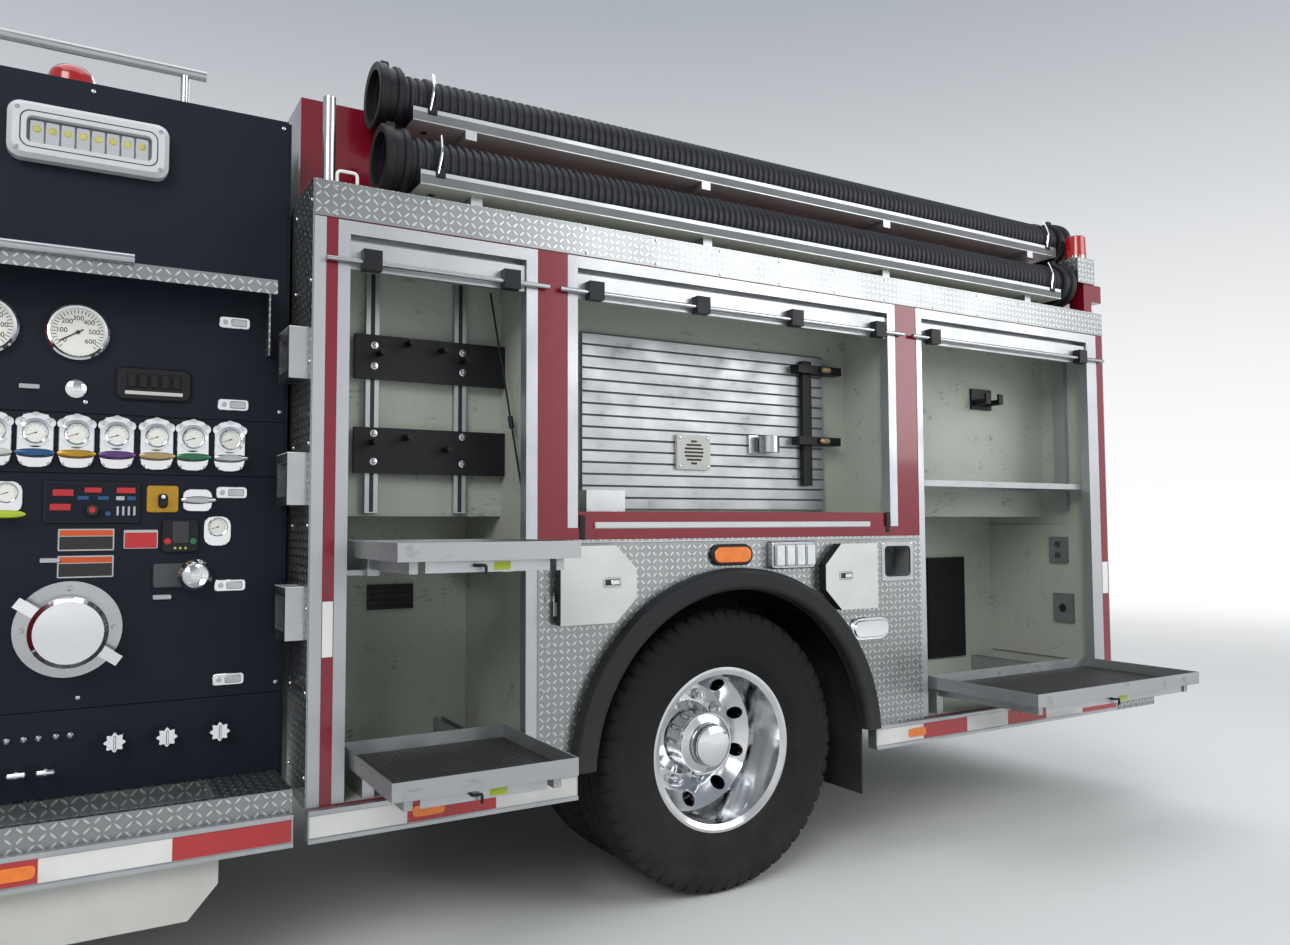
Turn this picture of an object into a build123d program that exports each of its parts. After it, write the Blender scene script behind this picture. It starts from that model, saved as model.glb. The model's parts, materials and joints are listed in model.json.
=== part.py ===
from build123d import *
import math
import os

# A pumper fire truck, in millimetres. The nose points along -X, the left side along -Y and
# the wheels stand on Z = 0. Every "x from the body" is measured rearwards from BODY_X.

# Overall layout
BODY_X = 530.0          # front edge of the rear body
BODY_LEN = 3739.0       # length of the rear body
HALF_W = 1245.0         # half the width of the rear body
SHEET = 5.0             # body sheet thickness
SEAT = 0.3              # gap left between pieces that seat on each other
SKIN = 4.0              # tread plate laid on the body

# Wheels, tyres and axles
TYRE_R = 515.0
TYRE_HALF = 139.5       # half the tyre's section width
RIM_R = 298.0           # rim flange
BEAD_R = 286.0
BARREL_R = 270.0        # inside of the rim
RIM_HALF = 98.0         # half the width between the rim flanges
DISC_OFFSET = 165.0     # wheel disc's seat to the rim's centre
DISC_T = 20.0
HUB_R = 140.0           # pilot that centres the wheel disc
NUT_PCD = 335.6
NUT_COUNT = 10
NUT_R = 17.0
NUT_LEN = 46.0
HAND_HOLE_R = 25.0
HAND_HOLE_PITCH = 234.0
SPINDLE_R = 45.0
SPINDLE_FIT = 0.08      # radial clearance of a hub on its spindle
DRUM_R = 205.0
REAR_AXLE = 1487.0      # rear axle, from the body
WHEELBASE = 4750.0
TWIN_MID = 915.0        # middle of the twin tyres, from the truck's centre plane
FRONT_MID = 1000.0      # middle of the front tyre
KINGPIN = 880.0         # kingpin axis, from the centre plane
KINGPIN_R = 20.0
BOSS_R = 48.0
BOSS_H = 120.0
LUG_H = 40.0
BEAM_HALF_X = 55.0
BEAM_DROP = 145.0       # the beam's top below its kingpin bosses' top
AXLE_TUBE_R = 65.0

# Chassis frame
RAIL_TOP = 1000.0
RAIL_H = 260.0
RAIL_OUT = 432.0        # outer face of a rail's web
RAIL_T = 8.0
RAIL_FLANGE = 85.0
RAIL_SHORT = 10.0       # the rails end this far ahead of the body
NOSE_RISE = 45.0        # the frame's nose, above the bumper's lower edge
NOSE_LAP = 400.0        # and behind the rails' front ends
CROSS_H = 66.0
CROSS_W = 100.0
TOW_R = 27.5            # tow eye below each end of the rails
TOW_T = 25.0
TOW_Z = 405.0
TOW_PLATE = 110.0

# Rear body section
BODY_BOTTOM = 535.0
BODY_TOP = 2360.0
DOOR_TOP = 2248.0       # top of the roll-up door frames
ROLL_TOP = 2340.0       # inside top of the compartments, over the rolled-up doors
WELL_TOP = 1289.0       # top of the wheel well's panel
STEP_Z = 1370.0         # deep lower part of a compartment ends here
DEEP_Y = 594.0          # back of the deep part, from the centre plane
SHALLOW_Y = HALF_W - 315       # back of the shallow part
FRAME_DEPTH = 45.0
FRAME_PROUD = 2.0
HEADER_H = 40.0
SILL_H = 40.0           # red lip below the middle compartment
SUBFRAME_H = 60.0

# Compartments, x from the body: frame outside, inside, inside, outside, and the sill's height
COMPARTMENTS = {
    "front": (69.0, 105.0, 675.0, 715.0, BODY_BOTTOM + SHEET, 2),
    "middle": (825.0, 863.0, 2296.0, 2338.0, WELL_TOP, 4),
    "rear": (2461.0, 2493.0, BODY_LEN - 126, BODY_LEN - 52, BODY_BOTTOM + SHEET, 2),
}

# Wheel well and fender, x from the body
FENDER_X = 1505.0
FENDER_Z = 505.0
FENDER_OUT = 675.0
FENDER_IN = 597.0
FENDER_PROUD = 56.0
FLAP_X = 2130.0
FLAP_T = 8.0
FLAP_BOTTOM = 270.0

# Roll-up doors, wound up
ROLL_R = 74.0
ROLL_Y = HALF_W - 127
ROLL_Z = 2258.0
ROLL_BAR_TOP = 2190.0
ROLL_BAR_H = 85.0
ROLL_BAR_T = 24.0
LIFT_ROD_R = 8.0
LIFT_ROD_REACH = 35.0

# Rub rails and boards
RUB_BOTTOM = 445.0
RUB_OUT = HALF_W + 30
RUB_IN = HALF_W - 20
TAIL_LEN = 295.0
FUEL_FILL = (2255.0, 2400.0, 1123.0, 1248.0)    # x from the body, bottom, top
FUEL_DEPTH = 90.0
FUEL_CORNER = 22.0
TREAD_H = 65.0          # depth of the pump's running board

# Trays: x from the body, outer edge, depth, top, lip
TRAYS = {
    "rear": (2520.0, BODY_LEN - 159, HALF_W + 515, 550.0, 700.0),
    "front": (125.0, 660.0, HALF_W + 405, 550.0, 680.0),
    "upper": (134.0, 668.0, HALF_W + 405, 550.0, 1294.0),
}
TRAY_LIP = 50.0
TRAY_T = 4.0
RUNNER_W = 24.0
RUNNER_H = 34.0
TRAY_CLEAR = 0.5        # side play of a tray's runner in its slide

# Wheel well doors: x of the hinge edge and the free edge from the body, bottom, top
WELL_DOORS = {
    "front": (777.0, 1063.0, 1012.0, 1270.0),
    "rear": (2175.0, 1905.0, 1006.0, 1262.0),
}
WELL_DOOR_T = 38.0
WELL_DOOR_GAP = 6.0
WELL_DOOR_CUT = 80.0    # cut corners on the free edge
WELL_HINGE_R = 5.0
WELL_HINGE_H = 44.0
BOTTLE_R = 96.0
BOTTLE_DEPTH = 330.0

# Pump module
PUMP_LEN = 1230.0
PUMP_GAP = 20.0         # between the module and the rear body
PUMP_HALF = HALF_W - 250
PUMP_TOP = 2605.0
PANEL_T = 5.0
PANEL_EDGE = 10.0
PANEL_SEAMS = (600.0, 836.0, 1489.0, 1658.0, 2610.0)
SEAM = 3.0
INLET_X = -592.0        # main suction inlet, from the body
INLET_Z = 1057.0
INLET_FLANGE_R = 132.0
INLET_CAP_R = 95.0
INLET_REACH = 125.0
OUTLET_X = -1030.0      # discharge outlets, from the body
OUTLET_HEIGHTS = (1240.0, 960.0)
OUTLET_R = 38.9
OUTLET_REACH = 70.0
HOOD_Z = 2024.0
HOOD_H = 42.0
HOOD_REACH = 150.0

# Cab
CAB_BACK = -1300.0      # cab back wall, from the body
CAB_LEN = 3350.0
CAB_HALF = HALF_W - 25
CAB_BOTTOM = 620.0
CAB_TOP = 2700.0
CAB_WALL = 45.0
CAB_CORNER = 140.0
CAB_EDGE = 70.0
FLOOR_Z = 1130.0
SCREEN_BASE = 1560.0
SCREEN_TOP = 2500.0
SCREEN_RAKE = 130.0
BROW_RAKE = 90.0
ARCH_R = 600.0
ARCH_LIP = 640.0        # arch that trims the doors
DOOR_GAP = 6.0
PANE_T = 6.0
PANE_IN = 18.0          # pane's outer face inside the cab's skin
HINGE_R = 11.0
HINGE_H = 70.0          # one knuckle of a hinge
HINGE_LEAF = 46.0
HINGE_T = 5.0
NOTCH_HALF = 450.0      # notch in the cab's front wall for the frame
NOTCH_TOP = 800.0
GRILLE_LOW = 1025.0
GRILLE_TOP = 1445.0
TUNNEL_HALF = 400.0
TUNNEL_TOP = 1720.0
ENGINE_IN = 550.0       # engine's front, behind the cab's front
ENGINE_LEN = 1200.0
GEAR_LEN = 650.0

# Cab doors: hinge edge and free edge from the cab's front, bottom, top, window span
CAB_DOORS = {
    "front": (190.0, 1130.0, 640.0, 2470.0, 250.0, 1040.0),
    "rear": (1960.0, 2900.0, 640.0, 2470.0, 2020.0, 2810.0),
}
HINGE_HEIGHTS = (1240.0, 2150.0)
WINDOW_BOTTOM = 1600.0
WINDOW_TOP = 2380.0
WINDOW_R = 60.0

# Bumper
BUMPER_REACH = 450.0
BUMPER_BOTTOM = 470.0
BUMPER_H = 310.0
BUMPER_T = 8.0
BUMPER_CORNER = 230.0

# Hose bed and hose trays
BED_FLOOR = 1800.0
BED_TOP = 2750.0
BED_Y = HALF_W - 365
BED_T = 30.0
LANE_Y = 290.0          # dividers between the hose lanes
LANE_T = 8.0
HOSE_R = 86.0
COUPLING_R = 109.0
COUPLING_LEN = 85.0
LUG_HALF = 14.0         # half the width of a coupling's lug
LUG_REACH = 16.0
# Hard suction hoses: centre from the centre plane, height, front and rear end from the body
HOSES = ((HALF_W - 134, 2505.0, 220.0, BODY_LEN - 139),
         (HALF_W - 249, 2755.0, 230.0, BODY_LEN - 9))
HOSE_TRAY_HALF = 95.0
HOSE_TRAY_LIP = 46.0
HOSE_TRAY_T = 3.0
HOSE_TRAY_INSET = 110.0
HEADER_X = BODY_LEN - 64       # beam across the rear of the hose bed, from the body
HEADER_LEN = 135.0
HEADER_LOW = 2430.0
HEADER_TOP = 2515.0
HEADER_HALF = HALF_W - 45

# Stations worked out from the sizes above
AXLE_Z = TYRE_R
REAR_X = BODY_X + REAR_AXLE
FRONT_X = REAR_X - WHEELBASE
BODY_END = BODY_X + BODY_LEN
RAIL_BOTTOM = RAIL_TOP - RAIL_H
CAB_REAR_X = BODY_X + CAB_BACK
CAB_FRONT_X = CAB_REAR_X - CAB_LEN
BUMPER_X = CAB_FRONT_X - BUMPER_REACH
PUMP_REAR_X = BODY_X - PUMP_GAP
PUMP_FRONT_X = PUMP_REAR_X - PUMP_LEN
ENGINE_X = CAB_FRONT_X + ENGINE_IN
GEAR_END = ENGINE_X + ENGINE_LEN + GEAR_LEN


def block(x0, x1, y0, y1, z0, z1):
    """A box between two corners."""
    return Pos(x0, y0, z0) * Box(x1 - x0, y1 - y0, z1 - z0, align=(Align.MIN,) * 3)


def rod(x, y, z, radius, length, direction=(0, -1, 0)):
    """A round bar that starts at a point and runs along a direction."""
    return Solid.make_cylinder(radius, length, Plane(origin=(x, y, z), z_dir=direction))


def slab_xz(points, y0, y1):
    """A plate with an outline in X and Z, from y0 to y1."""
    plane = Plane(origin=(0, y1, 0), x_dir=(1, 0, 0), z_dir=(0, -1, 0))
    return extrude(plane * Polygon(*points, align=None), amount=y1 - y0, dir=(0, -1, 0))


def slab_yz(points, x0, x1):
    """A plate with an outline in Y and Z, from x0 to x1."""
    plane = Plane(origin=(x0, 0, 0), x_dir=(0, 1, 0), z_dir=(1, 0, 0))
    return extrude(plane * Polygon(*points, align=None), amount=x1 - x0, dir=(1, 0, 0))


def window_xz(x0, x1, z0, z1, radius, y0, y1):
    """A cutter with round corners through a wall that faces the side."""
    plane = Plane(origin=((x0 + x1) / 2, y1, (z0 + z1) / 2), x_dir=(1, 0, 0), z_dir=(0, -1, 0))
    return extrude(plane * RectangleRounded(x1 - x0, z1 - z0, radius), amount=y1 - y0)


def turned(points, x, y, z):
    """A turned piece from radius and reach pairs, its axis along -Y from a point."""
    axle = Plane(origin=(x, y, z), x_dir=(1, 0, 0), z_dir=(0, 0, 1))
    face = axle * Polygon(*[(r, -reach) for r, reach in points], align=None)
    return revolve(face, Axis((x, y, z), (0, 1, 0)))


def other_side(shape):
    """The same piece on the right side."""
    return mirror(shape, about=Plane.XZ)


def both(shapes):
    """Left pieces and their right-hand twins."""
    return shapes + [other_side(shape) for shape in shapes]


def at(x):
    """A station measured rearwards from the rear body's front edge."""
    return BODY_X + x


# Wheels


def rim(x, mid, face):
    """One pressed rim; face is 1 with the disc towards the middle of the truck, -1 outboard."""
    end = RIM_HALF + 14
    points = [
        (RIM_R, end), (RIM_R, end - 10), (BEAD_R, RIM_HALF - 2), (BEAD_R, 2 - RIM_HALF),
        (RIM_R, 10 - end), (RIM_R, -end), (BARREL_R, -end), (215, -DISC_OFFSET),
        (HUB_R, -DISC_OFFSET), (HUB_R, DISC_T - DISC_OFFSET), (205, DISC_T - DISC_OFFSET),
        (BARREL_R, DISC_T - end), (BARREL_R, end - 8), (RIM_R - 10, end),
    ]
    body = turned([(r, face * w) for r, w in points], x, -mid, AXLE_Z)
    for i in range(NUT_COUNT):
        angle = 2 * math.pi * (i + 0.5) / NUT_COUNT
        hx, hz = HAND_HOLE_PITCH * math.cos(angle), HAND_HOLE_PITCH * math.sin(angle)
        body -= rod(x + hx, -mid + face * DISC_OFFSET * 1.2, AXLE_Z + hz, HAND_HOLE_R,
                    DISC_OFFSET, (0, -face, 0))
    return body


def nuts(x, start):
    """Ten wheel nuts that stand outwards from a disc."""
    found = []
    for i in range(NUT_COUNT):
        angle = 2 * math.pi * i / NUT_COUNT
        place = Plane(origin=(x + NUT_PCD / 2 * math.cos(angle), -start,
                              AXLE_Z + NUT_PCD / 2 * math.sin(angle)), z_dir=(0, -1, 0))
        found.append(extrude(place * RegularPolygon(NUT_R, 6), amount=NUT_LEN))
    return found


def tyre(x, mid):
    """One tyre with rounded shoulders and bulged sidewalls."""
    bore = BEAD_R + SEAT
    side = [
        (bore, RIM_HALF - 3), (RIM_R + SEAT, RIM_HALF + 3), (330, 0.9 * TYRE_HALF),
        (400, TYRE_HALF), (465, 0.96 * TYRE_HALF), (TYRE_R - 12, 0.84 * TYRE_HALF),
        (TYRE_R, 0.74 * TYRE_HALF),
    ]
    points = side + [(r, -w) for r, w in reversed(side)]
    return turned(points, x, -mid, AXLE_Z)


def rear_hub():
    """Rear hub with its brake drum and the cap over the spindle's end."""
    bore = SPINDLE_R + SPINDLE_FIT
    seat = HUB_R
    points = [
        (AXLE_TUBE_R + 8, -265), (DRUM_R, -265), (DRUM_R, -130), (seat - 10, -125), (seat, -25),
        (seat, 25), (seat - 28, 45), (seat - 32, 165), (seat - 60, 175), (seat - 64, 213),
        (0, 215), (0, 193), (bore, 193), (bore, -130), (AXLE_TUBE_R + 8, -130),
    ]
    return turned(points, REAR_X, -TWIN_MID, AXLE_Z)


def front_hub():
    """Front hub with its drum, behind a disc that faces outwards."""
    bore = SPINDLE_R + SPINDLE_FIT
    seat = FRONT_MID + DISC_OFFSET
    points = [
        (DRUM_R - 12, FRONT_MID), (DRUM_R, FRONT_MID), (DRUM_R, seat - 40), (HUB_R, seat - 35),
        (HUB_R, seat + 4), (HUB_R - 30, seat + 6), (HUB_R - 36, seat + 40),
        (HUB_R - 44, seat + 62), (0, seat + 66), (0, seat + 25), (bore, seat + 25),
        (bore, FRONT_MID + 40), (DRUM_R - 12, FRONT_MID + 40),
    ]
    return turned(points, FRONT_X, 0, AXLE_Z)


def rear_rims():
    """Two rims back to back with their hub and nuts, one rigid piece."""
    outer = rim(REAR_X, TWIN_MID + DISC_OFFSET, 1)
    inner = rim(REAR_X, TWIN_MID - DISC_OFFSET, -1)
    body = outer + inner + rear_hub()
    for nut in nuts(REAR_X, TWIN_MID + DISC_T):
        body += nut
    return body


def front_rim():
    """Front rim with its hub and nuts."""
    body = rim(FRONT_X, FRONT_MID, -1) + front_hub()
    for nut in nuts(FRONT_X, FRONT_MID + DISC_OFFSET):
        body += nut
    return body


def knuckle():
    """Steering knuckle: two lugs, the kingpin, the spindle and a steering arm."""
    low, high = AXLE_Z - BOSS_H / 2 - SEAT, AXLE_Z + BOSS_H / 2 + SEAT
    web0, web1 = KINGPIN + BOSS_R + 8, KINGPIN + BOSS_R + 56
    body = rod(FRONT_X, -KINGPIN, low, BOSS_R, LUG_H, (0, 0, -1))
    body += rod(FRONT_X, -KINGPIN, high, BOSS_R, LUG_H, (0, 0, 1))
    body += block(FRONT_X - 50, FRONT_X + 50, -web0, -KINGPIN, high, high + LUG_H)
    body += block(FRONT_X - 50, FRONT_X + 50, -web0, -KINGPIN, low - LUG_H, low)
    body += block(FRONT_X - 60, FRONT_X + 60, -web1, -web0, low - LUG_H, high + LUG_H)
    body += rod(FRONT_X, -KINGPIN, low - LUG_H, KINGPIN_R, high - low + 2 * LUG_H, (0, 0, 1))
    body += rod(FRONT_X, -web1, AXLE_Z, SPINDLE_R + 18, KINGPIN + 150 - web1)
    body += rod(FRONT_X, -web1, AXLE_Z, SPINDLE_R, FRONT_MID + DISC_OFFSET + 15 - web1)
    arm = slab_xz([(0, 0), (190, 0), (205, 26), (0, 34)], -KINGPIN, -KINGPIN + 36)
    return body + Pos(FRONT_X, 0, low - LUG_H) * arm


# Chassis


def leaf_pack(x, seat, half, sag, leaf, count):
    """Leaf spring: curved leaves of one centre, each shorter than the one above it."""
    radius = (half ** 2 + sag ** 2) / (2 * sag)
    low = radius + count * leaf
    y0, y1 = -RAIL_OUT + RAIL_T, -RAIL_OUT + RAIL_T + LEAF_W
    centre = seat + low
    body = None
    for i in range(count):
        inside = radius + i * leaf
        span = half - i * (half - 220) / count
        ring = rod(x, y1, centre, inside + leaf, y1 - y0) - rod(x, y1, centre, inside, y1 - y0)
        piece = ring & block(x - span, x + span, y0, y1, seat - 1, centre)
        body = piece if body is None else body + piece
    return body


def eye_height(seat, half, sag, leaf, count):
    """Height of a spring's top leaf at its ends."""
    radius = (half ** 2 + sag ** 2) / (2 * sag)
    return seat + radius + count * leaf - math.sqrt(radius ** 2 - half ** 2)


FRONT_SPRING = (660.0, 90.0, 12.0, 4)
REAR_SPRING = (680.0, 40.0, 15.0, 5)
PAD_H = 70.0
LEAF_W = 75.0
HANGER_HALF = 35.0      # half the length of a spring hanger
BEAM_TOP = AXLE_Z + BOSS_H / 2 - BEAM_DROP + 40


def front_axle():
    """Dropped beam with a boss for the kingpin at each end."""
    z = AXLE_Z
    top, low = BEAM_TOP, BEAM_TOP - 100
    half = [(KINGPIN + 25, z + 40), (KINGPIN - 90, z + 40), (KINGPIN - 260, top), (0, top)]
    under = [(0, low), (KINGPIN - 240, low), (KINGPIN - 100, z - 40), (KINGPIN + 25, z - 40)]
    points = [(-y, h) for y, h in half] + [(-y, h) for y, h in under]
    beam = slab_yz(points, FRONT_X - BEAM_HALF_X, FRONT_X + BEAM_HALF_X)
    end = 280 - KINGPIN
    relief = slab_yz([(end, top - 22), (0, top - 22), (0, low + 22), (end, low + 22)],
                     FRONT_X - BEAM_HALF_X, FRONT_X - 12)
    beam -= relief
    beam -= Pos(2 * (FRONT_X), 0, 0) * mirror(relief, about=Plane.YZ)
    beam += rod(FRONT_X, -KINGPIN, z - BOSS_H / 2, BOSS_R, BOSS_H, (0, 0, 1))
    beam -= rod(FRONT_X, -KINGPIN, z - BOSS_H, KINGPIN_R + SPINDLE_FIT, 2 * BOSS_H, (0, 0, 1))
    return beam + other_side(beam)


def rear_axle():
    """Rear axle housing: round tube, differential bowl, spindles and spring pads."""
    shoulder = TWIN_MID - 140
    body = rod(REAR_X, 0, AXLE_Z, AXLE_TUBE_R, shoulder)
    body += rod(REAR_X, 5 - shoulder, AXLE_Z, SPINDLE_R, TWIN_MID + 190 - shoulder)
    pad = block(REAR_X - 90, REAR_X + 90, -RAIL_OUT + RAIL_T, -RAIL_OUT + RAIL_T + LEAF_W,
                AXLE_Z, AXLE_Z + PAD_H)
    body += pad
    body += other_side(body)
    body += Pos(REAR_X, 0, AXLE_Z) * Sphere(215)
    return body + rod(REAR_X - 150, 0, AXLE_Z + 20, 90, 130, (-1, 0, 0))


def leaf_springs():
    """Four leaf packs that carry the frame on the axles."""
    return both([
        leaf_pack(FRONT_X, BEAM_TOP + SEAT, *FRONT_SPRING),
        leaf_pack(REAR_X, AXLE_Z + PAD_H + SEAT, *REAR_SPRING),
    ])


# Cross members, x from the body
CROSS_MEMBERS = (-1200.0, -150.0, 700.0, 1900.0, BODY_LEN - 1289, BODY_LEN - 739, BODY_LEN - 99)


def frame_channel(x0, x1, low, high):
    """One length of frame channel, open towards the truck's middle."""
    body = block(x0, x1, -RAIL_OUT, -RAIL_OUT + RAIL_FLANGE, low, high)
    return body - block(x0 - 1, x1 + 1, -RAIL_OUT + RAIL_T, -RAIL_OUT + RAIL_FLANGE + 1,
                        low + RAIL_T, high - RAIL_T)


def chassis_frame():
    """Two channel rails with a dropped nose, cross members, hangers and mud flap bars."""
    x0 = CAB_FRONT_X + CAB_WALL + SEAT
    nose_low = BUMPER_BOTTOM + NOSE_RISE
    rail = frame_channel(x0, BODY_END - RAIL_SHORT, RAIL_BOTTOM, RAIL_TOP)
    rail += frame_channel(BUMPER_X + BUMPER_T + SEAT, x0 + NOSE_LAP, nose_low,
                          BUMPER_BOTTOM + BUMPER_H - SHEET - SEAT)
    springs_at = ((FRONT_X, BEAM_TOP + SEAT, FRONT_SPRING),
                  (REAR_X, AXLE_Z + PAD_H + SEAT, REAR_SPRING))
    for x, seat, sizes in springs_at:
        eye = eye_height(seat, *sizes)
        for way in (-1, 1):
            end = x + way * (sizes[0] - HANGER_HALF)
            rail += block(end - HANGER_HALF, end + HANGER_HALF, -RAIL_OUT + RAIL_T,
                          -RAIL_OUT + RAIL_T + LEAF_W, eye + SEAT, RAIL_BOTTOM)
    rail += block(at(FLAP_X) - 4, at(FLAP_X) + FLAP_T + 4, -HALF_W + 60, -RAIL_OUT,
                  RAIL_TOP - 45, RAIL_TOP - 2)
    for x in (BUMPER_X + TOW_PLATE, BODY_END - RAIL_SHORT - TOW_PLATE):
        rail += block(x - TOW_PLATE / 2, x + TOW_PLATE / 2, -RAIL_OUT + RAIL_T,
                      -RAIL_OUT + RAIL_T + TOW_T, TOW_Z - 45, RAIL_BOTTOM)
        rail -= rod(x, -RAIL_OUT + RAIL_T + TOW_T + 1, TOW_Z, TOW_R, TOW_T + 2)
    body = rail + other_side(rail)
    inner = RAIL_OUT - RAIL_T
    nose = BUMPER_X + BUMPER_REACH / 2
    body += block(nose - CROSS_W / 2, nose + CROSS_W / 2, -inner, inner, nose_low + RAIL_T,
                  nose_low + RAIL_T + CROSS_H)
    for x in [GEAR_END + CROSS_W] + [at(x) for x in CROSS_MEMBERS]:
        body += block(x - CROSS_W / 2, x + CROSS_W / 2, -inner, inner,
                      RAIL_TOP - RAIL_T - CROSS_H, RAIL_TOP - RAIL_T)
    return body


# Engine: half its width, bottom, top. Gearbox: radius, height. Pump case: x from the body,
# half its width, bottom
ENGINE = (330.0, 770.0, 1600.0)
GEARBOX = (240.0, 880.0)
PUMP_CASE = (-880.0, -420.0, 260.0, 700.0)
SHAFT_R = 50.0
SHAFT_Z = 870.0
TAIL_LEAN = 8.0         # the tail shaft slopes, so its end stands this far off the case


def powertrain():
    """Engine block, gearbox, shafts and the fire pump's gear case, end to end in one line."""
    half, z0, z1 = ENGINE
    body = block(ENGINE_X, ENGINE_X + ENGINE_LEN, -half, half, z0, z1)
    mount = block(ENGINE_X + 200, ENGINE_X + 320, -RAIL_OUT + RAIL_T, -half, z0 + 40, z0 + 140)
    gear_r, gear_z = GEARBOX
    px0, px1, pump_half, pump_low = PUMP_CASE
    gearbox = rod(ENGINE_X + ENGINE_LEN + SEAT, 0, gear_z, gear_r, GEAR_LEN - SEAT, (1, 0, 0))
    shaft = rod(GEAR_END + SEAT, 0, SHAFT_Z, SHAFT_R, at(px0) - GEAR_END - 2 * SEAT, (1, 0, 0))
    case = block(at(px0), at(px1), -pump_half, pump_half, pump_low, RAIL_TOP - SEAT)
    start = Vector(at(px1) + TAIL_LEAN, 0, SHAFT_Z - 90)
    end = Vector(REAR_X - 281, 0, AXLE_Z + 20)
    way = end - start
    tail = rod(start.X, 0, start.Z, SHAFT_R, way.length - 30, (way.X, 0, way.Z))
    return [body + mount + other_side(mount), gearbox, shaft, case, tail]


def fuel_tank():
    """Fuel tank between the rails, hung from a cross member."""
    top = RAIL_TOP - RAIL_T - CROSS_H
    tank = block(at(BODY_LEN - 1659), at(BODY_LEN - 899), -330, 330, 580, top)
    return fillet(tank.edges().filter_by(Axis.Y), 60)


def exhaust():
    """Silencer and tail pipe under the right-hand side, held to the rail."""
    body = rod(at(-2500), 640, 640, 125, 900, (1, 0, 0))
    body += rod(at(-1610), 640, 640, 50, 1460, (1, 0, 0))
    return body + block(at(-2100), at(-2020), RAIL_OUT, 640, 750, 810)


# Rear body


def side_body():
    """Left side of the rear body: sheet panels round three compartments, edge to edge."""
    wall, step = SHEET, STEP_Z + SHEET
    front, middle, rear = COMPARTMENTS.values()
    posts = ((0.0, front[0]), (front[3], middle[0]), (middle[3], rear[0]), (rear[3], BODY_LEN))
    panels = [block(at(a), at(b), -HALF_W, -SHALLOW_Y, step, BODY_TOP) for a, b in posts]
    deep = (posts[0], (front[3], front[3] + wall), (rear[0] - wall, rear[0]), posts[3])
    panels += [block(at(a), at(b), -HALF_W, -DEEP_Y, BODY_BOTTOM, step - SEAT) for a, b in deep]
    for a, b in ((front[3] + wall + SEAT, middle[0]), (middle[3], rear[0] - wall - SEAT)):
        panels.append(block(at(a), at(b), -HALF_W, -SHALLOW_Y, WELL_TOP - wall, step - SEAT))
    for x0, _, _, x3, sill, _ in COMPARTMENTS.values():
        a, b = at(x0) + SEAT, at(x3) - SEAT
        shallow = sill == WELL_TOP
        back = SHALLOW_Y if shallow else DEEP_Y
        low = sill if shallow else step
        panels += [
            block(a, b, -HALF_W, -HALF_W + wall, DOOR_TOP, ROLL_TOP - SEAT),
            block(a, b, -HALF_W, -SHALLOW_Y, ROLL_TOP, BODY_TOP),
            block(a, b, -SHALLOW_Y - wall, -SHALLOW_Y, low + SEAT, ROLL_TOP - SEAT),
            block(a, b, -HALF_W, -back, sill - wall, sill),
        ]
        if shallow:
            panels.append(block(a, b, -HALF_W, -HALF_W + wall, sill + SEAT, sill + SILL_H))
        else:
            panels.append(block(a, b, -SHALLOW_Y - wall, -DEEP_Y, STEP_Z, step))
            panels.append(block(a, b, -DEEP_Y - wall, -DEEP_Y, sill + SEAT, STEP_Z - SEAT))
    return panels


def body_center():
    """Subframe, hose bed floor, front bulkhead and rear wall between the side bodies."""
    body = block(BODY_X, BODY_END, -DEEP_Y, DEEP_Y, RAIL_TOP, RAIL_TOP + SUBFRAME_H)
    body += block(BODY_X, BODY_END, -SHALLOW_Y, SHALLOW_Y, BED_FLOOR - SHEET, BED_FLOOR)
    step = STEP_Z + SHEET
    front = [(-DEEP_Y, RAIL_TOP), (DEEP_Y, RAIL_TOP), (DEEP_Y, step), (SHALLOW_Y, step),
             (SHALLOW_Y, BODY_TOP), (-SHALLOW_Y, BODY_TOP), (-SHALLOW_Y, step), (-DEEP_Y, step)]
    body += slab_yz(front, BODY_X, BODY_X + SHEET)
    rear = [(-DEEP_Y, BODY_BOTTOM), (DEEP_Y, BODY_BOTTOM), (DEEP_Y, step), (SHALLOW_Y, step),
            (SHALLOW_Y, BED_FLOOR), (-SHALLOW_Y, BED_FLOOR), (-SHALLOW_Y, step),
            (-DEEP_Y, step)]
    return body + slab_yz(rear, BODY_END - SHEET, BODY_END)


def door_frames():
    """Roll-up door tracks and headers round each compartment."""
    frames = []
    for x0, x1, x2, x3, sill, _ in COMPARTMENTS.values():
        low = sill if sill < WELL_TOP else sill + SILL_H
        y0, y1 = -HALF_W - FRAME_PROUD, -HALF_W - FRAME_PROUD + FRAME_DEPTH
        head = DOOR_TOP - HEADER_H
        frames.append(block(at(x0), at(x1), y0, y1, low, head))
        frames.append(block(at(x2), at(x3), y0, y1, low, head))
        frames.append(block(at(x0), at(x3), y0, y1, head, DOOR_TOP))
    return both(frames)


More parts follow.
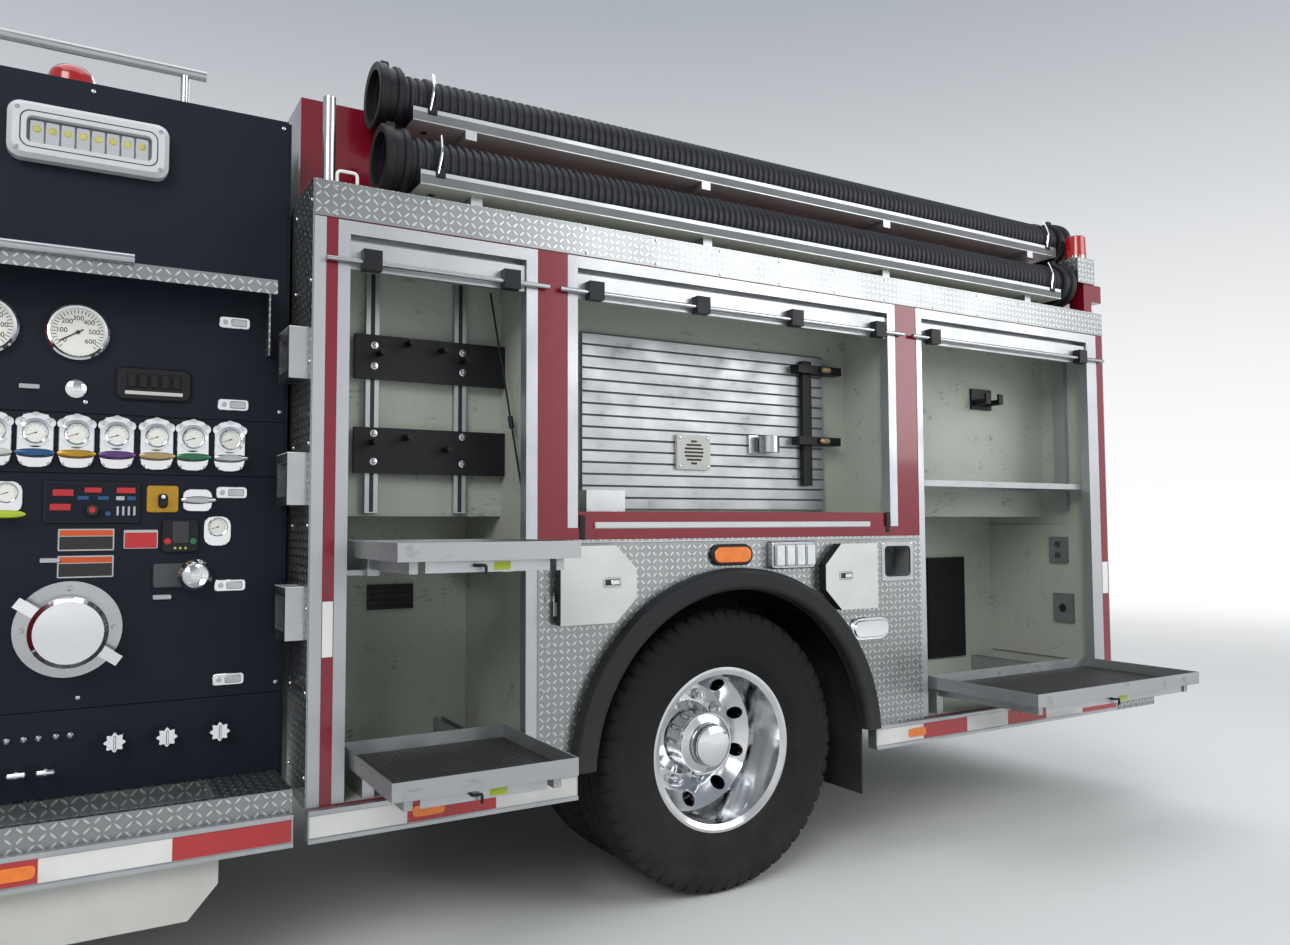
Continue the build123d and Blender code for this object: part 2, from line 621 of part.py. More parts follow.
def rolled_doors():
    """Each roll-up door wound on its drum, with its bottom bar and lift rod below."""
    found = []
    for x0, x1, x2, x3, _, holders in COMPARTMENTS.values():
        a, b = at(x0) + SEAT, at(x3) - SEAT
        body = rod(a, -ROLL_Y, ROLL_Z, ROLL_R, b - a, (1, 0, 0))
        face = -HALF_W + 7
        back = face + ROLL_BAR_T
        inside = -HALF_W - FRAME_PROUD + FRAME_DEPTH + 3
        low = ROLL_BAR_TOP - ROLL_BAR_H
        link = [(inside, ROLL_Z), (inside, ROLL_BAR_TOP + 10), (face, ROLL_BAR_TOP), (face, low),
                (back, low), (back, ROLL_BAR_TOP - 14), (inside + 14, ROLL_BAR_TOP),
                (inside + 22, ROLL_Z)]
        body += slab_yz(link, at(x1) + 2, at(x2) - 2)
        rod_y = -HALF_W - FRAME_PROUD - 6 - LIFT_ROD_R
        body += rod(at(x0) - LIFT_ROD_REACH, rod_y, low + 20, LIFT_ROD_R,
                    x3 - x0 + 2 * LIFT_ROD_REACH, (1, 0, 0))
        span = x2 - x1 - 120
        for i in range(holders):
            x = at(x1) + 60 + span * i / (holders - 1)
            body += block(x - 28, x + 28, rod_y - 14, face + 2, low - 4, low + 58)
        found.append(body)
    return both(found)


def well_door(hinge, free, low, high):
    """Outline of a wheel well door, its two free corners cut."""
    cut = WELL_DOOR_CUT if free > hinge else -WELL_DOOR_CUT
    return [(at(hinge), low), (at(free) - cut, low), (at(free), low + abs(cut)),
            (at(free), high - abs(cut)), (at(free) - cut, high), (at(hinge), high)]


def tread_trim():
    """Tread plate: wheel well panel with its bottle tubes, top band and front face."""
    outer = -HALF_W - SKIN
    x0, x1 = COMPARTMENTS["front"][3], COMPARTMENTS["rear"][0]
    panel = block(at(x0), at(x1), outer, -HALF_W, BODY_BOTTOM, WELL_TOP)
    panel -= rod(at(FENDER_X), -HALF_W + 1, FENDER_Z, FENDER_IN, SKIN + 2)
    plain = other_side(panel)
    a, b, low, high = FUEL_FILL
    back = -HALF_W + FUEL_DEPTH
    panel -= window_xz(at(a), at(b), low, high, FUEL_CORNER, outer - 1, -HALF_W + 1)
    cup = window_xz(at(a) - SHEET, at(b) + SHEET, low - SHEET, high + SHEET,
                    FUEL_CORNER + SHEET, -HALF_W + SEAT, back)
    cup -= window_xz(at(a), at(b), low, high, FUEL_CORNER, -HALF_W, back - SHEET)
    cup += rod(at((a + b) / 2), back - SHEET, (low + high) / 2, 42, 36)
    for hinge, free, low, high in WELL_DOORS.values():
        x, z = at((hinge + free) / 2), (low + high) / 2
        panel -= rod(x, -HALF_W + 1, z, BOTTLE_R, SKIN + 2)
    band = block(BODY_X, BODY_END, outer, -HALF_W, DOOR_TOP + 4, BODY_TOP)
    face = block(BODY_X - SKIN, BODY_X, -HALF_W, -PUMP_HALF + 15, BODY_BOTTOM, BODY_TOP)
    x0, x1 = BODY_END, BODY_END + SKIN
    tail = [block(x0, x1, -HALF_W, -DEEP_Y - 20, BODY_BOTTOM, BED_FLOOR),
            block(x0, x1, -HALF_W, -BED_Y, BED_FLOOR + SEAT, BODY_TOP)]
    return [panel, plain, cup] + both([band, face] + tail)


def bottle_tubes():
    """Tubes for air bottles behind the wheel well doors."""
    found = []
    for hinge, free, low, high in WELL_DOORS.values():
        x, z = at((hinge + free) / 2), (low + high) / 2
        tube = rod(x, -HALF_W, z, BOTTLE_R + SKIN, BOTTLE_DEPTH, (0, 1, 0))
        found.append(tube - rod(x, -HALF_W - 1, z, BOTTLE_R, BOTTLE_DEPTH, (0, 1, 0)))
    return found


def well_door_leaf(name):
    """Wheel well door on two hinge knuckles, standing off its panel."""
    hinge, free, low, high = WELL_DOORS[name]
    face = -HALF_W - SKIN
    back = face - WELL_DOOR_GAP
    leaf = slab_xz(well_door(hinge, free, low, high), back - WELL_DOOR_T, back)
    way = 1 if free > hinge else -1
    axis_x = at(hinge) - way * (WELL_HINGE_R + SEAT)
    for z in (low + 30, high - 30 - WELL_HINGE_H):
        leaf += rod(axis_x, face - WELL_HINGE_R - SEAT, z, WELL_HINGE_R, WELL_HINGE_H, (0, 0, 1))
        near, far = sorted((axis_x, axis_x + way * 2 * WELL_HINGE_R))
        leaf += block(near, far, back - 8, back - 2, z, z + WELL_HINGE_H)
    return leaf


def well_hinges():
    """The fixed halves of the wheel well doors' hinges."""
    found = []
    face = -HALF_W - SKIN
    for hinge, free, low, high in WELL_DOORS.values():
        way = 1 if free > hinge else -1
        x = at(hinge) - way * (WELL_HINGE_R + SEAT)
        for z in (low + 30, high - 30 - WELL_HINGE_H):
            top = z + WELL_HINGE_H + SEAT
            pin = rod(x, face - WELL_HINGE_R - SEAT, top, WELL_HINGE_R, WELL_HINGE_H / 2,
                      (0, 0, 1))
            near, far = sorted((x, x - way * 30))
            found.append(pin + block(near, far, face - 4, face, top, top + WELL_HINGE_H / 2))
    return found


def fenders():
    """Rubber fender ring round each rear arch, and the mud flap behind the twins."""
    outer = -HALF_W - SKIN
    ring = rod(at(FENDER_X), outer, FENDER_Z, FENDER_OUT, FENDER_PROUD)
    ring -= rod(at(FENDER_X), outer + 1, FENDER_Z, FENDER_IN, FENDER_PROUD + 2)
    ring &= block(at(FENDER_X) - FENDER_OUT, at(FENDER_X) + FENDER_OUT, outer - FENDER_PROUD,
                  outer, BODY_BOTTOM, FENDER_Z + FENDER_OUT)
    edges = ring.edges().filter_by(GeomType.CIRCLE).group_by(Axis.Y)[0]
    ring = fillet(edges, 18)
    flap = block(at(FLAP_X), at(FLAP_X) + FLAP_T, -HALF_W + 15, -DEEP_Y - 30, FLAP_BOTTOM,
                 RAIL_TOP - 45)
    return both([ring, flap])


def channel(x0, x1):
    """Rub rail with a groove along its face for the reflective stripe."""
    rail = block(x0, x1, -RUB_OUT, -RUB_IN, RUB_BOTTOM, BODY_BOTTOM)
    return rail - block(x0 - 1, x1 + 1, -RUB_OUT - 1, -RUB_OUT + 5, RUB_BOTTOM + 12,
                        BODY_BOTTOM - 12)


def rub_rails():
    """Rub rails below the body and the pump's running boards."""
    return both([
        channel(PUMP_FRONT_X, PUMP_REAR_X - 20),
        channel(BODY_X, at(FENDER_X - FENDER_OUT + 20)),
        channel(at(FENDER_X + FENDER_OUT - 5), BODY_END),
    ])


def tailboard():
    """Rear step, a folded pan open below, with its rub rail ends."""
    x0, x1 = BODY_END + SKIN, BODY_END + TAIL_LEN
    body = block(x0, x1, -RUB_OUT, RUB_OUT, RUB_BOTTOM, BODY_BOTTOM)
    body -= block(x0 - 1, x1 - SHEET, -RUB_OUT + SHEET, RUB_OUT - SHEET, RUB_BOTTOM - 1,
                  BODY_BOTTOM - SHEET)
    near, far = -RAIL_OUT + 10, -RAIL_OUT + 70
    arm = block(BODY_END - RAIL_SHORT - 45, x1 - SHEET, near, far, RUB_BOTTOM,
                BODY_BOTTOM - SHEET)
    arm += block(BODY_END - RAIL_SHORT - 45, BODY_END - RAIL_SHORT - 5, near, far, RUB_BOTTOM,
                 RAIL_BOTTOM - SEAT)
    return body + arm + other_side(arm)


def tray(name):
    """Slide-out tray: a folded pan on two runners."""
    x0, x1, outer, depth, top = TRAYS[name]
    low = top - TRAY_LIP
    y0, y1 = -outer, -outer + depth
    pan = block(at(x0), at(x1), y0, y1, low, top)
    pan -= block(at(x0) + TRAY_T, at(x1) - TRAY_T, y0 + TRAY_T, y1 - TRAY_T, low + TRAY_T,
                 top + 1)
    for x in (at(x0) + 40, at(x1) - 40 - RUNNER_W):
        pan += block(x, x + RUNNER_W, y0 + 30, y1, low - RUNNER_H, low)
    return pan


def tray_slides():
    """Channels that the trays' runners slide in, on the floor or on a bracket."""
    found = []
    for name, (x0, x1, outer, depth, top) in TRAYS.items():
        low = top - TRAY_LIP
        y0, y1 = -HALF_W + 8, -DEEP_Y - SHEET - SEAT
        floor = BODY_BOTTOM + SHEET if name != "upper" else low - RUNNER_H - 20
        for x in (at(x0) + 40, at(x1) - 40 - RUNNER_W):
            c0, c1 = x - TRAY_CLEAR - 5, x + RUNNER_W + TRAY_CLEAR + 5
            slide = block(c0, c1, y0, y1, floor, low - 4)
            slide -= block(x - TRAY_CLEAR, x + RUNNER_W + TRAY_CLEAR, y0 - 1, y1 + 1,
                           low - RUNNER_H - SEAT, low)
            if name == "upper":
                wall = at(COMPARTMENTS["front"][0]) if x < at((x0 + x1) / 2) else at(
                    COMPARTMENTS["front"][3])
                inner, far = (wall, c0) if wall < x else (c1, wall)
                slide += block(inner, far, y0 + 50, y1, floor, floor + 16)
            found.append(slide)
    return both(found)


# Fittings inside the lockers


# Strut rails and boards on a locker's shallow back: x0, x1 from the body, bottom, top, the
# gap behind and the thickness
STRUTS = ((231.0, 274.0, 1380.0, 2180.0, 0.0, 22.0), (534.0, 577.0, 1380.0, 2180.0, 0.0, 22.0))
BOARDS = (
    (190.0, 712.0, 1820.0, 1965.0, 22.0, 20.0,
     ((267.0, 1903.0), (362.0, 1943.0), (478.0, 1930.0), (554.0, 1902.0))),
    (190.0, 712.0, 1510.0, 1660.0, 22.0, 20.0,
     ((246.0, 1610.0), (357.0, 1629.0), (493.0, 1594.0))),
)
PEG_R = 10.0
PEG_LEN = 60.0
SLATS = (1030.0, 2200.0, 1400.0, 2060.0)    # slatted board: x0, x1, bottom, top
SLAT_PITCH = 44.0
SLAT_H = 36.0
SLAT_T = 10.0
SHELF_TOP = 1525.0
SHELF_LIP = 26.0
SHELF_EDGE = HALF_W - 45    # the shelf's front edge, from the centre plane
SHELF_T = 4.0


def on_back(x0, x1, low, high, gap, thick):
    """A plate on a locker's shallow back, seated on it or on what is behind."""
    face = -SHALLOW_Y - SHEET - SEAT - gap
    return block(at(x0), at(x1), face - thick, face, low, high)


def peg_board(x0, x1, low, high, gap, thick, pegs):
    """Board with round pegs that tools hang on."""
    body = on_back(x0, x1, low, high, gap + SEAT, thick)
    face = -SHALLOW_Y - SHEET - 2 * SEAT - gap - thick
    for x, z in pegs:
        body += rod(at(x), face, z, PEG_R, PEG_LEN)
    return body


def slatted_board():
    """Slatted board across the long locker's back."""
    x0, x1, low, high = SLATS
    body = on_back(x0, x1, low, high, 0, SLAT_T)
    for i in range(int((high - low) // SLAT_PITCH)):
        z = low + i * SLAT_PITCH
        body += on_back(x0, x1, z, z + SLAT_H, SLAT_T, SLAT_T)
    return body


def board_fittings():
    """What hangs on the slatted board: a vent, a tool cup, a strap mount and its clips."""
    front = 2 * SLAT_T + SEAT
    vent = on_back(1438, 1595, 1554, 1690, front, 14)
    back = -SHALLOW_Y - SHEET - SEAT - front
    cup = on_back(1790, 1835, 1628, 1702, front, 10)
    cup += rod(at(1869), back - 42, 1632, 42, 66, (0, 0, 1))
    cup -= rod(at(1869), back - 42, 1638, 38, 70, (0, 0, 1))
    mount = on_back(2066, 2112, 1500, 2030, front, 26)
    for x0, x1, z in ((2022, 2258, 1975), (2022, 2250, 1672)):
        mount += on_back(x0, x1, z, z + 34, front, 52)
    return [vent, cup, mount]


def shelf():
    """Rear locker's shelf with turned-down edges, between a strut rail on each end wall."""
    ends = COMPARTMENTS["rear"][0], COMPARTMENTS["rear"][3]
    rails = [block(at(ends[0]) + SEAT, at(ends[0]) + 40, -HALF_W + 125, -HALF_W + 165, 1400, 2180),
             block(at(ends[1]) - 30, at(ends[1]) - SEAT, -HALF_W + 160, -HALF_W + 217, 1400, 2180)]
    x0, x1 = at(ends[0]) + 40 + SEAT, at(ends[1]) - 30 - SEAT
    y0, y1 = -SHELF_EDGE, -SHALLOW_Y - SHEET - SEAT
    body = block(x0, x1, y0, y1, SHELF_TOP - SHELF_LIP, SHELF_TOP)
    return rails + [body - block(x0 + SHELF_T, x1 - SHELF_T, y0 + SHELF_T, y1 - SHELF_T,
                                 SHELF_TOP - SHELF_LIP - 1, SHELF_TOP - SHELF_T)]


def locker_fittings():
    """Rails, boards, hooks, shelf, vents and outlets inside the lockers."""
    found = [on_back(*row) for row in STRUTS] + [peg_board(*row) for row in BOARDS]
    found += [slatted_board()] + board_fittings() + shelf()
    sill = COMPARTMENTS["middle"][4]
    found.append(block(at(946), at(1100), -HALF_W + 95, -HALF_W + 195, sill + SEAT, 1460))
    hook = on_back(3150, 3290, 1890, 1990, 0, 12)
    for x in (3160, 3250):
        hook += on_back(x, x + 30, 1910, 1934, 12, 78)
        hook += on_back(x, x + 30, 1934, 1960, 78, 12)
    deep = -DEEP_Y - SHEET - SEAT
    found += [hook, block(at(339), at(505), deep - 14, deep, 1035, 1125),
              block(at(3190), at(3457), deep - 14, deep, 650, 1163)]
    wall = at(COMPARTMENTS["rear"][3]) - SEAT
    liner = block(wall - 12, wall, -HALF_W + 65, deep, 670, 1330)
    for y0, y1, low, high in ((-1078, -979, 1142, 1269), (-1104, -995, 850, 989)):
        liner += block(wall - 28, wall - 12, y0, y1, low, high)
    return both(found + [liner])


# Hose bed and what it carries


def hose_bed():
    """Red side walls, front wall and lane dividers of the hose bed, edge to edge."""
    x0, x1 = at(30), at(HEADER_X) - SEAT
    inner, foot = BED_Y - BED_T, BODY_TOP + SHEET
    sides = [block(x0, x1, -BED_Y, -inner, foot + SEAT, BED_TOP),
             block(x0, x1, -SHALLOW_Y - 30, -inner, BODY_TOP, foot)]
    front = block(x0, x0 + BED_T, -inner + SEAT, inner - SEAT, BED_FLOOR, BED_TOP)
    lanes = [block(x0 + BED_T + SEAT, x1 - 60, y - LANE_T / 2, y + LANE_T / 2, BED_FLOOR,
                   BED_TOP - 120) for y in (-LANE_Y, LANE_Y)]
    return both(sides) + [front] + lanes


def hose_trays():
    """Aluminium troughs on brackets, one low and one high, for the hard suction hoses."""
    found = []
    for y, z, x0, x1 in HOSES:
        a, b = at(x0) + HOSE_TRAY_INSET, at(x1) - HOSE_TRAY_INSET
        floor = z - HOSE_R - SEAT
        low = floor - HOSE_TRAY_T
        body = block(a, b, -y - HOSE_TRAY_HALF, -y + HOSE_TRAY_HALF, low, floor)
        for side in (-1, 1):
            edge = -y + side * HOSE_TRAY_HALF
            inside = edge - side * HOSE_TRAY_T
            body += block(a, b, min(edge, inside), max(edge, inside), low, low + HOSE_TRAY_LIP)
        for i in range(4):
            x = a + 200 + (b - a - 400) * i / 3
            if low < BED_TOP - 200:
                body += block(x - 20, x + 20, -y - 60, -y + 60, BODY_TOP + SEAT, low)
            else:
                body += block(x - 20, x + 20, -y - HOSE_TRAY_HALF, -BED_Y - SEAT, low - 30, low)
        found.append(body)
    return found


def suction_hoses():
    """Two hard suction hoses with a coupling on each end."""
    found = []
    for y, z, x0, x1 in HOSES:
        body = rod(at(x0), -y, z, HOSE_R, x1 - x0, (1, 0, 0))
        for x in (at(x0), at(x1) - COUPLING_LEN):
            body += rod(x, -y, z, COUPLING_R, COUPLING_LEN, (1, 0, 0))
            tall = COUPLING_R + LUG_REACH
            body += block(x + 22, x + 56, -y - LUG_HALF, -y + LUG_HALF, z - tall, z + tall)
        found.append(body)
    return found


BEACON_Z = 2640.0
LADDER_Z = 2385.0
LADDER_LEN = BODY_LEN - 439
LADDER_RAIL = (30.0, 80.0)
LADDER_WIDE = 420.0
LADDER_X = 240.0        # front ends, from the body
RUNG_R = 16.0
RUNG_PITCH = 355.0


def ladders():
    """Two ladders stored on edge on the right-hand side, over the body."""
    found = []
    for y in (HALF_W - 235, HALF_W - 135):
        body = None
        thick, deep = LADDER_RAIL
        for z in (LADDER_Z, LADDER_Z + LADDER_WIDE - deep):
            rail = block(at(LADDER_X), at(LADDER_X) + LADDER_LEN, y, y + thick, z, z + deep)
            body = rail if body is None else body + rail
        count = int((LADDER_LEN - 200) // RUNG_PITCH) + 1
        for i in range(count):
            body += rod(at(LADDER_X) + 150 + i * RUNG_PITCH, y + thick / 2, LADDER_Z + 20, RUNG_R,
                        LADDER_WIDE - 40, (0, 0, 1))
        found.append(body)
    for i in range(4):
        x = at(LADDER_X) + 260 + i * (LADDER_LEN - 500) / 3
        found.append(block(x, x + 40, SHALLOW_Y + 35, HALF_W - 65, BODY_TOP, LADDER_Z))
    return found


def rear_header():
    """Beam across the rear of the hose bed, its two feet and a beacon box at each end."""
    x0, x1 = at(HEADER_X), at(HEADER_X + HEADER_LEN)
    beam = block(x0, x1, -HEADER_HALF, HEADER_HALF, HEADER_LOW, HEADER_TOP)
    foot = block(x0, BODY_END - SHEET, -HEADER_HALF, -HEADER_HALF + 80, BODY_TOP, HEADER_LOW)
    box = block(x0 - 55, x0 + 75, -HEADER_HALF - 10, -HEADER_HALF + 100, HEADER_TOP,
                BEACON_Z)
    return [beam] + both([foot, box])


# Pump module


def pump_module():
    """Pump house: a sheet box over the frame with skirts down each side."""
    x0, x1, t = PUMP_FRONT_X, PUMP_REAR_X, SHEET
    body = block(x0, x1, -PUMP_HALF, PUMP_HALF, RAIL_TOP, PUMP_TOP)
    body -= block(x0 + t, x1 - t, -PUMP_HALF + t, PUMP_HALF - t, RAIL_TOP + t, PUMP_TOP - t)
    skirt = block(x0, x1, -PUMP_HALF, -PUMP_HALF + 10, BODY_BOTTOM, RAIL_TOP - SEAT)
    return [body] + both([skirt])


def pump_panels():
    """Dark operator's panels, four plates high, on both sides of the pump house."""
    plates = []
    for low, high in zip(PANEL_SEAMS, PANEL_SEAMS[1:]):
        plates.append(block(PUMP_FRONT_X, PUMP_REAR_X - PANEL_EDGE, -PUMP_HALF - PANEL_T,
                            -PUMP_HALF, low + SEAM / 2, high - SEAM / 2))
    return both(plates)


# Round controls on the pump panels: x from the body, height, radius, reach
DIALS = (
    (-588.0, 1885.0, 79.0, 26.0), (-805.0, 1885.0, 79.0, 26.0),
    (-589.0, 1726.0, 26.0, 18.0), (-278.0, 1197.0, 46.0, 70.0),
    (-216.0, 1322.0, 34.0, 30.0), (-745.0, 1420.0, 42.0, 24.0),
    (-272.0, 1416.0, 30.0, 40.0), (-474.0, 741.0, 30.0, 55.0),
    (-343.0, 741.0, 30.0, 55.0), (-204.0, 741.0, 30.0, 55.0),
    (-728.0, 766.0, 9.0, 14.0), (-689.0, 766.0, 9.0, 14.0), (-655.0, 766.0, 9.0, 14.0),
    (-614.0, 766.0, 9.0, 14.0), (-580.0, 766.0, 9.0, 14.0),
    (-703.0, 680.0, 17.0, 45.0), (-636.0, 680.0, 17.0, 45.0),
)
GAUGE_ROW = (-1070.0, -973.0, -877.0, -780.0, -682.0, -584.0, -485.0, -383.0, -287.0, -186.0)
GAUGE_Z = 1598.0
GAUGE_R = 43.0
# Square controls: x from the body, height, half width, half height, reach
PLATES = (
    (-393.0, 1751.0, 91.0, 42.0, 12.0), (-541.0, 1408.0, 119.0, 58.0, 10.0),
    (-364.0, 1419.0, 42.0, 39.0, 10.0), (-316.0, 1312.0, 48.0, 47.0, 16.0),
    (-554.0, 1303.0, 69.0, 31.0, 2.0), (-554.0, 1228.0, 69.0, 32.0, 2.0),
    (-418.0, 1303.0, 44.0, 27.0, 2.0),
    (-178.0, 1955.0, 43.0, 17.0, 10.0), (-178.0, 1705.0, 43.0, 17.0, 10.0),
    (-178.0, 1440.0, 43.0, 17.0, 10.0), (-178.0, 1163.0, 43.0, 17.0, 10.0),
    (-178.0, 885.0, 43.0, 17.0, 10.0),
)


def pump_controls():
    """Gauges, knobs, pulls, small panels and latches on the pump panels."""
    face = -PUMP_HALF - PANEL_T
    found = []
    for x, z, radius, reach in DIALS:
        found.append(rod(at(x), face, z, radius, reach))
    for x in GAUGE_ROW:
        gauge = rod(at(x), face, GAUGE_Z, GAUGE_R, 24)
        gauge += block(at(x) - 30, at(x) + 30, face - 34, face, GAUGE_Z - 92, GAUGE_Z - 34)
        found.append(gauge)
    for x, z, half, tall, reach in PLATES:
        found.append(block(at(x) - half, at(x) + half, face - reach, face, z - tall, z + tall))
    return both(found)


def pump_inlets():
    """Main suction inlet with its two-lugged cap, and the discharge outlets, on both sides."""
    face = -PUMP_HALF - PANEL_T
    x, z = at(INLET_X), INLET_Z
    points = [(0, 0), (INLET_FLANGE_R, 0), (INLET_FLANGE_R, 12), (84, 14), (84, 60),
              (INLET_CAP_R, 62), (INLET_CAP_R, INLET_REACH - 12),
              (INLET_CAP_R - 12, INLET_REACH), (0, INLET_REACH)]
    body = turned(points, x, face, z)
    for way in (-1, 1):
        lug = Pos(x, face - 85, z) * Rot(0, 35, 0) * Pos(way * 118, 0, 0) * Box(60, 40, 30)
        body += lug
    found = [body]
    for z in OUTLET_HEIGHTS:
        spout = [(0, 0), (58, 0), (58, 14), (OUTLET_R, 16), (OUTLET_R, OUTLET_REACH),
                 (OUTLET_R - 8, OUTLET_REACH), (OUTLET_R - 8, 20), (0, 20)]
        found.append(turned(spout, at(OUTLET_X), face, z))
    return both(found)


def pump_hoods():
    """Lamp hood over each panel with its end brackets and work light tube."""
    face = -PUMP_HALF - PANEL_T
    x0, x1 = PUMP_FRONT_X, at(-82)
    top = HOOD_Z + HOOD_H
    hood = block(x0, x1, face - HOOD_REACH, face, top - SHEET, top)
    hood += block(x0, x1, face - HOOD_REACH, face - HOOD_REACH + SHEET, HOOD_Z, top)
    end = slab_xz([(x1 - SHEET, HOOD_Z - 165), (x1, HOOD_Z - 165), (x1, top),
                   (x1 - SHEET, top)], face - 40, face)
    hood += end
    hood += rod(x0, face - HOOD_REACH - 10, top + 8, 15, 790, (1, 0, 0))
    return both([hood])


def running_boards():
    """Tread plate boards beside the pump with a hose well, and the boxes hung below."""
    x0, x1 = PUMP_FRONT_X, PUMP_REAR_X - 20
    top = BODY_BOTTOM + TREAD_H
    board = block(x0, x1, -HALF_W - 5, -PUMP_HALF - SEAT, BODY_BOTTOM + SEAT, top - SEAT)
    board -= block(x0 + 50, at(-235), -HALF_W + 15, -PUMP_HALF - 20, BODY_BOTTOM + 12, top + 1)
    box = slab_xz([(x0, 280), (at(-300), 280), (at(-225), 366), (at(-225), BODY_BOTTOM),
                   (x0, BODY_BOTTOM)], -RUB_IN + 3, -700)
    return both([board, box])


def handrails():
    """Polished rails, the folding steps ahead of the body and the rear grab rails."""
    found = []
    for z in (1770.0, 1400.0, 1010.0):
        step = block(BODY_X - 60, BODY_X - SKIN, -HALF_W + 30, -PUMP_HALF - 55, z, z + 150)
        step -= block(BODY_X - 61, BODY_X - 22, -HALF_W + 50, -PUMP_HALF - 75, z + 25, z + 126)
        found.append(step)
    x0, x1, y, z = PUMP_FRONT_X + 60, at(-260), -PUMP_HALF + 95, PUMP_TOP + 135
    rail = rod(x0, y, z, 16, x1 - x0, (1, 0, 0))
    for x in (x0 + 60, x1 - 60):
        rail += rod(x, y, PUMP_TOP, 12, z - PUMP_TOP, (0, 0, 1))
    found.append(rail)
    y = -HALF_W + 95
    pole = rod(BODY_END + 75, y, 1000, 16, 1150, (0, 0, 1))
    for z in (1040.0, 2100.0):
        pole += rod(BODY_END + SKIN, y, z, 12, 71, (1, 0, 0))
    found.append(pole)
    found.append(rod(at(60), -HALF_W + 95, BODY_TOP + SEAT, 19, 290, (0, 0, 1)))
    return both(found)


def scene_light():
    """Scene light high on a pump panel: a rounded bezel round a sunk lens."""
    face = -PUMP_HALF - PANEL_T
    x0, x1, z0, z1 = at(-769), at(-370), 2352, 2510
    bezel = window_xz(x0, x1, z0, z1, 34, face - 45, face)
    bezel = fillet(bezel.edges().group_by(Axis.Y)[0], 14)
    return bezel - window_xz(x0 + 44, x1 - 47, z0 + 44, z1 - 40, 14, face - 46, face - 26)


def pump_dome():
    """Red warning dome on a low foot, on the pump house's roof."""
    x, y, radius = at(-620), -500, 70
    dome = rod(x, y, PUMP_TOP + 50, radius, 195, (0, 0, 1))
    dome = fillet(dome.edges().group_by(Axis.Z)[-1], 45)
    return dome + rod(x, y, PUMP_TOP + SEAT, radius + 8, 52, (0, 0, 1))


def lamps():
    """Scene lights, wheel well lights, markers, rear clusters, headlamps and beacons."""
    found = [scene_light()]
    outer = -HALF_W - SKIN
    found.append(block(at(1656), at(1863), outer - 50, outer, 1170, 1276))
    found.append(block(at(1392), at(1580), outer - 22, outer, 1188, 1268))
    x = BODY_END + SKIN
    for z in (900.0, 1080.0, 1260.0):
        found.append(block(x, x + 40, -HALF_W + 135, -HALF_W + 285, z, z + 150))
    found.append(rod(at(HEADER_X + 10), -HEADER_HALF + 45, BEACON_Z, 50, 120, (0, 0, 1)))
    return both(found) + [light_bar(), pump_dome()]


# Cab


def cab_form(inset, radius):
    """Outer form of the cab, or its inside when inset by a wall."""
    x0, x1 = CAB_FRONT_X + inset, CAB_REAR_X - inset
    top = CAB_TOP - inset
    brow = SCREEN_RAKE + BROW_RAKE
    points = [(x0, CAB_BOTTOM), (x0, SCREEN_BASE), (x0 + SCREEN_RAKE, SCREEN_TOP),
              (x0 + brow, top), (x1, top), (x1, CAB_BOTTOM)]
    half = CAB_HALF - inset
    form = slab_xz(points, -half, half)
    front = [e for e in form.edges() if abs(abs(e.center().Y) - half) < 1
             and e.center().X < x0 + brow - 1 and e.center().Z > CAB_BOTTOM + 1]
    form = fillet(front, radius)
    roof = [e for e in form.edges() if abs(e.center().Z - top) < 1]
    return fillet(roof, min(CAB_EDGE - inset / 3, radius * 0.9))


def cab_skin():
    """Hollow cab walls, roof and floor before the doors and windows are cut."""
    outer = cab_form(0, CAB_CORNER)
    inner = cab_form(CAB_WALL, CAB_CORNER - CAB_WALL)
    body = outer - (inner & block(CAB_FRONT_X, CAB_REAR_X, -CAB_HALF, CAB_HALF,
                                  FLOOR_Z + CAB_WALL, CAB_TOP))
    body -= inner & block(CAB_FRONT_X, CAB_REAR_X, -CAB_HALF, CAB_HALF, 0, FLOOR_Z)
    return body


def door_outline(name, gap):
    """Cutter for a door, its rear or front corner trimmed round the wheel arch."""
    hinge, free, low, high = CAB_DOORS[name][:4]
    x0, x1 = CAB_FRONT_X + hinge + gap, CAB_FRONT_X + free - gap
    cutter = block(x0, x1, -CAB_HALF - 60, -CAB_HALF + CAB_WALL, low + gap, high - gap)
    return cutter - rod(FRONT_X, -CAB_HALF + CAB_WALL + 1, AXLE_Z, ARCH_LIP + gap, 200)


def hinge_leaf(name, z, way):
    """One half of a hinge: a knuckle with its flat leaf on the door or the cab's skin."""
    x, y = CAB_FRONT_X + CAB_DOORS[name][0], -CAB_HALF - HINGE_R
    knuckle_bar = rod(x, y, z, HINGE_R, HINGE_H, (0, 0, 1))
    far = x + way * HINGE_LEAF
    near = x + way * (DOOR_GAP if way > 0 else 0)
    strap = block(min(x, far), max(x, far), -CAB_HALF - 2 * HINGE_T, -CAB_HALF - HINGE_T, z,
                  z + HINGE_H)
    pad = block(min(near, far), max(near, far), -CAB_HALF - HINGE_T, -CAB_HALF, z, z + HINGE_H)
    return knuckle_bar + strap + pad


def door_window(name, inset=0.0):
    """Cutter for a door's window."""
    x0, x1 = CAB_DOORS[name][4:6]
    return window_xz(CAB_FRONT_X + x0 + inset, CAB_FRONT_X + x1 - inset, WINDOW_BOTTOM + inset,
                     WINDOW_TOP - inset, WINDOW_R, -CAB_HALF - 60, -CAB_HALF + CAB_WALL + 20)


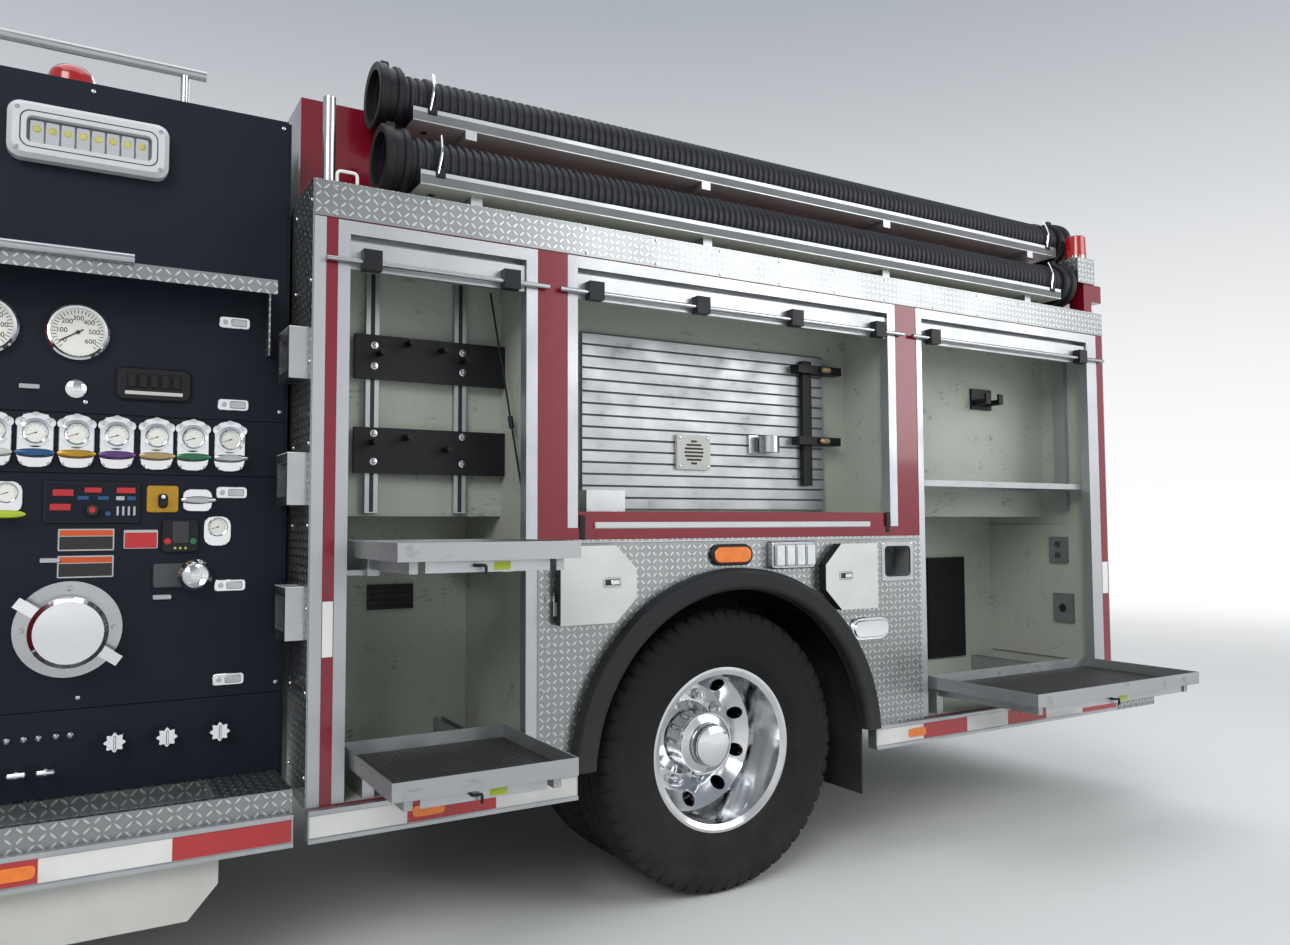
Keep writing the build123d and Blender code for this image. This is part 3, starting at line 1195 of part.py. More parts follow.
def screen_window(side, inset=0.0):
    """Cutter for one half of the windscreen."""
    y0, y1 = sorted((side * (35 + inset), side * (CAB_HALF - CAB_CORNER - inset)))
    z0, z1 = SCREEN_BASE + 60 + inset, SCREEN_TOP - 50 - inset
    plane = Plane(origin=(CAB_FRONT_X - 60, (y0 + y1) / 2, (z0 + z1) / 2), x_dir=(0, 1, 0),
                  z_dir=(1, 0, 0))
    return extrude(plane * RectangleRounded(y1 - y0, z1 - z0, WINDOW_R), amount=420)


def side_window(inset=0.0):
    """Cutter for the fixed window between the doors."""
    return window_xz(CAB_FRONT_X + 1230 + inset, CAB_FRONT_X + 1860 - inset,
                     WINDOW_BOTTOM + inset, WINDOW_TOP - inset, WINDOW_R, -CAB_HALF - 60,
                     -CAB_HALF + CAB_WALL + 20)


def cab_pieces():
    """The cab shell, its four doors and all its glass, cut from one skin."""
    skin = cab_skin()
    pane_skin = cab_form(PANE_IN, CAB_CORNER - PANE_IN) - cab_form(
        PANE_IN + PANE_T, CAB_CORNER - PANE_IN - PANE_T)
    shell = skin
    arch = rod(FRONT_X, CAB_HALF + 1, AXLE_Z, ARCH_R, 2 * CAB_HALF + 2)
    low = block(CAB_FRONT_X, CAB_REAR_X, -CAB_HALF - 1, CAB_HALF + 1, 0, FLOOR_Z)
    shell -= arch & low
    shell -= block(CAB_FRONT_X - 1, CAB_FRONT_X + 200, -NOTCH_HALF, NOTCH_HALF, 0, NOTCH_TOP)
    side = CAB_HALF - 2 * CAB_CORNER
    shell -= block(CAB_REAR_X - 200, CAB_REAR_X + 1, -side, side, 0, FLOOR_Z)
    doors = {}
    for name in CAB_DOORS:
        cut = door_outline(name, 0)
        shell -= cut
        shell -= other_side(cut)
        leaf = (skin & door_outline(name, DOOR_GAP)) - door_window(name)
        for z in HINGE_HEIGHTS:
            leaf += hinge_leaf(name, z, 1)
            knuckle_leaf = hinge_leaf(name, z + HINGE_H + SEAT, -1)
            shell += knuckle_leaf + other_side(knuckle_leaf)
        doors[name] = [leaf, pane_skin & door_window(name, SEAT)]
    fixed = []
    for side in (-1, 1):
        shell -= screen_window(side)
        fixed.append(pane_skin & screen_window(side, SEAT) & block(
            CAB_FRONT_X - 100, CAB_FRONT_X + 600, -CAB_HALF, CAB_HALF, 0, CAB_TOP))
    shell -= side_window()
    shell -= other_side(side_window())
    pane = pane_skin & side_window(SEAT)
    fixed += [pane, other_side(pane)]
    x0, x1 = ENGINE_X - 120, ENGINE_X + ENGINE_LEN + 200
    tunnel = block(x0, x1, -TUNNEL_HALF, TUNNEL_HALF, FLOOR_Z, TUNNEL_TOP)
    shell += tunnel
    shell -= block(x0 + 30, x1 - 30, -TUNNEL_HALF + 30, TUNNEL_HALF - 30, FLOOR_Z - 1,
                   TUNNEL_TOP - 30)
    foot = block(CAB_FRONT_X + 60, CAB_REAR_X - 60, -RAIL_OUT, -RAIL_OUT + RAIL_FLANGE,
                 RAIL_TOP, FLOOR_Z)
    foot -= block(x0 - 300, x1 + 10, -RAIL_OUT - 1, -RAIL_OUT + RAIL_FLANGE + 1, RAIL_TOP - 1,
                  FLOOR_Z + 1)
    shell += foot + other_side(foot)
    return shell, doors, fixed


# Seats: x from the cab's front, y, and 1 facing forwards or -1 facing back
SEAT_Y = CAB_HALF - 400
SEATS = tuple((x, side * SEAT_Y, way) for x, way in ((760.0, 1), (2730.0, 1), (1460.0, -1))
              for side in (-1, 1))


def cab_seats():
    """Six seats, each on its pedestal."""
    found = []
    floor = FLOOR_Z + CAB_WALL
    for dx, y, way in SEATS:
        x = CAB_FRONT_X + dx
        seat = block(x, x + 460, y - 240, y + 240, floor + 260, floor + 380)
        seat += block(x + 120, x + 340, y - 150, y + 150, floor, floor + 260)
        back = (x + 460, x + 560) if way > 0 else (x - 100, x)
        seat += block(back[0], back[1], y - 230, y + 230, floor + 260, floor + 960)
        found.append(seat)
    return found


def dashboard():
    """Dashboard across the cab, steering column and wheel on the left."""
    x0 = CAB_FRONT_X + CAB_WALL + SEAT
    inner = CAB_HALF - CAB_WALL - 100
    low, deep = 1300, 330
    found = [block(x0, x0 + deep, -inner, inner, low, 1540)]
    for y in (-inner + 20, inner - 100):
        found.append(block(x0, x0 + 120, y, y + 80, FLOOR_Z + CAB_WALL, low - SEAT))
    tilt = Plane(origin=(x0 + 300, -SEAT_Y, 1490), z_dir=(math.sin(0.7), 0, math.cos(0.7)))
    wheel = tilt.offset(150)
    steer = extrude(wheel * (Circle(230) - Circle(200)), amount=26)
    steer += extrude(wheel * Rectangle(40, 430), amount=20)
    steer += Solid.make_cylinder(28, 150, tilt)
    steer -= block(x0, x0 + deep + SEAT, -inner, inner, low, 1540 + SEAT)
    return found + [steer]


def light_bar():
    """Light bar across the front of the cab's roof, on three feet."""
    x0 = CAB_FRONT_X + 420
    bar = block(x0, x0 + 300, -720, 720, CAB_TOP + 40, CAB_TOP + 190)
    bar = fillet(bar.edges().filter_by(Axis.Y), 30)
    for y in (-600, 0, 600):
        bar += block(x0 + 80, x0 + 220, y - 40, y + 40, CAB_TOP, CAB_TOP + 40)
    return bar


GRILLE_BARS = 8


def cab_front():
    """Grille with its bars, and the headlamp bezels beside it."""
    x1 = CAB_FRONT_X
    low, high = GRILLE_LOW, GRILLE_TOP
    frame = block(x1 - 26, x1, -520, 520, low, high)
    frame -= block(x1 - 27, x1 + 1, -480, 480, low + 35, high - 35)
    pitch = (high - low - 70) / GRILLE_BARS
    for i in range(GRILLE_BARS):
        z = low + 35 + (i + 0.3) * pitch
        frame += block(x1 - 24, x1, -480, 480, z, z + 0.45 * pitch)
    outer = -CAB_HALF + 160
    bezel = block(x1 - 40, x1, outer, outer + 440, 960, 1180)
    for y in (outer + 110, outer + 330):
        bezel -= rod(x1 - 41, y, 1070, 84, 30, (1, 0, 0))
    return [frame, bezel, other_side(bezel)]


def bumper():
    """Wide front bumper on the frame's ends with a tread plate top."""
    half, corner = CAB_HALF, BUMPER_CORNER
    x0, x1 = BUMPER_X, CAB_FRONT_X - 30
    outline = [(x1, -half), (x0 + corner, -half), (x0, -half + corner), (x0, half - corner),
               (x0 + corner, half), (x1, half)]
    body = extrude(Plane(origin=(0, 0, BUMPER_BOTTOM)) * Polygon(*outline, align=None),
                   amount=BUMPER_H, dir=(0, 0, 1))
    t = BUMPER_T
    hollow = [(x1 + 1, -half + t), (x0 + corner, -half + t), (x0 + t, -half + corner),
              (x0 + t, half - corner), (x0 + corner, half - t), (x1 + 1, half - t)]
    body -= extrude(Plane(origin=(0, 0, BUMPER_BOTTOM - 1)) * Polygon(*hollow, align=None),
                    amount=BUMPER_H - SHEET + 1, dir=(0, 0, 1))
    return body


def cab_steps():
    """A hung step below each cab door, clear of the front tyre."""
    found = []
    tyre_front, tyre_rear = FRONT_X - TYRE_R, FRONT_X + TYRE_R
    for a, b in ((CAB_FRONT_X + 230, tyre_front - 42), (tyre_rear + 258, CAB_REAR_X - 490)):
        back = -CAB_HALF + 280
        step = block(a, b, -CAB_HALF + 10, back, 400, 430)
        for x in (a, b - 8):
            step += block(x, x + 8, -CAB_HALF + 10, back, 430, CAB_BOTTOM)
        step += block(a, b, back - 8, back, 400, CAB_BOTTOM)
        found.append(step)
    return both(found)


def mirrors():
    """Mirror heads on tubes that reach out from the cab's front, below the windscreen."""
    x, z = CAB_FRONT_X - 32, SCREEN_BASE - 50
    y = -CAB_HALF - 135
    head = fillet(block(x - 45, x + 45, y - 95, y + 95, z + 60, z + 560).edges(), 14)
    head += rod(x, y, z, 14, 80, (0, 0, 1))
    head += rod(x, y + 315, z, 14, 315)
    head += block(x - 14, CAB_FRONT_X, y + 280, y + 350, z - 40, z + 40)
    return both([head])


def build_nodes():
    """Every node with its solids."""
    shell, doors, fixed = cab_pieces()
    left = {
        "tyre_front": [tyre(FRONT_X, FRONT_MID)],
        "rim_front": [front_rim()],
        "tyres_rear": [tyre(REAR_X, TWIN_MID + DISC_OFFSET), tyre(REAR_X, TWIN_MID - DISC_OFFSET)],
        "rims_rear": [rear_rims()],
        "knuckle": [knuckle()],
        "side_body": side_body(),
    }
    for name in TRAYS:
        left["tray_" + name] = [tray(name)]
    for name in CAB_DOORS:
        left["door_" + name] = doors[name]
    nodes = {
        "chassis_frame": [chassis_frame()],
        "front_axle": [front_axle()],
        "rear_axle": [rear_axle()],
        "leaf_springs": leaf_springs(),
        "powertrain": powertrain(),
        "exhaust": [exhaust()],
        "fuel_tank": [fuel_tank()],
        "bumper": [bumper()],
        "cab_shell": [shell],
        "cab_glass": fixed,
        "cab_front": cab_front() + mirrors(),
        "cab_seats": cab_seats(),
        "dashboard": dashboard(),
        "pump_module": pump_module(),
        "pump_panels": pump_panels(),
        "pump_controls": pump_controls(),
        "pump_inlets": pump_inlets(),
        "step_boards": running_boards() + cab_steps() + [tailboard()],
        "handrails": handrails() + pump_hoods(),
        "lamps": lamps(),
        "body_center": [body_center()],
        "door_frames": door_frames(),
        "rolled_doors": rolled_doors(),
        "tread_trim": tread_trim() + well_hinges(),
        "bottle_tubes": bottle_tubes(),
        "fenders": fenders(),
        "rub_rails": rub_rails(),
        "tray_slides": tray_slides(),
        "hose_bed": hose_bed() + rear_header(),
        "locker_fittings": locker_fittings(),
        "hose_trays": hose_trays(),
        "suction_hoses": suction_hoses(),
        "ladders": ladders(),
    }
    for name in WELL_DOORS:
        nodes["well_door_" + name] = [well_door_leaf(name)]
    for name, solids in left.items():
        nodes[name + "_left"] = solids
        nodes[name + "_right"] = [other_side(s) for s in solids]
    return nodes


def solids_of(shapes):
    """Plain solids of a list of shapes."""
    found = []
    for shape in shapes:
        found += shape.solids()
    return found


os.makedirs("parts", exist_ok=True)
for node, shapes in build_nodes().items():
    export_step(Compound(children=solids_of(shapes)), "parts/" + node + ".step")
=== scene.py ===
"""Looks of a pumper fire truck: finishes, tyres, hoses, gauges, lamps and locker fittings."""

import json
import logging
import math
from collections.abc import Callable, Iterable, Sequence
from dataclasses import dataclass, field, replace
from enum import Enum

import bmesh
import bpy
import numpy as np
from mathutils import Matrix, Vector

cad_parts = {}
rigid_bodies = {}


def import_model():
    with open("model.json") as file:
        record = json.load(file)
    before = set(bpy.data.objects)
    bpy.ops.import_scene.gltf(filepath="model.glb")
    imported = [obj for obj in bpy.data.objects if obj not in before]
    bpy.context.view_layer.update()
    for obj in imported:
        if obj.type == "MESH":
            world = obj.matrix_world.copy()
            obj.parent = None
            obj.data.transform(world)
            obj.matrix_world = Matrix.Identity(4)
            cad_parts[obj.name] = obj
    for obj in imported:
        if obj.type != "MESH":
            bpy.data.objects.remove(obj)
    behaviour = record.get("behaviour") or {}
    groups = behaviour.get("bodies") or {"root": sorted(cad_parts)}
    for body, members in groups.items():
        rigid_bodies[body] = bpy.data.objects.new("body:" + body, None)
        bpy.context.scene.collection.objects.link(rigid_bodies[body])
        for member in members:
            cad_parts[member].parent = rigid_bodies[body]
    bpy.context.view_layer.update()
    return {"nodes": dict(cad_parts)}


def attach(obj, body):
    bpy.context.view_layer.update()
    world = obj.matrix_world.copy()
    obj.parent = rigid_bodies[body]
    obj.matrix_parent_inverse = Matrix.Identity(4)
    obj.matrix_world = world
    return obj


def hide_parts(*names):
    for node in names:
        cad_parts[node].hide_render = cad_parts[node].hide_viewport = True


for leftover in list(bpy.data.objects):
    bpy.data.objects.remove(leftover)
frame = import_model()
log = logging.getLogger("pumper")

Array = np.ndarray
Point = Sequence[float]
Tree, Node, Socket = bpy.types.NodeTree, bpy.types.Node, bpy.types.NodeSocket

# Stations of the truck in metres: nose towards -X, left side towards -Y
BODY_X = 0.530
BODY_LEN = 3.739
HALF_W = 1.245
SKIN = 0.004
SHEET = 0.005
OUTER = HALF_W + SKIN
PANEL_FACE = 1.000
PUMP_FRONT_X = -0.720
PUMP_TOP = 2.605
TYRE_R = 0.515
REAR_X = 2.017
FRONT_X = -2.733
CAB_FRONT_X = -4.120
CAB_REAR_X = -0.770
CAB_HALF = 1.220
CAB_TOP = 2.700
CAB_FLOOR = 1.175

ORIGIN = (0.0, 0.0, 0.0)
X, Y, UP = (1.0, 0.0, 0.0), (0.0, 1.0, 0.0), (0.0, 0.0, 1.0)
OUT = (0.0, -1.0, 0.0)  # out of the truck's left side
FORWARD = (-1.0, 0.0, 0.0)
SIDES = (("left", -1), ("right", 1))
FULL_TURN = 2 * math.pi


def at(x: float) -> float:
    """A station given from the rear body's front edge, in the truck's frame."""
    return BODY_X + x


# Finishes


def linear(colour: str) -> tuple[float, float, float, float]:
    """Turns an sRGB hex colour to linear RGBA.

    Args:
        colour: six hex digits.

    Returns:
        Linear red, green, blue and an alpha of 1.
    """
    parts = [int(colour[i:i + 2], 16) / 255 for i in (0, 2, 4)]
    low = [p / 12.92 if p <= 0.04045 else ((p + 0.055) / 1.055) ** 2.4 for p in parts]
    return (low[0], low[1], low[2], 1.0)


def add_node(tree: Tree, kind: str, settings: dict | None = None,
             inputs: dict | None = None) -> Node:
    """Adds a node with its settings, values and links.

    Args:
        tree: the material's node tree.
        kind: the node's type without its ShaderNode prefix.
        settings: attributes of the node.
        inputs: a value or another node's output for each input, by name or number.

    Returns:
        The new node.
    """
    made = tree.nodes.new("ShaderNode" + kind)
    for key, value in (settings or {}).items():
        setattr(made, key, value)
    for key, value in (inputs or {}).items():
        if isinstance(value, Socket):
            tree.links.new(value, made.inputs[key])
        else:
            made.inputs[key].default_value = value
    return made


def work_out(tree: Tree, values: dict, steps: Iterable[tuple]) -> dict:
    """Adds the arithmetic of a pattern, one step after the other.

    Args:
        tree: the material's node tree.
        values: sockets by name, to which each step adds its own.
        steps: (name, operation, first, second) rows of names or numbers.

    Returns:
        The same dictionary with the steps' results.
    """
    for name, operation, first, second in steps:
        inputs = {0: values.get(first, first), 1: values.get(second, second)}
        values[name] = add_node(tree, "Math", {"operation": operation}, inputs).outputs[0]
    return values


def clear_tree(owner: bpy.types.ID) -> Tree:
    """Turns nodes on for a material or world and returns its emptied tree."""
    owner.use_nodes = True
    owner.node_tree.nodes.clear()
    return owner.node_tree


class Grain(Enum):
    """What the making of a surface leaves on it."""

    CAST = "fine even grain"
    BRUSHED = "hairlines along the length"
    PEEL = "soft ripple of sprayed paint"
    TREAD = "raised bars of rolled tread plate"
    HIDE = "pebbled hide"
    HOLES = "rows of punched holes"
    SCUFFED = "crossed scratches and rubs"
    RIBBED = "fine upright ribs of a lens"


# Place in a cell: s and t count cells, a and b run from -0.5 to 0.5 inside one
CELL_STEPS = (
    ("sf", "FRACT", "s", 0.0), ("a", "SUBTRACT", "sf", 0.5),
    ("tf", "FRACT", "t", 0.0), ("b", "SUBTRACT", "tf", 0.5),
)
# Tread plate: u and v run along the sheet, and bars lean to either side in turn
BAR_HALF_LEN = 0.50 * 1.414
BAR_HALF_WIDE = 0.14 * 1.414
TREAD_STEPS = (
    ("ax", "ABSOLUTE", "nx", 0.0), ("bx", "GREATER_THAN", "ax", 0.7),
    ("az", "ABSOLUTE", "nz", 0.0), ("bz", "GREATER_THAN", "az", 0.7),
    ("yx", "SUBTRACT", "y", "x"), ("mx", "MULTIPLY", "bx", "yx"), ("u", "ADD", "x", "mx"),
    ("yz", "SUBTRACT", "y", "z"), ("mz", "MULTIPLY", "bz", "yz"), ("v", "ADD", "z", "mz"),
    ("s", "DIVIDE", "u", "cell"), ("t", "DIVIDE", "v", "cell"),
    ("si", "FLOOR", "s", 0.0), ("ti", "FLOOR", "t", 0.0), ("st", "ADD", "si", "ti"),
    ("odd", "FLOORED_MODULO", "st", 2.0), *CELL_STEPS,
    ("sum", "ADD", "a", "b"), ("gap", "SUBTRACT", "a", "b"),
    ("one", "SUBTRACT", "gap", "sum"), ("two", "MULTIPLY", "odd", "one"),
    ("along", "ADD", "sum", "two"), ("across", "SUBTRACT", "gap", "two"),
    ("p", "DIVIDE", "along", BAR_HALF_LEN), ("q", "DIVIDE", "across", BAR_HALF_WIDE),
    ("p2", "MULTIPLY", "p", "p"), ("q2", "MULTIPLY", "q", "q"), ("pq", "ADD", "p2", "q2"),
    ("height", "SUBTRACT", 1.0, "pq"),
)
# Punched mat: rows of small four-sided holes
HOLE_STEPS = (
    ("s", "DIVIDE", "x", "cell"), ("t", "DIVIDE", "y", "cell"), *CELL_STEPS,
    ("aa", "ABSOLUTE", "a", 0.0), ("ba", "ABSOLUTE", "b", 0.0), ("ab", "ADD", "aa", "ba"),
    ("height", "SUBTRACT", "ab", 0.25),
)
# How far each grain's noise is drawn out along x, y and z
STRETCH = {Grain.BRUSHED: (0.02, 1.0, 1.0), Grain.RIBBED: (1.0, 0.05, 0.05),
           Grain.SCUFFED: (0.45, 0.7, 1.0)}
# Which values of the pattern turn from the colour to the shade, painted shade for tread and
# holes
SHADE_SPAN = {Grain.SCUFFED: (0.33, 0.46), Grain.TREAD: (1.0, 0.0), Grain.HOLES: (1.0, 0.0)}
ROAD_DUST = "7a766d"
DUST_TOP = 1.1
DUST_LOW = 0.1


@dataclass(frozen=True)
class Finish:
    """A real material: its colours, its gloss and the grain that its making leaves."""

    name: str
    colour: str
    shade: str
    drift: float = 0.4
    rough: float = 0.4
    spread: float = 0.08
    metallic: float = 0.0
    grain: Grain = Grain.CAST
    grain_mm: float = 2.0
    bump_mm: float = 0.05
    patch_mm: float = 150.0
    coat: float = 0.0
    dust: float = 0.0
    clear: float = 0.0
    ior: float = 1.5
    glow: float = 0.0

    def height(self, tree: Tree, place: Node) -> Socket:
        """Adds the grain's height, from 0 to 1, from object coordinates.

        Args:
            tree: the material's node tree.
            place: its Texture Coordinate node.

        Returns:
            The socket that carries the height.
        """
        spot = place.outputs["Object"]
        scale = 1000 / self.grain_mm
        if self.grain in (Grain.TREAD, Grain.HOLES):
            xyz = add_node(tree, "SeparateXYZ", None, {0: spot}).outputs
            facing = add_node(tree, "SeparateXYZ", None, {0: place.outputs["Normal"]}).outputs
            values = {"x": xyz[0], "y": xyz[1], "z": xyz[2], "nx": facing[0], "nz": facing[2],
                      "cell": self.grain_mm / 1000}
            steps = TREAD_STEPS if self.grain is Grain.TREAD else HOLE_STEPS
            raised = work_out(tree, values, steps)["height"]
            return add_node(tree, "MapRange", {"interpolation_type": "SMOOTHSTEP"},
                            {0: raised, 1: 0.0, 2: 0.35}).outputs[0]
        if self.grain is Grain.HIDE:
            return add_node(tree, "TexVoronoi", {"feature": "SMOOTH_F1"},
                            {"Vector": spot, "Scale": scale}).outputs[0]
        stretch = STRETCH.get(self.grain, (1.0, 1.0, 1.0))
        turned = add_node(tree, "Mapping", None, {"Vector": spot, "Scale": stretch})
        return add_node(tree, "TexNoise", None, {"Vector": turned.outputs[0], "Scale": scale,
                                                 "Detail": 3.0}).outputs[0]

    def material(self) -> bpy.types.Material:
        """Makes the node material: patches of shade, grain as bump, dust near the road."""
        made = bpy.data.materials.new(self.name)
        tree = clear_tree(made)
        place = add_node(tree, "TexCoord")
        spot = place.outputs["Object"]
        raised = self.height(tree, place)
        patches = add_node(tree, "TexNoise", None, {"Vector": spot, "Detail": 4.0, "Scale":
                                                    1000 / self.patch_mm}).outputs[0]
        rubs = add_node(tree, "Math", {"operation": "MULTIPLY"}, {0: raised, 1: patches})
        # On tread plate and punched mats the shade lies between the bars and in the holes:
        # painted shade
        sources = {Grain.TREAD: raised, Grain.HOLES: raised, Grain.SCUFFED: rubs.outputs[0]}
        low, high = SHADE_SPAN.get(self.grain, (0.35, 0.75))
        share = add_node(tree, "MapRange", None, {0: sources.get(self.grain, patches), 1: low,
                                                  2: high, 3: 0.0, 4: self.drift}).outputs[0]
        paint = add_node(tree, "Mix", {"data_type": "RGBA"},
                         {0: share, 6: linear(self.colour), 7: linear(self.shade)}).outputs[2]
        if self.dust:
            paint = self.add_dust(tree, spot, patches, paint)
        gloss = add_node(tree, "MapRange", None,
                         {0: patches, 1: 0.3, 2: 0.7, 3: max(self.rough - self.spread, 0.0),
                          4: self.rough + self.spread})
        bump = add_node(tree, "Bump", None, {"Height": raised, "Strength": 1.0,
                                             "Distance": self.bump_mm / 1000})
        shader = add_node(tree, "BsdfPrincipled", None, {
            "Base Color": paint, "Roughness": gloss.outputs[0], "Normal": bump.outputs[0],
            "Metallic": self.metallic, "Coat Weight": self.coat, "Coat Roughness": 0.06,
            "IOR": self.ior, "Transmission Weight": self.clear,
            "Emission Color": linear(self.colour), "Emission Strength": self.glow})
        add_node(tree, "OutputMaterial", None, {"Surface": shader.outputs[0]})
        return made

    def add_dust(self, tree: Tree, spot: Socket, patches: Socket, paint: Socket) -> Socket:
        """Lays road dust that thickens towards the ground.

        Args:
            tree: the material's node tree.
            spot: object coordinates.
            patches: noise that breaks the dust up.
            paint: the clean colour.

        Returns:
            The dusty colour.
        """
        up = add_node(tree, "SeparateXYZ", None, {0: spot}).outputs[2]
        near = add_node(tree, "MapRange", None, {0: up, 1: DUST_TOP, 2: DUST_LOW, 3: 0.0,
                                                 4: self.dust}).outputs[0]
        share = add_node(tree, "Math", {"operation": "MULTIPLY"}, {0: near, 1: patches})
        return add_node(tree, "Mix", {"data_type": "RGBA"},
                        {0: share.outputs[0], 6: paint, 7: linear(ROAD_DUST)}).outputs[2]


# What several finishes share: ribbed lenses, tape with small glass beads, anodised tags
RIBBED_LENS = Finish("", "", "", 0.5, 0.14, 0.03, grain=Grain.RIBBED, grain_mm=7.0,
                     bump_mm=0.5, patch_mm=30.0, coat=0.7)
BEAD_TAPE = Finish("", "", "", 0.4, 0.32, 0.06, grain=Grain.HIDE, grain_mm=4.0, coat=0.3)
ANODISED_TAG = Finish("", "", "", 0.4, 0.3, metallic=0.4)


class Coat(Enum):
    """Every finish on the truck, named for what the real one is made of."""

    # Sprayed two-pack enamel: deep gloss, faint ripple
    RED = Finish("red_enamel", "7a0c22", "740b20", 0.5, 0.22, 0.04, 0.0, Grain.PEEL, 6.0, 0.02,
                 700.0, 0.5, 0.2, ior=1.4)
    # Baked grey-white liner paint, rubbed and scratched by tools
    LINER = Finish("scuffed_liner_paint", "adb1a6", "6b6d66", 0.6, 0.55, 0.1, 0.0,
                   Grain.SCUFFED, 12.0, 0.04, 110.0)
    # Bright rolled aluminium tread plate; the base between its bars is darker, as painted shade
    TREAD = Finish("bright_tread_plate", "cfd2d2", "818586", 0.85, 0.3, 0.07, 0.95,
                   Grain.TREAD, 24.0, 2.0, 200.0, dust=0.3)
    # Buffed aluminium sheet of small doors
    SATIN = Finish("buffed_door_sheet", "c9cbc7", "b1b3af", 0.4, 0.42, 0.06, 0.35,
                   Grain.BRUSHED, 1.2, 0.02, 140.0)
    # Satin anodised extrusion with drawn hairlines
    TRACK = Finish("satin_anodised_aluminium", "b5b8bb", "979a9d", 0.4, 0.38, 0.08, 0.85,
                   Grain.BRUSHED, 1.6, 0.03, 160.0, dust=0.2)
    # Mill-finish sheet, scuffed by what slides on it
    MILL = Finish("scuffed_mill_aluminium", "a6a9ab", "7f8285", 0.6, 0.44, 0.12, 0.8,
                  Grain.SCUFFED, 20.0, 0.04, 120.0, dust=0.3)
    # Plated brass and polished stainless
    CHROME = Finish("polished_chrome", "e3e5e8", "d2d5d9", 0.3, 0.07, 0.03, 1.0,
                    grain_mm=40.0, bump_mm=0.01)
    # Forged wheel, buffed
    WHEEL = Finish("buffed_forged_aluminium", "d9dbdd", "b9bbbe", 0.4, 0.13, 0.05, 1.0,
                   Grain.BRUSHED, 3.0, 0.01, 90.0, dust=0.25)
    # Powder-coated panel, fine black texture with a blue cast
    PANEL = Finish("textured_black_powder_coat", "0f1522", "0a0e17", 0.5, 0.55, 0.05,
                   grain_mm=1.6, bump_mm=0.12, patch_mm=400.0, ior=1.3)
    # Moulded rubber of fenders and flaps
    RUBBER = Finish("moulded_rubber", "16181b", "222427", 0.5, 0.6, 0.08, grain_mm=1.2,
                    bump_mm=0.08, dust=0.2, ior=1.35)
    # Tyre rubber, dull and nearly black
    TYRE = Finish("tyre_rubber", "0d0e11", "17181a", 0.6, 0.78, 0.06, grain_mm=1.5,
                  bump_mm=0.12, patch_mm=90.0, dust=0.15, ior=1.3)
    # Hose cover rubber with a soft sheen
    HOSE = Finish("ribbed_hose_rubber", "1c1e23", "292c32", 0.6, 0.5, 0.06, bump_mm=0.06,
                  patch_mm=180.0, ior=1.4)
    # Moulded nylon and black-painted small parts
    BLACK = Finish("moulded_black_nylon", "131417", "1d1e21", 0.4, 0.45, 0.06, grain_mm=0.9,
                   ior=1.35)
    # Brushed-on chassis paint under road dust
    FRAME = Finish("black_chassis_paint", "161617", "242322", 0.5, 0.48, 0.08, 0.0,
                   Grain.PEEL, 5.0, dust=0.7)
    # Bare cast iron of engine and pump
    CASTING = Finish("grey_cast_iron", "4b4e50", "35383a", 0.6, 0.6, 0.08, 0.3,
                     grain_mm=1.8, bump_mm=0.25, dust=0.5)
    # Exhaust steel dulled by heat
    PIPE = Finish("heat_dulled_steel", "7b746b", "584f47", 0.7, 0.45, 0.1, 0.9,
                  grain_mm=3.0, patch_mm=80.0, dust=0.4)
    # Stainless rail tube with hairlines
    STEEL = Finish("brushed_stainless", "b6b8ba", "9b9d9f", 0.4, 0.25, 0.08, 1.0,
                   Grain.BRUSHED, 1.2, 0.02, 100.0)
    # Tempered cab glass, faint grey
    GLASS = Finish("tempered_glass", "dfe6e4", "d7dfdd", 0.3, 0.02, 0.01, grain_mm=60.0,
                   bump_mm=0.0, clear=1.0, ior=1.45)
    # Silvered back of the mirrors' glass
    SILVERED = Finish("silvered_mirror_glass", "e6eaec", "dfe3e6", 0.2, 0.02, 0.01, 1.0,
                      grain_mm=60.0, bump_mm=0.0)
    # Printed gauge faces, and their black marks
    DIAL = Finish("printed_white_dial", "e4e4dc", "d2d2ca", 0.3, 0.35, 0.04, coat=0.6)
    INK = Finish("black_dial_print", "141414", "202020", 0.3, 0.5)
    # Reflective tape of glass beads
    WHITE = replace(BEAD_TAPE, name="white_reflective_tape", colour="e6e6e2", shade="cfcfca",
                    dust=0.5)
    REDTAPE = replace(BEAD_TAPE, name="red_reflective_tape", colour="b3141c", shade="960f17",
                      dust=0.3)
    # Moulded acrylic lenses
    AMBER = replace(RIBBED_LENS, name="amber_lens", colour="e0720c", shade="b85704", glow=0.12)
    REDLENS = replace(RIBBED_LENS, name="red_lens", colour="a80d12", shade="7f070b", glow=0.08)
    CLEARLENS = replace(RIBBED_LENS, name="clear_ribbed_lens", colour="dadfe0",
                        shade="b4babb", rough=0.1, grain_mm=9.0)
    # Phosphor of unlit lamp cells
    LED = Finish("yellow_phosphor_cells", "c9c26a", "8f8d4d", 0.6, 0.3, 0.05, patch_mm=20.0)
    # Dyed anodised line tags
    BLUE = replace(ANODISED_TAG, name="blue_anodised_tag", colour="27507c", shade="1d3d61")
    GOLD = replace(ANODISED_TAG, name="gold_anodised_tag", colour="b48b2e", shade="8f6c1f",
                   metallic=0.6)
    PURPLE = replace(ANODISED_TAG, name="violet_anodised_tag", colour="5b3c74", shade="442c58")
    TAN = replace(ANODISED_TAG, name="tan_anodised_tag", colour="a8906a", shade="8c7654")
    GREEN = replace(ANODISED_TAG, name="green_anodised_tag", colour="2f6b4a", shade="225238")
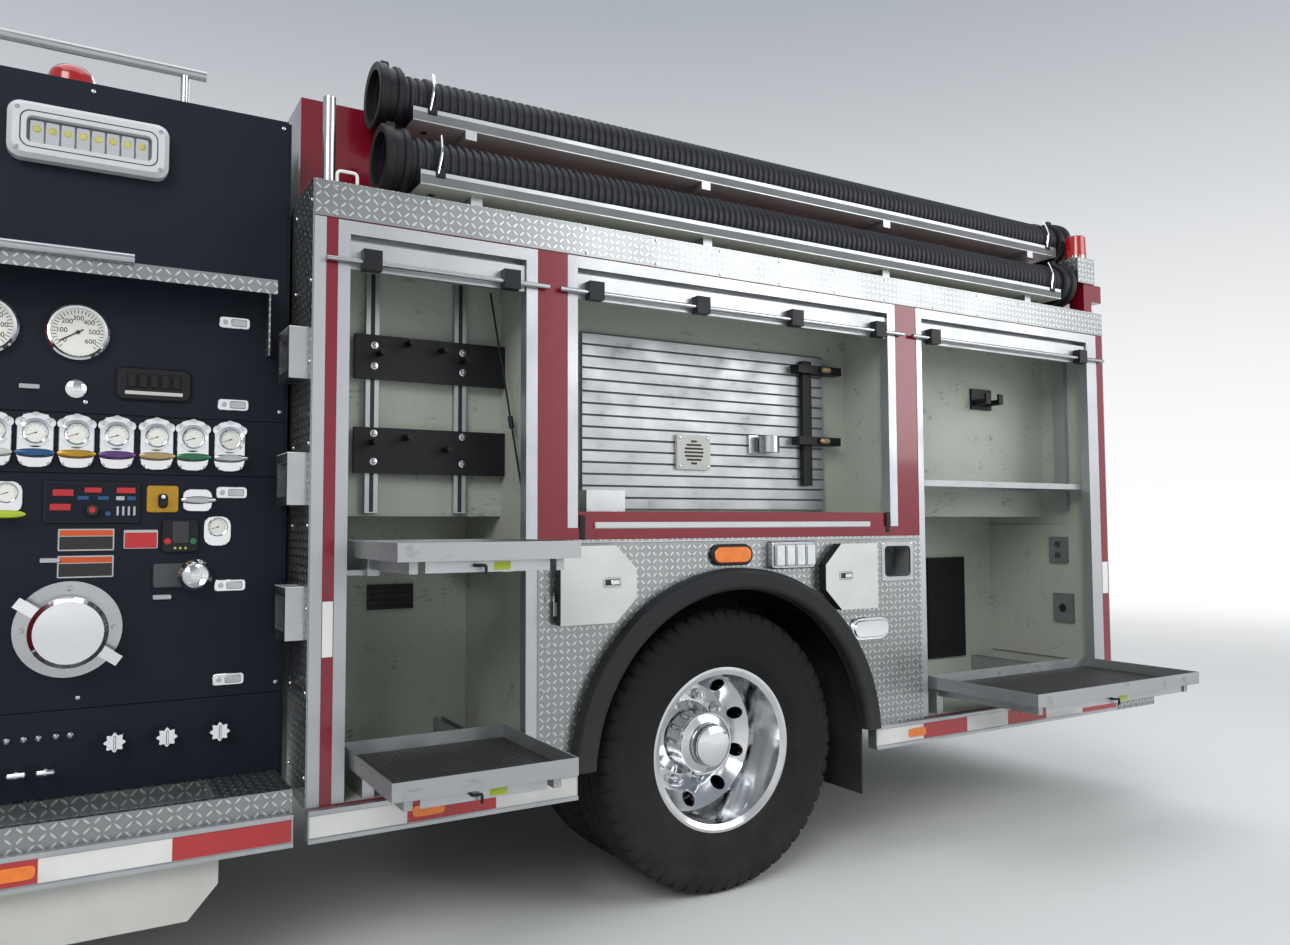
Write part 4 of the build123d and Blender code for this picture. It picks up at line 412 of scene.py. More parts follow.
    # Enamelled and cast small plates
    LIME = Finish("lime_tag", "a9b92b", "8a9920", 0.4, 0.35)
    ORANGE = Finish("orange_enamel_plate", "c8501d", "a8410f")
    BEZEL = Finish("white_satin_casting", "c8cacb", "b3b6b8", bump_mm=0.04)
    BEIGE = Finish("pale_enamel_plate", "c3c4bd", "a8a9a2", 0.4, 0.45)
    # Cab lining: seat vinyl, dash plastic, liner and a punched mat
    VINYL = Finish("grey_seat_vinyl", "34363a", "292b2e", 0.5, 0.48, 0.06, 0.0, Grain.HIDE,
                   3.5, 0.2)
    DASH = Finish("textured_dash_plastic", "2c2e31", "232527", 0.5, 0.6, 0.05, grain_mm=1.4,
                  bump_mm=0.15)
    TRIM = Finish("grey_cab_liner", "6d6f71", "5c5e60", 0.5, 0.65, 0.05, grain_mm=2.2,
                  bump_mm=0.15)
    # Punched rubber mat whose holes are near black: painted shade in the holes
    MAT = Finish("punched_rubber_mat", "2b2d30", "0b0b0c", 0.9, 0.6, 0.06, 0.0, Grain.HOLES,
                 22.0, 2.0, dust=0.3)

    def index(self) -> int:
        """The finish's number among all."""
        return list(Coat).index(self)


class PaintShop:
    """Makes each finish's material once."""

    def __init__(self) -> None:
        """Starts with no material made."""
        self.made: dict[Coat, bpy.types.Material] = {}

    def material(self, coat: Coat) -> bpy.types.Material:
        """The material of a finish."""
        if coat not in self.made:
            self.made[coat] = coat.value.material()
        return self.made[coat]

    def dress(self, node: str, coat: Coat) -> None:
        """Gives the part of the frame that has this name its finish."""
        for slot in frame["nodes"][node].material_slots:
            slot.material = self.material(coat)
        log.info("dressed %s in %s", node, coat.value.name)


shop = PaintShop()


# Meshes


@dataclass
class Shape:
    """A mesh before it is made: points, faces as runs of point numbers, a finish for each."""

    points: Array
    loops: Array
    sizes: Array
    marks: Array

    def reversed(self, points: Array) -> "Shape":
        """The shape on other points, with every face the other way round."""
        return Shape(points, self.loops[::-1], self.sizes[::-1], self.marks[::-1])

    def repeated(self, points: Array) -> "Shape":
        """The shape once for each set of points, joined into one.

        Args:
            points: copies by points by xyz.

        Returns:
            One shape that holds them all.
        """
        count, size = points.shape[:2]
        loops = (self.loops[None] + size * np.arange(count)[:, None]).ravel()
        return Shape(points.reshape(-1, 3), loops, np.tile(self.sizes, count),
                     np.tile(self.marks, count))

    def moved(self, by: Point) -> "Shape":
        """The same shape shifted by a step."""
        return self.copies([by])

    def mirrored(self) -> "Shape":
        """The shape on the truck's other side: y changes sign and faces run the other way."""
        return self.reversed(self.points * (1, -1, 1))

    def both(self) -> "Shape":
        """The shape on both sides of the truck."""
        return join([self, self.mirrored()])

    def copies(self, places: Sequence[Point]) -> "Shape":
        """Copies of the shape, one shifted to each place."""
        return self.repeated(self.points + np.asarray(places, float)[:, None])

    def along(self, xs: Iterable[float]) -> "Shape":
        """Copies of the shape, one shifted along x by each step."""
        return self.copies([(x, 0, 0) for x in xs])

    def cornered(self, x: float, z: float) -> "Shape":
        """Four copies of the shape, shifted to the corners (+-x, +-z)."""
        return self.copies([(sx * x, 0, sz * z) for sx in (-1, 1) for sz in (-1, 1)])

    def spun(self, axis: Point, degrees: Sequence[float], centre: Point = ORIGIN) -> "Shape":
        """Copies of the shape turned about a line by each angle.

        Args:
            axis: the line's direction.
            degrees: the angles.
            centre: a point on the line.

        Returns:
            One shape that holds them all. Each point p becomes
            p cos t + (k x p) sin t + k (k . p)(1 - cos t), measured from the centre.
        """
        angles = np.radians(degrees)[:, None, None]
        k, p = np.asarray(axis), self.points - centre
        turned = (p * np.cos(angles) + np.cross(k, p) * np.sin(angles)
                  + k * (p @ k)[:, None] * (1 - np.cos(angles)))
        return self.repeated(turned + centre)


def join(shapes: Iterable[Shape]) -> Shape:
    """Joins shapes into one."""
    shapes = list(shapes)
    starts = np.cumsum([0] + [len(s.points) for s in shapes])
    return Shape(np.concatenate([s.points for s in shapes]),
                 np.concatenate([s.loops + n for s, n in zip(shapes, starts)]),
                 np.concatenate([s.sizes for s in shapes]),
                 np.concatenate([s.marks for s in shapes]))


def surface(points: Array, coat: Coat, wrap: bool = False, caps: bool = False,
            loop: bool = False) -> Shape:
    """A grid of points as quads.

    Args:
        points: rows by columns by xyz.
        coat: its finish.
        wrap: the last column joins the first.
        caps: the first and last rows are closed by flat faces.
        loop: the last row joins the first.

    Returns:
        The shape, its faces outward where it is closed.
    """
    rows, cols = points.shape[:2]
    number = np.arange(rows * cols).reshape(rows, cols)
    if wrap:
        number = np.concatenate([number, number[:, :1]], 1)
    if loop:
        number = np.concatenate([number, number[:1]], 0)
    quads = np.stack([number[:-1, :-1], number[:-1, 1:], number[1:, 1:], number[1:, :-1]], -1)
    loops, sizes = [quads.reshape(-1)], [np.full(quads.size // 4, 4)]
    if caps:
        loops += [number[0, :cols][::-1], number[-1, :cols]]
        sizes.append(np.array([cols, cols]))
    loops, sizes = np.concatenate(loops), np.concatenate(sizes)
    made = Shape(points.reshape(-1, 3).astype(float), loops, sizes,
                 np.full(len(sizes), coat.index()))
    return outward(made) if wrap and (caps or loop) else made


def outward(shape: Shape) -> Shape:
    """Turns a closed shape's faces outward.

    Args:
        shape: a shape with no open edge.

    Returns:
        The shape as it is where the sum of p . (q x r) over its fans of triangles is
        positive, and otherwise with every face the other way round.
    """
    points = shape.points - shape.points.mean(0)
    ends = np.cumsum(shape.sizes)
    first = np.repeat(shape.loops[ends - shape.sizes], shape.sizes)
    volume = (points[first] * np.cross(points[shape.loops],
                                       points[np.roll(shape.loops, -1)])).sum(1)
    volume[ends - 1] = 0
    return shape if volume.sum() >= 0 else shape.reversed(shape.points)


def welded(shape: Shape) -> Shape:
    """Joins points that lie within 0.01 mm of each other.

    Args:
        shape: surfaces that meet along their edges.

    Returns:
        The closed shape, its faces outward.
    """
    keys = np.round(shape.points / 1e-5).astype(np.int64)
    kept, number = np.unique(keys, axis=0, return_inverse=True)
    first = np.zeros(len(kept), np.int64)
    first[number[::-1]] = np.arange(len(keys))[::-1]
    return outward(Shape(shape.points[first], number.ravel()[shape.loops], shape.sizes,
                         shape.marks))


def lathe(profile: Sequence[Point], centre: Point, axis: Point, coat: Coat, around: int = 40,
          loop: bool = False) -> Shape:
    """A profile turned about an axis.

    Args:
        profile: (radius, reach) pairs, from the far end to the near one or round a loop.
        centre: where reach is 0.
        axis: the way that reach runs.
        coat: its finish.
        around: points round the axis.
        loop: the profile closes on itself, so the shape has no caps.

    Returns:
        Points at centre + reach * k + radius * (i cos t + j sin t), where i, j and k are
        square to each other and k is the axis.
    """
    k = np.asarray(axis)
    i = np.cross(UP if abs(k[2]) < 0.9 else X, k)
    j = np.cross(k, i)
    pairs = np.asarray(profile, float)
    t = np.linspace(0, FULL_TURN, around, endpoint=False)[:, None]
    points = (np.asarray(centre) + pairs[:, None, 1:] * k
              + np.maximum(pairs[:, None, :1], 1e-5) * (np.cos(t) * i + np.sin(t) * j))
    return surface(points, coat, wrap=True, caps=not loop, loop=loop)


def disc(profile: Sequence[Point], coat: Coat, centre: Point = ORIGIN, around: int = 20,
         loop: bool = False) -> Shape:
    """A lathe profile that faces out of the left side; its arguments are those of lathe."""
    return lathe(profile, centre, OUT, coat, around, loop)


def rounded(width: float, height: float, radius: float, steps: int = 4) -> Array:
    """A rectangle with round corners, anticlockwise, centred on 0.

    Args:
        width: along the first way.
        height: along the second.
        radius: of its corners.
        steps: points on each corner's arc.

    Returns:
        (u, v) pairs: each corner's centre plus radius * (cos t, sin t).
    """
    radius = min(radius, width / 2 - 1e-4, height / 2 - 1e-4)
    quarter = np.arange(4)[:, None] * math.pi / 2 + np.linspace(0, math.pi / 2, steps)
    signs = np.array(((1, 1), (-1, 1), (-1, -1), (1, -1)), float)
    middle = signs * (width / 2 - radius, height / 2 - radius)
    return (middle[:, None] + radius * np.stack([np.cos(quarter), np.sin(quarter)], -1)
            ).reshape(-1, 2)


def plate(outline: Array, centre: Point, axis: Point, reach: float, coat: Coat,
          bevel: float = 0.0015, up: Point = UP) -> Shape:
    """An outline carried along an axis, its two rims bevelled.

    Args:
        outline: (u, v) pairs, anticlockwise as seen against the axis.
        centre: the outline's 0 on the near face.
        axis: the way that it is carried.
        reach: how far.
        coat: its finish.
        bevel: the rims' bevel.
        up: the way of v, square to the axis.

    Returns:
        Rings of the outline, the first and last drawn in by the bevel, with flat ends.
    """
    i = np.cross(up, axis)
    half = np.ptp(outline, 0) / 2
    middle = (outline.max(0) + outline.min(0)) / 2
    drawn = middle + (outline - middle) * (1 - bevel / half)
    rings = np.stack([drawn, outline, outline, drawn])
    depth = np.array((0, bevel, reach - bevel, reach))[:, None, None]
    points = (np.asarray(centre) + rings[..., :1] * i + rings[..., 1:] * np.asarray(up)
              + depth * np.asarray(axis))
    return surface(points, coat, wrap=True, caps=True)


def tile(size: Sequence[float], deep: float, coat: Coat, centre: Point = ORIGIN,
         bevel: float = 0.0015) -> Shape:
    """A plate that stands out of the left side.

    Args:
        size: width, height and corner radius, as for rounded.
        deep: how far it stands out.
        coat: its finish.
        centre: the middle of its near face.
        bevel: its rims' bevel.

    Returns:
        The plate.
    """
    return plate(rounded(*size), centre, OUT, deep, coat, bevel)


def rim(size: Sequence[float], hole: Sequence[float], centre: Point, reach: float, coat: Coat,
        bevel: float) -> Shape:
    """A plate with a hole that stands out of the left side, its outer edge bevelled.

    Args:
        size: width, height, corner radius and steps, as for rounded.
        hole: the same of the hole.
        centre: the middle of its near face.
        reach: how far it stands out.
        coat: its finish.
        bevel: the outer edge's bevel.

    Returns:
        Rings of the outline out to the far face and of the hole back again, as a loop.
    """
    flat, outer, inner = (tile(line, reach, coat, centre, edge).points.reshape(4, -1, 3)
                          for line, edge in ((size, 1e-6), (size, bevel), (hole, 1e-6)))
    rings = np.stack([flat[0], outer[2], outer[3], inner[3], inner[0]])
    return surface(rings, coat, wrap=True, loop=True)


def bar(low: Point, high: Point, coat: Coat, bevel: float = 0.0015) -> Shape:
    """A bevelled bar between two corners, carried along its longest side."""
    low, high = np.asarray(low, float), np.asarray(high, float)
    size = high - low
    main = int(np.argmax(size))
    axis, up = np.eye(3)[main], np.eye(3)[(main + 2) % 3]
    wide, tall = size[(main + 1) % 3], size[(main + 2) % 3]
    start = (low + high) / 2 - axis * size[main] / 2
    edge = min(bevel, wide / 3, tall / 3)
    return plate(rounded(wide, tall, edge, 2), start, axis, size[main], coat, edge, up)


def pipe(path: Array, radius: float, coat: Coat, around: int = 12) -> Shape:
    """A round bar that follows a path.

    Args:
        path: points, one row each.
        radius: of the bar.
        coat: its finish.
        around: points round it.

    Returns:
        At each point, a circle square to the path's own direction, with closed ends. Its
        first radius is square to one fixed direction, the one that no leg comes close to.
    """
    path = np.asarray(path, float)
    along = np.gradient(path, axis=0)
    along /= np.linalg.norm(along, axis=1, keepdims=True)
    skew = np.array([(1, 1, 1), (1, 1, -1), (1, -1, 1), (-1, 1, 1)]) / math.sqrt(3)
    tries = np.concatenate([np.eye(3), skew])
    clear = np.linalg.norm(np.cross(along[None], tries[:, None]), axis=2).min(1)
    i = np.cross(along, tries[int(np.argmax(clear))])
    i /= np.linalg.norm(i, axis=1, keepdims=True)
    t = np.linspace(0, FULL_TURN, around, endpoint=False)[None, :, None]
    points = path[:, None] + radius * (np.cos(t) * i[:, None]
                                       + np.sin(t) * np.cross(along, i)[:, None])
    return surface(points, coat, wrap=True, caps=True)


def bend(corners: Sequence[Point], radius: float) -> Array:
    """A path with round corners: each corner becomes a quadratic curve to its neighbours.

    Args:
        corners: the path's corner points.
        radius: how far from a corner the curve starts.

    Returns:
        The path's points, (1-t)^2 a + 2t(1-t) c + t^2 b at each corner c.
    """
    c = np.asarray(corners, float)
    before, after = c[:-2] - c[1:-1], c[2:] - c[1:-1]
    a = c[1:-1] + radius * before / np.linalg.norm(before, axis=1, keepdims=True)
    b = c[1:-1] + radius * after / np.linalg.norm(after, axis=1, keepdims=True)
    t = np.linspace(0, 1, 6)[None, :, None]
    curves = (1 - t) ** 2 * a[:, None] + 2 * t * (1 - t) * c[1:-1, None] + t ** 2 * b[:, None]
    return np.concatenate([c[:1], curves.reshape(-1, 3), c[-1:]])


def read(items: bpy.types.bpy_prop_collection, name: str, width: int = 1,
         kind: type = float) -> Array:
    """Reads one attribute of all a mesh's points, loops or faces.

    Args:
        items: the mesh's collection.
        name: the attribute.
        width: how many numbers each item has.
        kind: their type.

    Returns:
        The numbers, one column for each item.
    """
    flat = np.zeros(len(items) * width, kind)
    items.foreach_get(name, flat)
    return flat.reshape(-1, width).T


def make_piece(name: str, shapes: Iterable[Shape], body: str = "chassis",
               replaces: Sequence[str] = (), sharp: float = 35.0) -> bpy.types.Object:
    """Makes a piece from shapes and lets it ride on a body.

    Args:
        name: the piece's name.
        shapes: what it is made of.
        body: the body it rides on.
        replaces: parts of the frame that it stands for.
        sharp: edges past this angle, in degrees, stay sharp.

    Returns:
        The object.
    """
    whole = join(shapes)
    mesh = bpy.data.meshes.new(name)
    mesh.vertices.add(len(whole.points))
    mesh.vertices.foreach_set("co", whole.points.astype(np.float32).ravel())
    mesh.loops.add(len(whole.loops))
    mesh.loops.foreach_set("vertex_index", whole.loops.astype(np.int32))
    mesh.polygons.add(len(whole.sizes))
    starts = np.concatenate([[0], np.cumsum(whole.sizes)[:-1]]).astype(np.int32)
    mesh.polygons.foreach_set("loop_start", starts)
    used, marks = np.unique(whole.marks, return_inverse=True)
    mesh.update(calc_edges=True)
    return settle(mesh, [list(Coat)[number] for number in used], marks, body, replaces,
                  sharp)


def settle(mesh: bpy.types.Mesh, coats: Sequence[Coat], marks: Array, body: str,
           replaces: Sequence[str], sharp: float) -> bpy.types.Object:
    """Gives a mesh its finishes, lets it ride as a piece and reports it.

    Args:
        mesh: the piece's mesh, named like the piece.
        coats: its finishes.
        marks: each face's number in coats.
        body: the body it rides on.
        replaces: parts of the frame that it stands for.
        sharp: edges past this angle, in degrees, stay sharp.

    Returns:
        The object.
    """
    for coat in coats:
        mesh.materials.append(shop.material(coat))
    mesh.polygons.foreach_set("material_index", np.asarray(marks, np.int32))
    mesh.polygons.foreach_set("use_smooth", np.ones(len(marks), bool))
    mesh.update()
    mesh.validate()
    mesh.set_sharp_from_angle(angle=math.radians(sharp))
    piece = bpy.data.objects.new(mesh.name, mesh)
    bpy.context.scene.collection.objects.link(piece)
    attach(piece, body)
    if replaces:
        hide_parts(*replaces)
    log.info("piece %s: %d faces on %s", piece.name, len(mesh.polygons), body)
    return piece


Rule = Callable[..., Array]


def redress(node: str, name: str, coats: Sequence[Coat], rule: Rule,
            body: str = "chassis") -> None:
    """Copies a part of the frame, face for face, and gives its faces several finishes.

    Args:
        node: the part's name.
        name: the copy's name, which stands for the part.
        coats: its finishes.
        rule: takes x, y, z of the face centres and nx, ny, nz of the normals, and
            returns each face's number in coats.
        body: the body it rides on.
    """
    work = bmesh.new()
    work.from_mesh(frame["nodes"][node].data)
    bmesh.ops.remove_doubles(work, verts=work.verts, dist=2e-5)
    mesh = bpy.data.meshes.new(name)
    work.to_mesh(mesh)
    work.free()
    if "custom_normal" in mesh.attributes:
        mesh.attributes.remove(mesh.attributes["custom_normal"])
    chosen = rule(*read(mesh.polygons, "center", 3), *read(mesh.polygons, "normal", 3))
    settle(mesh, coats, chosen, body, [node], 28)


# Parts of the frame that get several finishes


@dataclass
class Dresser:
    """Gives every part of the frame its finish, and copies those that need several."""

    cab_middle: Point = ((CAB_FRONT_X + CAB_REAR_X) / 2, 0.0, 1.9)
    window_low: float = 1.60
    window_high: float = 2.38
    plain: dict = field(default_factory=lambda: {
        "chassis_frame": Coat.FRAME, "front_axle": Coat.FRAME, "rear_axle": Coat.FRAME,
        "leaf_springs": Coat.FRAME, "powertrain": Coat.CASTING, "exhaust": Coat.PIPE,
        "fuel_tank": Coat.MILL, "cab_glass": Coat.GLASS, "dashboard": Coat.DASH,
        "pump_panels": Coat.PANEL, "door_frames": Coat.TRACK, "bottle_tubes": Coat.BLACK,
        "fenders": Coat.RUBBER, "rub_rails": Coat.TRACK, "tray_slides": Coat.TRACK,
        "ladders": Coat.MILL})
    two_sided: dict = field(default_factory=lambda: {
        "knuckle": Coat.FRAME, "rim_front": Coat.WHEEL, "rims_rear": Coat.WHEEL,
        "tray_rear": Coat.MILL, "tray_front": Coat.MILL, "tray_upper": Coat.MILL})

    def dress_plain(self) -> None:
        """Dresses each part that is all of one finish."""
        for node, coat in self.plain.items():
            shop.dress(node, coat)
        for side, _ in SIDES:
            for node, coat in self.two_sided.items():
                shop.dress(f"{node}_{side}", coat)

    def cab(self, x: Array, y: Array, z: Array, *normal: Array) -> Array:
        """Red outside, grey liner inside, black below the floor and in the arches."""
        away = sum((c - m) * n for c, m, n in zip((x, y, z), self.cab_middle, normal))
        skin = ((np.abs(y) > 1.17) | (x < CAB_FRONT_X + 0.30) | (x > CAB_REAR_X - 0.02)
                | (z > 2.60))
        under = (normal[2] < -0.5) & (z < 1.2)
        arch = (np.hypot(x - FRONT_X, z - TYRE_R) < 0.62) & (np.abs(normal[1]) < 0.5)
        return np.select([under | arch, (away > 0) & skin], [2, 0], 1)

    def cab_door(self, x0: float, x1: float) -> Rule:
        """Red skin, grey liner, the glass and its black seal round a window x0 to x1."""
        def rule(x: Array, y: Array, z: Array, nx: Array, ny: Array, nz: Array) -> Array:
            flat = np.abs(ny) > 0.5
            glass = flat & (np.abs(y) > 1.190) & (np.abs(y) < 1.210)
            seal = (~flat & (x > x0 - 0.004) & (x < x1 + 0.004)
                    & (z > self.window_low - 0.004) & (z < self.window_high + 0.004))
            return np.select([glass, seal, flat & (ny * y < 0)], [2, 3, 1])

        return rule

    @staticmethod
    def trim(x: Array, y: Array, z: Array, *_: Array) -> Array:
        """Tread plate, with a dark cup and a black cap in the fuel recess."""
        x, z = x - at(2.3275), z - 1.1855
        cup = (np.abs(x) < 0.074) & (np.abs(z) < 0.064) & (y > -1.2408) & (y < 0)
        cap = cup & (np.hypot(x, z) < 0.0425) & (y < -1.1605)
        return np.select([cap, cup], [2, 1])

    @staticmethod
    def roll_doors(x: Array, y: Array, z: Array, nx: Array, *_: Array) -> Array:
        """Bright slats, black behind the frame's face, steel lift rods."""
        near = np.hypot(np.abs(y) - 1.261, z - 2.125)
        lift = (near < 0.0095) & ((np.abs(nx) < 0.1) | (near < 0.004))
        return np.select([lift, np.abs(y) > 1.2385], [2, 1])

    def build(self) -> None:
        """Dresses the whole frame."""
        self.dress_plain()
        for side, _ in SIDES:
            redress("side_body_" + side, "locker_body_" + side, (Coat.RED, Coat.LINER),
                    lambda x, y, z, *n: np.abs(y) <= HALF_W - SHEET - 0.0006)
        redress("cab_shell", "cab_body", (Coat.RED, Coat.TRIM, Coat.FRAME), self.cab)
        for name, x in (("front", CAB_FRONT_X + 0.25), ("rear", CAB_FRONT_X + 2.02)):
            for side, _ in SIDES:
                door = f"door_{name}_{side}"
                redress(door, "cab_" + door, (Coat.RED, Coat.TRIM, Coat.GLASS, Coat.BLACK),
                        self.cab_door(x, x + 0.79), "cab_" + door)
        # Red walls and header, mill-finish lane sides, tread plate beacon boxes
        redress("hose_bed", "hose_bed_walls", (Coat.RED, Coat.MILL, Coat.TREAD),
                lambda x, y, z, *n: np.select(
                    [(z > 2.5155) & (x > at(3.6)),
                     (np.abs(y) < 0.8505) & (z < 2.76) & (x < at(3.67))], [2, 1]))
        redress("tread_trim", "tread_plate_trim", (Coat.TREAD, Coat.TRIM, Coat.BLACK),
                self.trim)
        for name in ("front", "rear"):
            redress("well_door_" + name, "buffed_well_door_" + name, (Coat.SATIN, Coat.BLACK),
                    lambda x, y, z, nx, ny, nz: np.abs(ny) <= 0.5,
                    "well_door_" + name)
        # Pale enamelled boxes below the pump, between tread plate boards
        redress("step_boards", "tread_boards", (Coat.TREAD, Coat.BEIGE),
                lambda x, y, z, *n: (x > PUMP_FRONT_X - 0.01) & (x < BODY_X) & (z < 0.5352))
        redress("bumper", "front_bumper", (Coat.STEEL, Coat.TREAD),
                lambda x, y, z, nx, ny, nz: nz > 0.9)
        # Tread plate tail, mill-finish floor, black frame below it
        redress("body_center", "body_floor_and_tail", (Coat.TREAD, Coat.MILL, Coat.FRAME),
                lambda x, y, z, *n: np.select(
                    [x > at(BODY_LEN) - 0.006, z > 1.79], [0, 1], 2))
        # Aluminium troughs; their downward faces in pale enamel are painted light on the
        # undersides
        redress("hose_trays", "hose_troughs", (Coat.TRACK, Coat.BEIGE),
                lambda x, y, z, nx, ny, nz: nz < -0.5)
        redress("pump_inlets", "main_inlets", (Coat.CHROME, Coat.STEEL),
                lambda x, y, z, *n: np.abs(y) < PANEL_FACE + 0.0605)
        redress("pump_module", "pump_house", (Coat.TREAD, Coat.PANEL),
                lambda x, y, z, nx, ny, nz: np.abs(ny) > 0.5)
        # Polished rails and steps, tread plate lamp hoods
        redress("handrails", "rails_steps_and_hoods", (Coat.STEEL, Coat.TREAD),
                lambda x, y, z, *n: (np.abs(y) < 1.1505) & (z > 1.84) & (z < 2.07)
                & (x < at(-0.07)))
        redress("rolled_doors", "roll_doors_up", (Coat.TRACK, Coat.BLACK, Coat.STEEL),
                self.roll_doors)
        # Chrome grille, black mirror heads with silvered glass
        redress("cab_front", "grille_and_mirrors", (Coat.CHROME, Coat.BLACK, Coat.SILVERED),
                lambda x, y, z, nx, *n: ((np.abs(y) > 1.25) & (z > 1.5)) * (1 + (nx > 0.95)))


# Tyres


@dataclass
class Tyres:
    """Truck tyres: a crowned tread with four zigzag grooves and notched shoulders."""

    grooves: tuple = (-0.079, -0.027, 0.027, 0.079)
    groove_half: float = 0.0055
    groove_deep: float = 0.013
    groove_slope: float = 0.0015
    crown: float = 2.5
    zigzag: float = 0.0035
    notches: int = 54
    notch_deep: float = 0.009
    front_y: float = 1.000
    twin_y: tuple = (0.750, 1.080)
    # Bead to shoulder: place across, radius, share of zigzag, share of notch
    wall: tuple = ((-0.098, 0.286, 0, 0), (-0.112, 0.299, 0, 0), (-0.124, 0.334, 0, 0),
                   (-0.1275, 0.338, 0, 0), (-0.1285, 0.345, 0, 0), (-0.1375, 0.388, 0, 0),
                   (-0.1390, 0.415, 0, 0), (-0.1370, 0.441, 0, 0), (-0.1385, 0.444, 0, 0),
                   (-0.1380, 0.450, 0, 0), (-0.1340, 0.468, 0, 0.3), (-0.1270, 0.490, 0, 1),
                   (-0.1180, 0.5045, 0, 1), (-0.1070, 0.5095, 0, 1), (-0.0985, 0.5110, 0, 0))
    # One notch: places round it, in pitches, and how deep each is, as a share
    notch_cuts: tuple = (0.0, 0.04, 0.24, 0.28, 0.64)
    notch_depths: tuple = (0.0, 1.0, 1.0, 0.0, 0.0)

    def profile(self) -> Array:
        """Columns of (place across, radius, share of zigzag, share of notch), bead to bead."""
        half, slope, floor = self.groove_half, self.groove_slope, TYRE_R - self.groove_deep
        tread = []
        for place in self.grooves:
            top = TYRE_R - self.crown * place ** 2
            tread += [(place - half, top, 1, 0), (place - half + slope, floor, 1, 0),
                      (place + half - slope, floor, 1, 0), (place + half, top, 1, 0)]
        wall = np.array(self.wall)
        return np.concatenate([wall, tread, wall[::-1] * (-1, 1, 1, 1)])

    def tyre(self, x: float, y: float) -> Shape:
        """One tyre with its axle through (x, y).

        Args:
            x: the axle's station.
            y: the tyre's middle.

        Returns:
            Points x + r sin t, y + w + zigzag cos nt, r cos t, where r is the profile's
            radius less the notch depth on the rows that cross a notch.
        """
        w, r, zig, notch = self.profile().T
        turn = (np.arange(self.notches)[:, None] + self.notch_cuts).ravel()
        t = FULL_TURN * turn[:, None] / self.notches
        sway = self.zigzag * np.cos(FULL_TURN * (turn - self.notch_cuts[-1]))
        radius = r - np.tile(self.notch_depths, self.notches)[:, None] * notch * self.notch_deep
        points = np.stack([x + radius * np.sin(t), y + w + sway[:, None] * zig,
                           TYRE_R + radius * np.cos(t)], -1)
        return surface(points, Coat.TYRE, wrap=True, loop=True)

    def build(self) -> None:
        """All six tyres, in the places of the plain ones."""
        for side, way in SIDES:
            make_piece("treaded_front_tyre_" + side, [self.tyre(FRONT_X, way * self.front_y)],
                       "front_wheel_" + side, ["tyre_front_" + side], 40)
            make_piece("treaded_twin_tyres_" + side,
                       [self.tyre(REAR_X, way * y) for y in self.twin_y],
                       "rear_wheels_" + side, ["tyres_rear_" + side], 40)


# Suction hoses


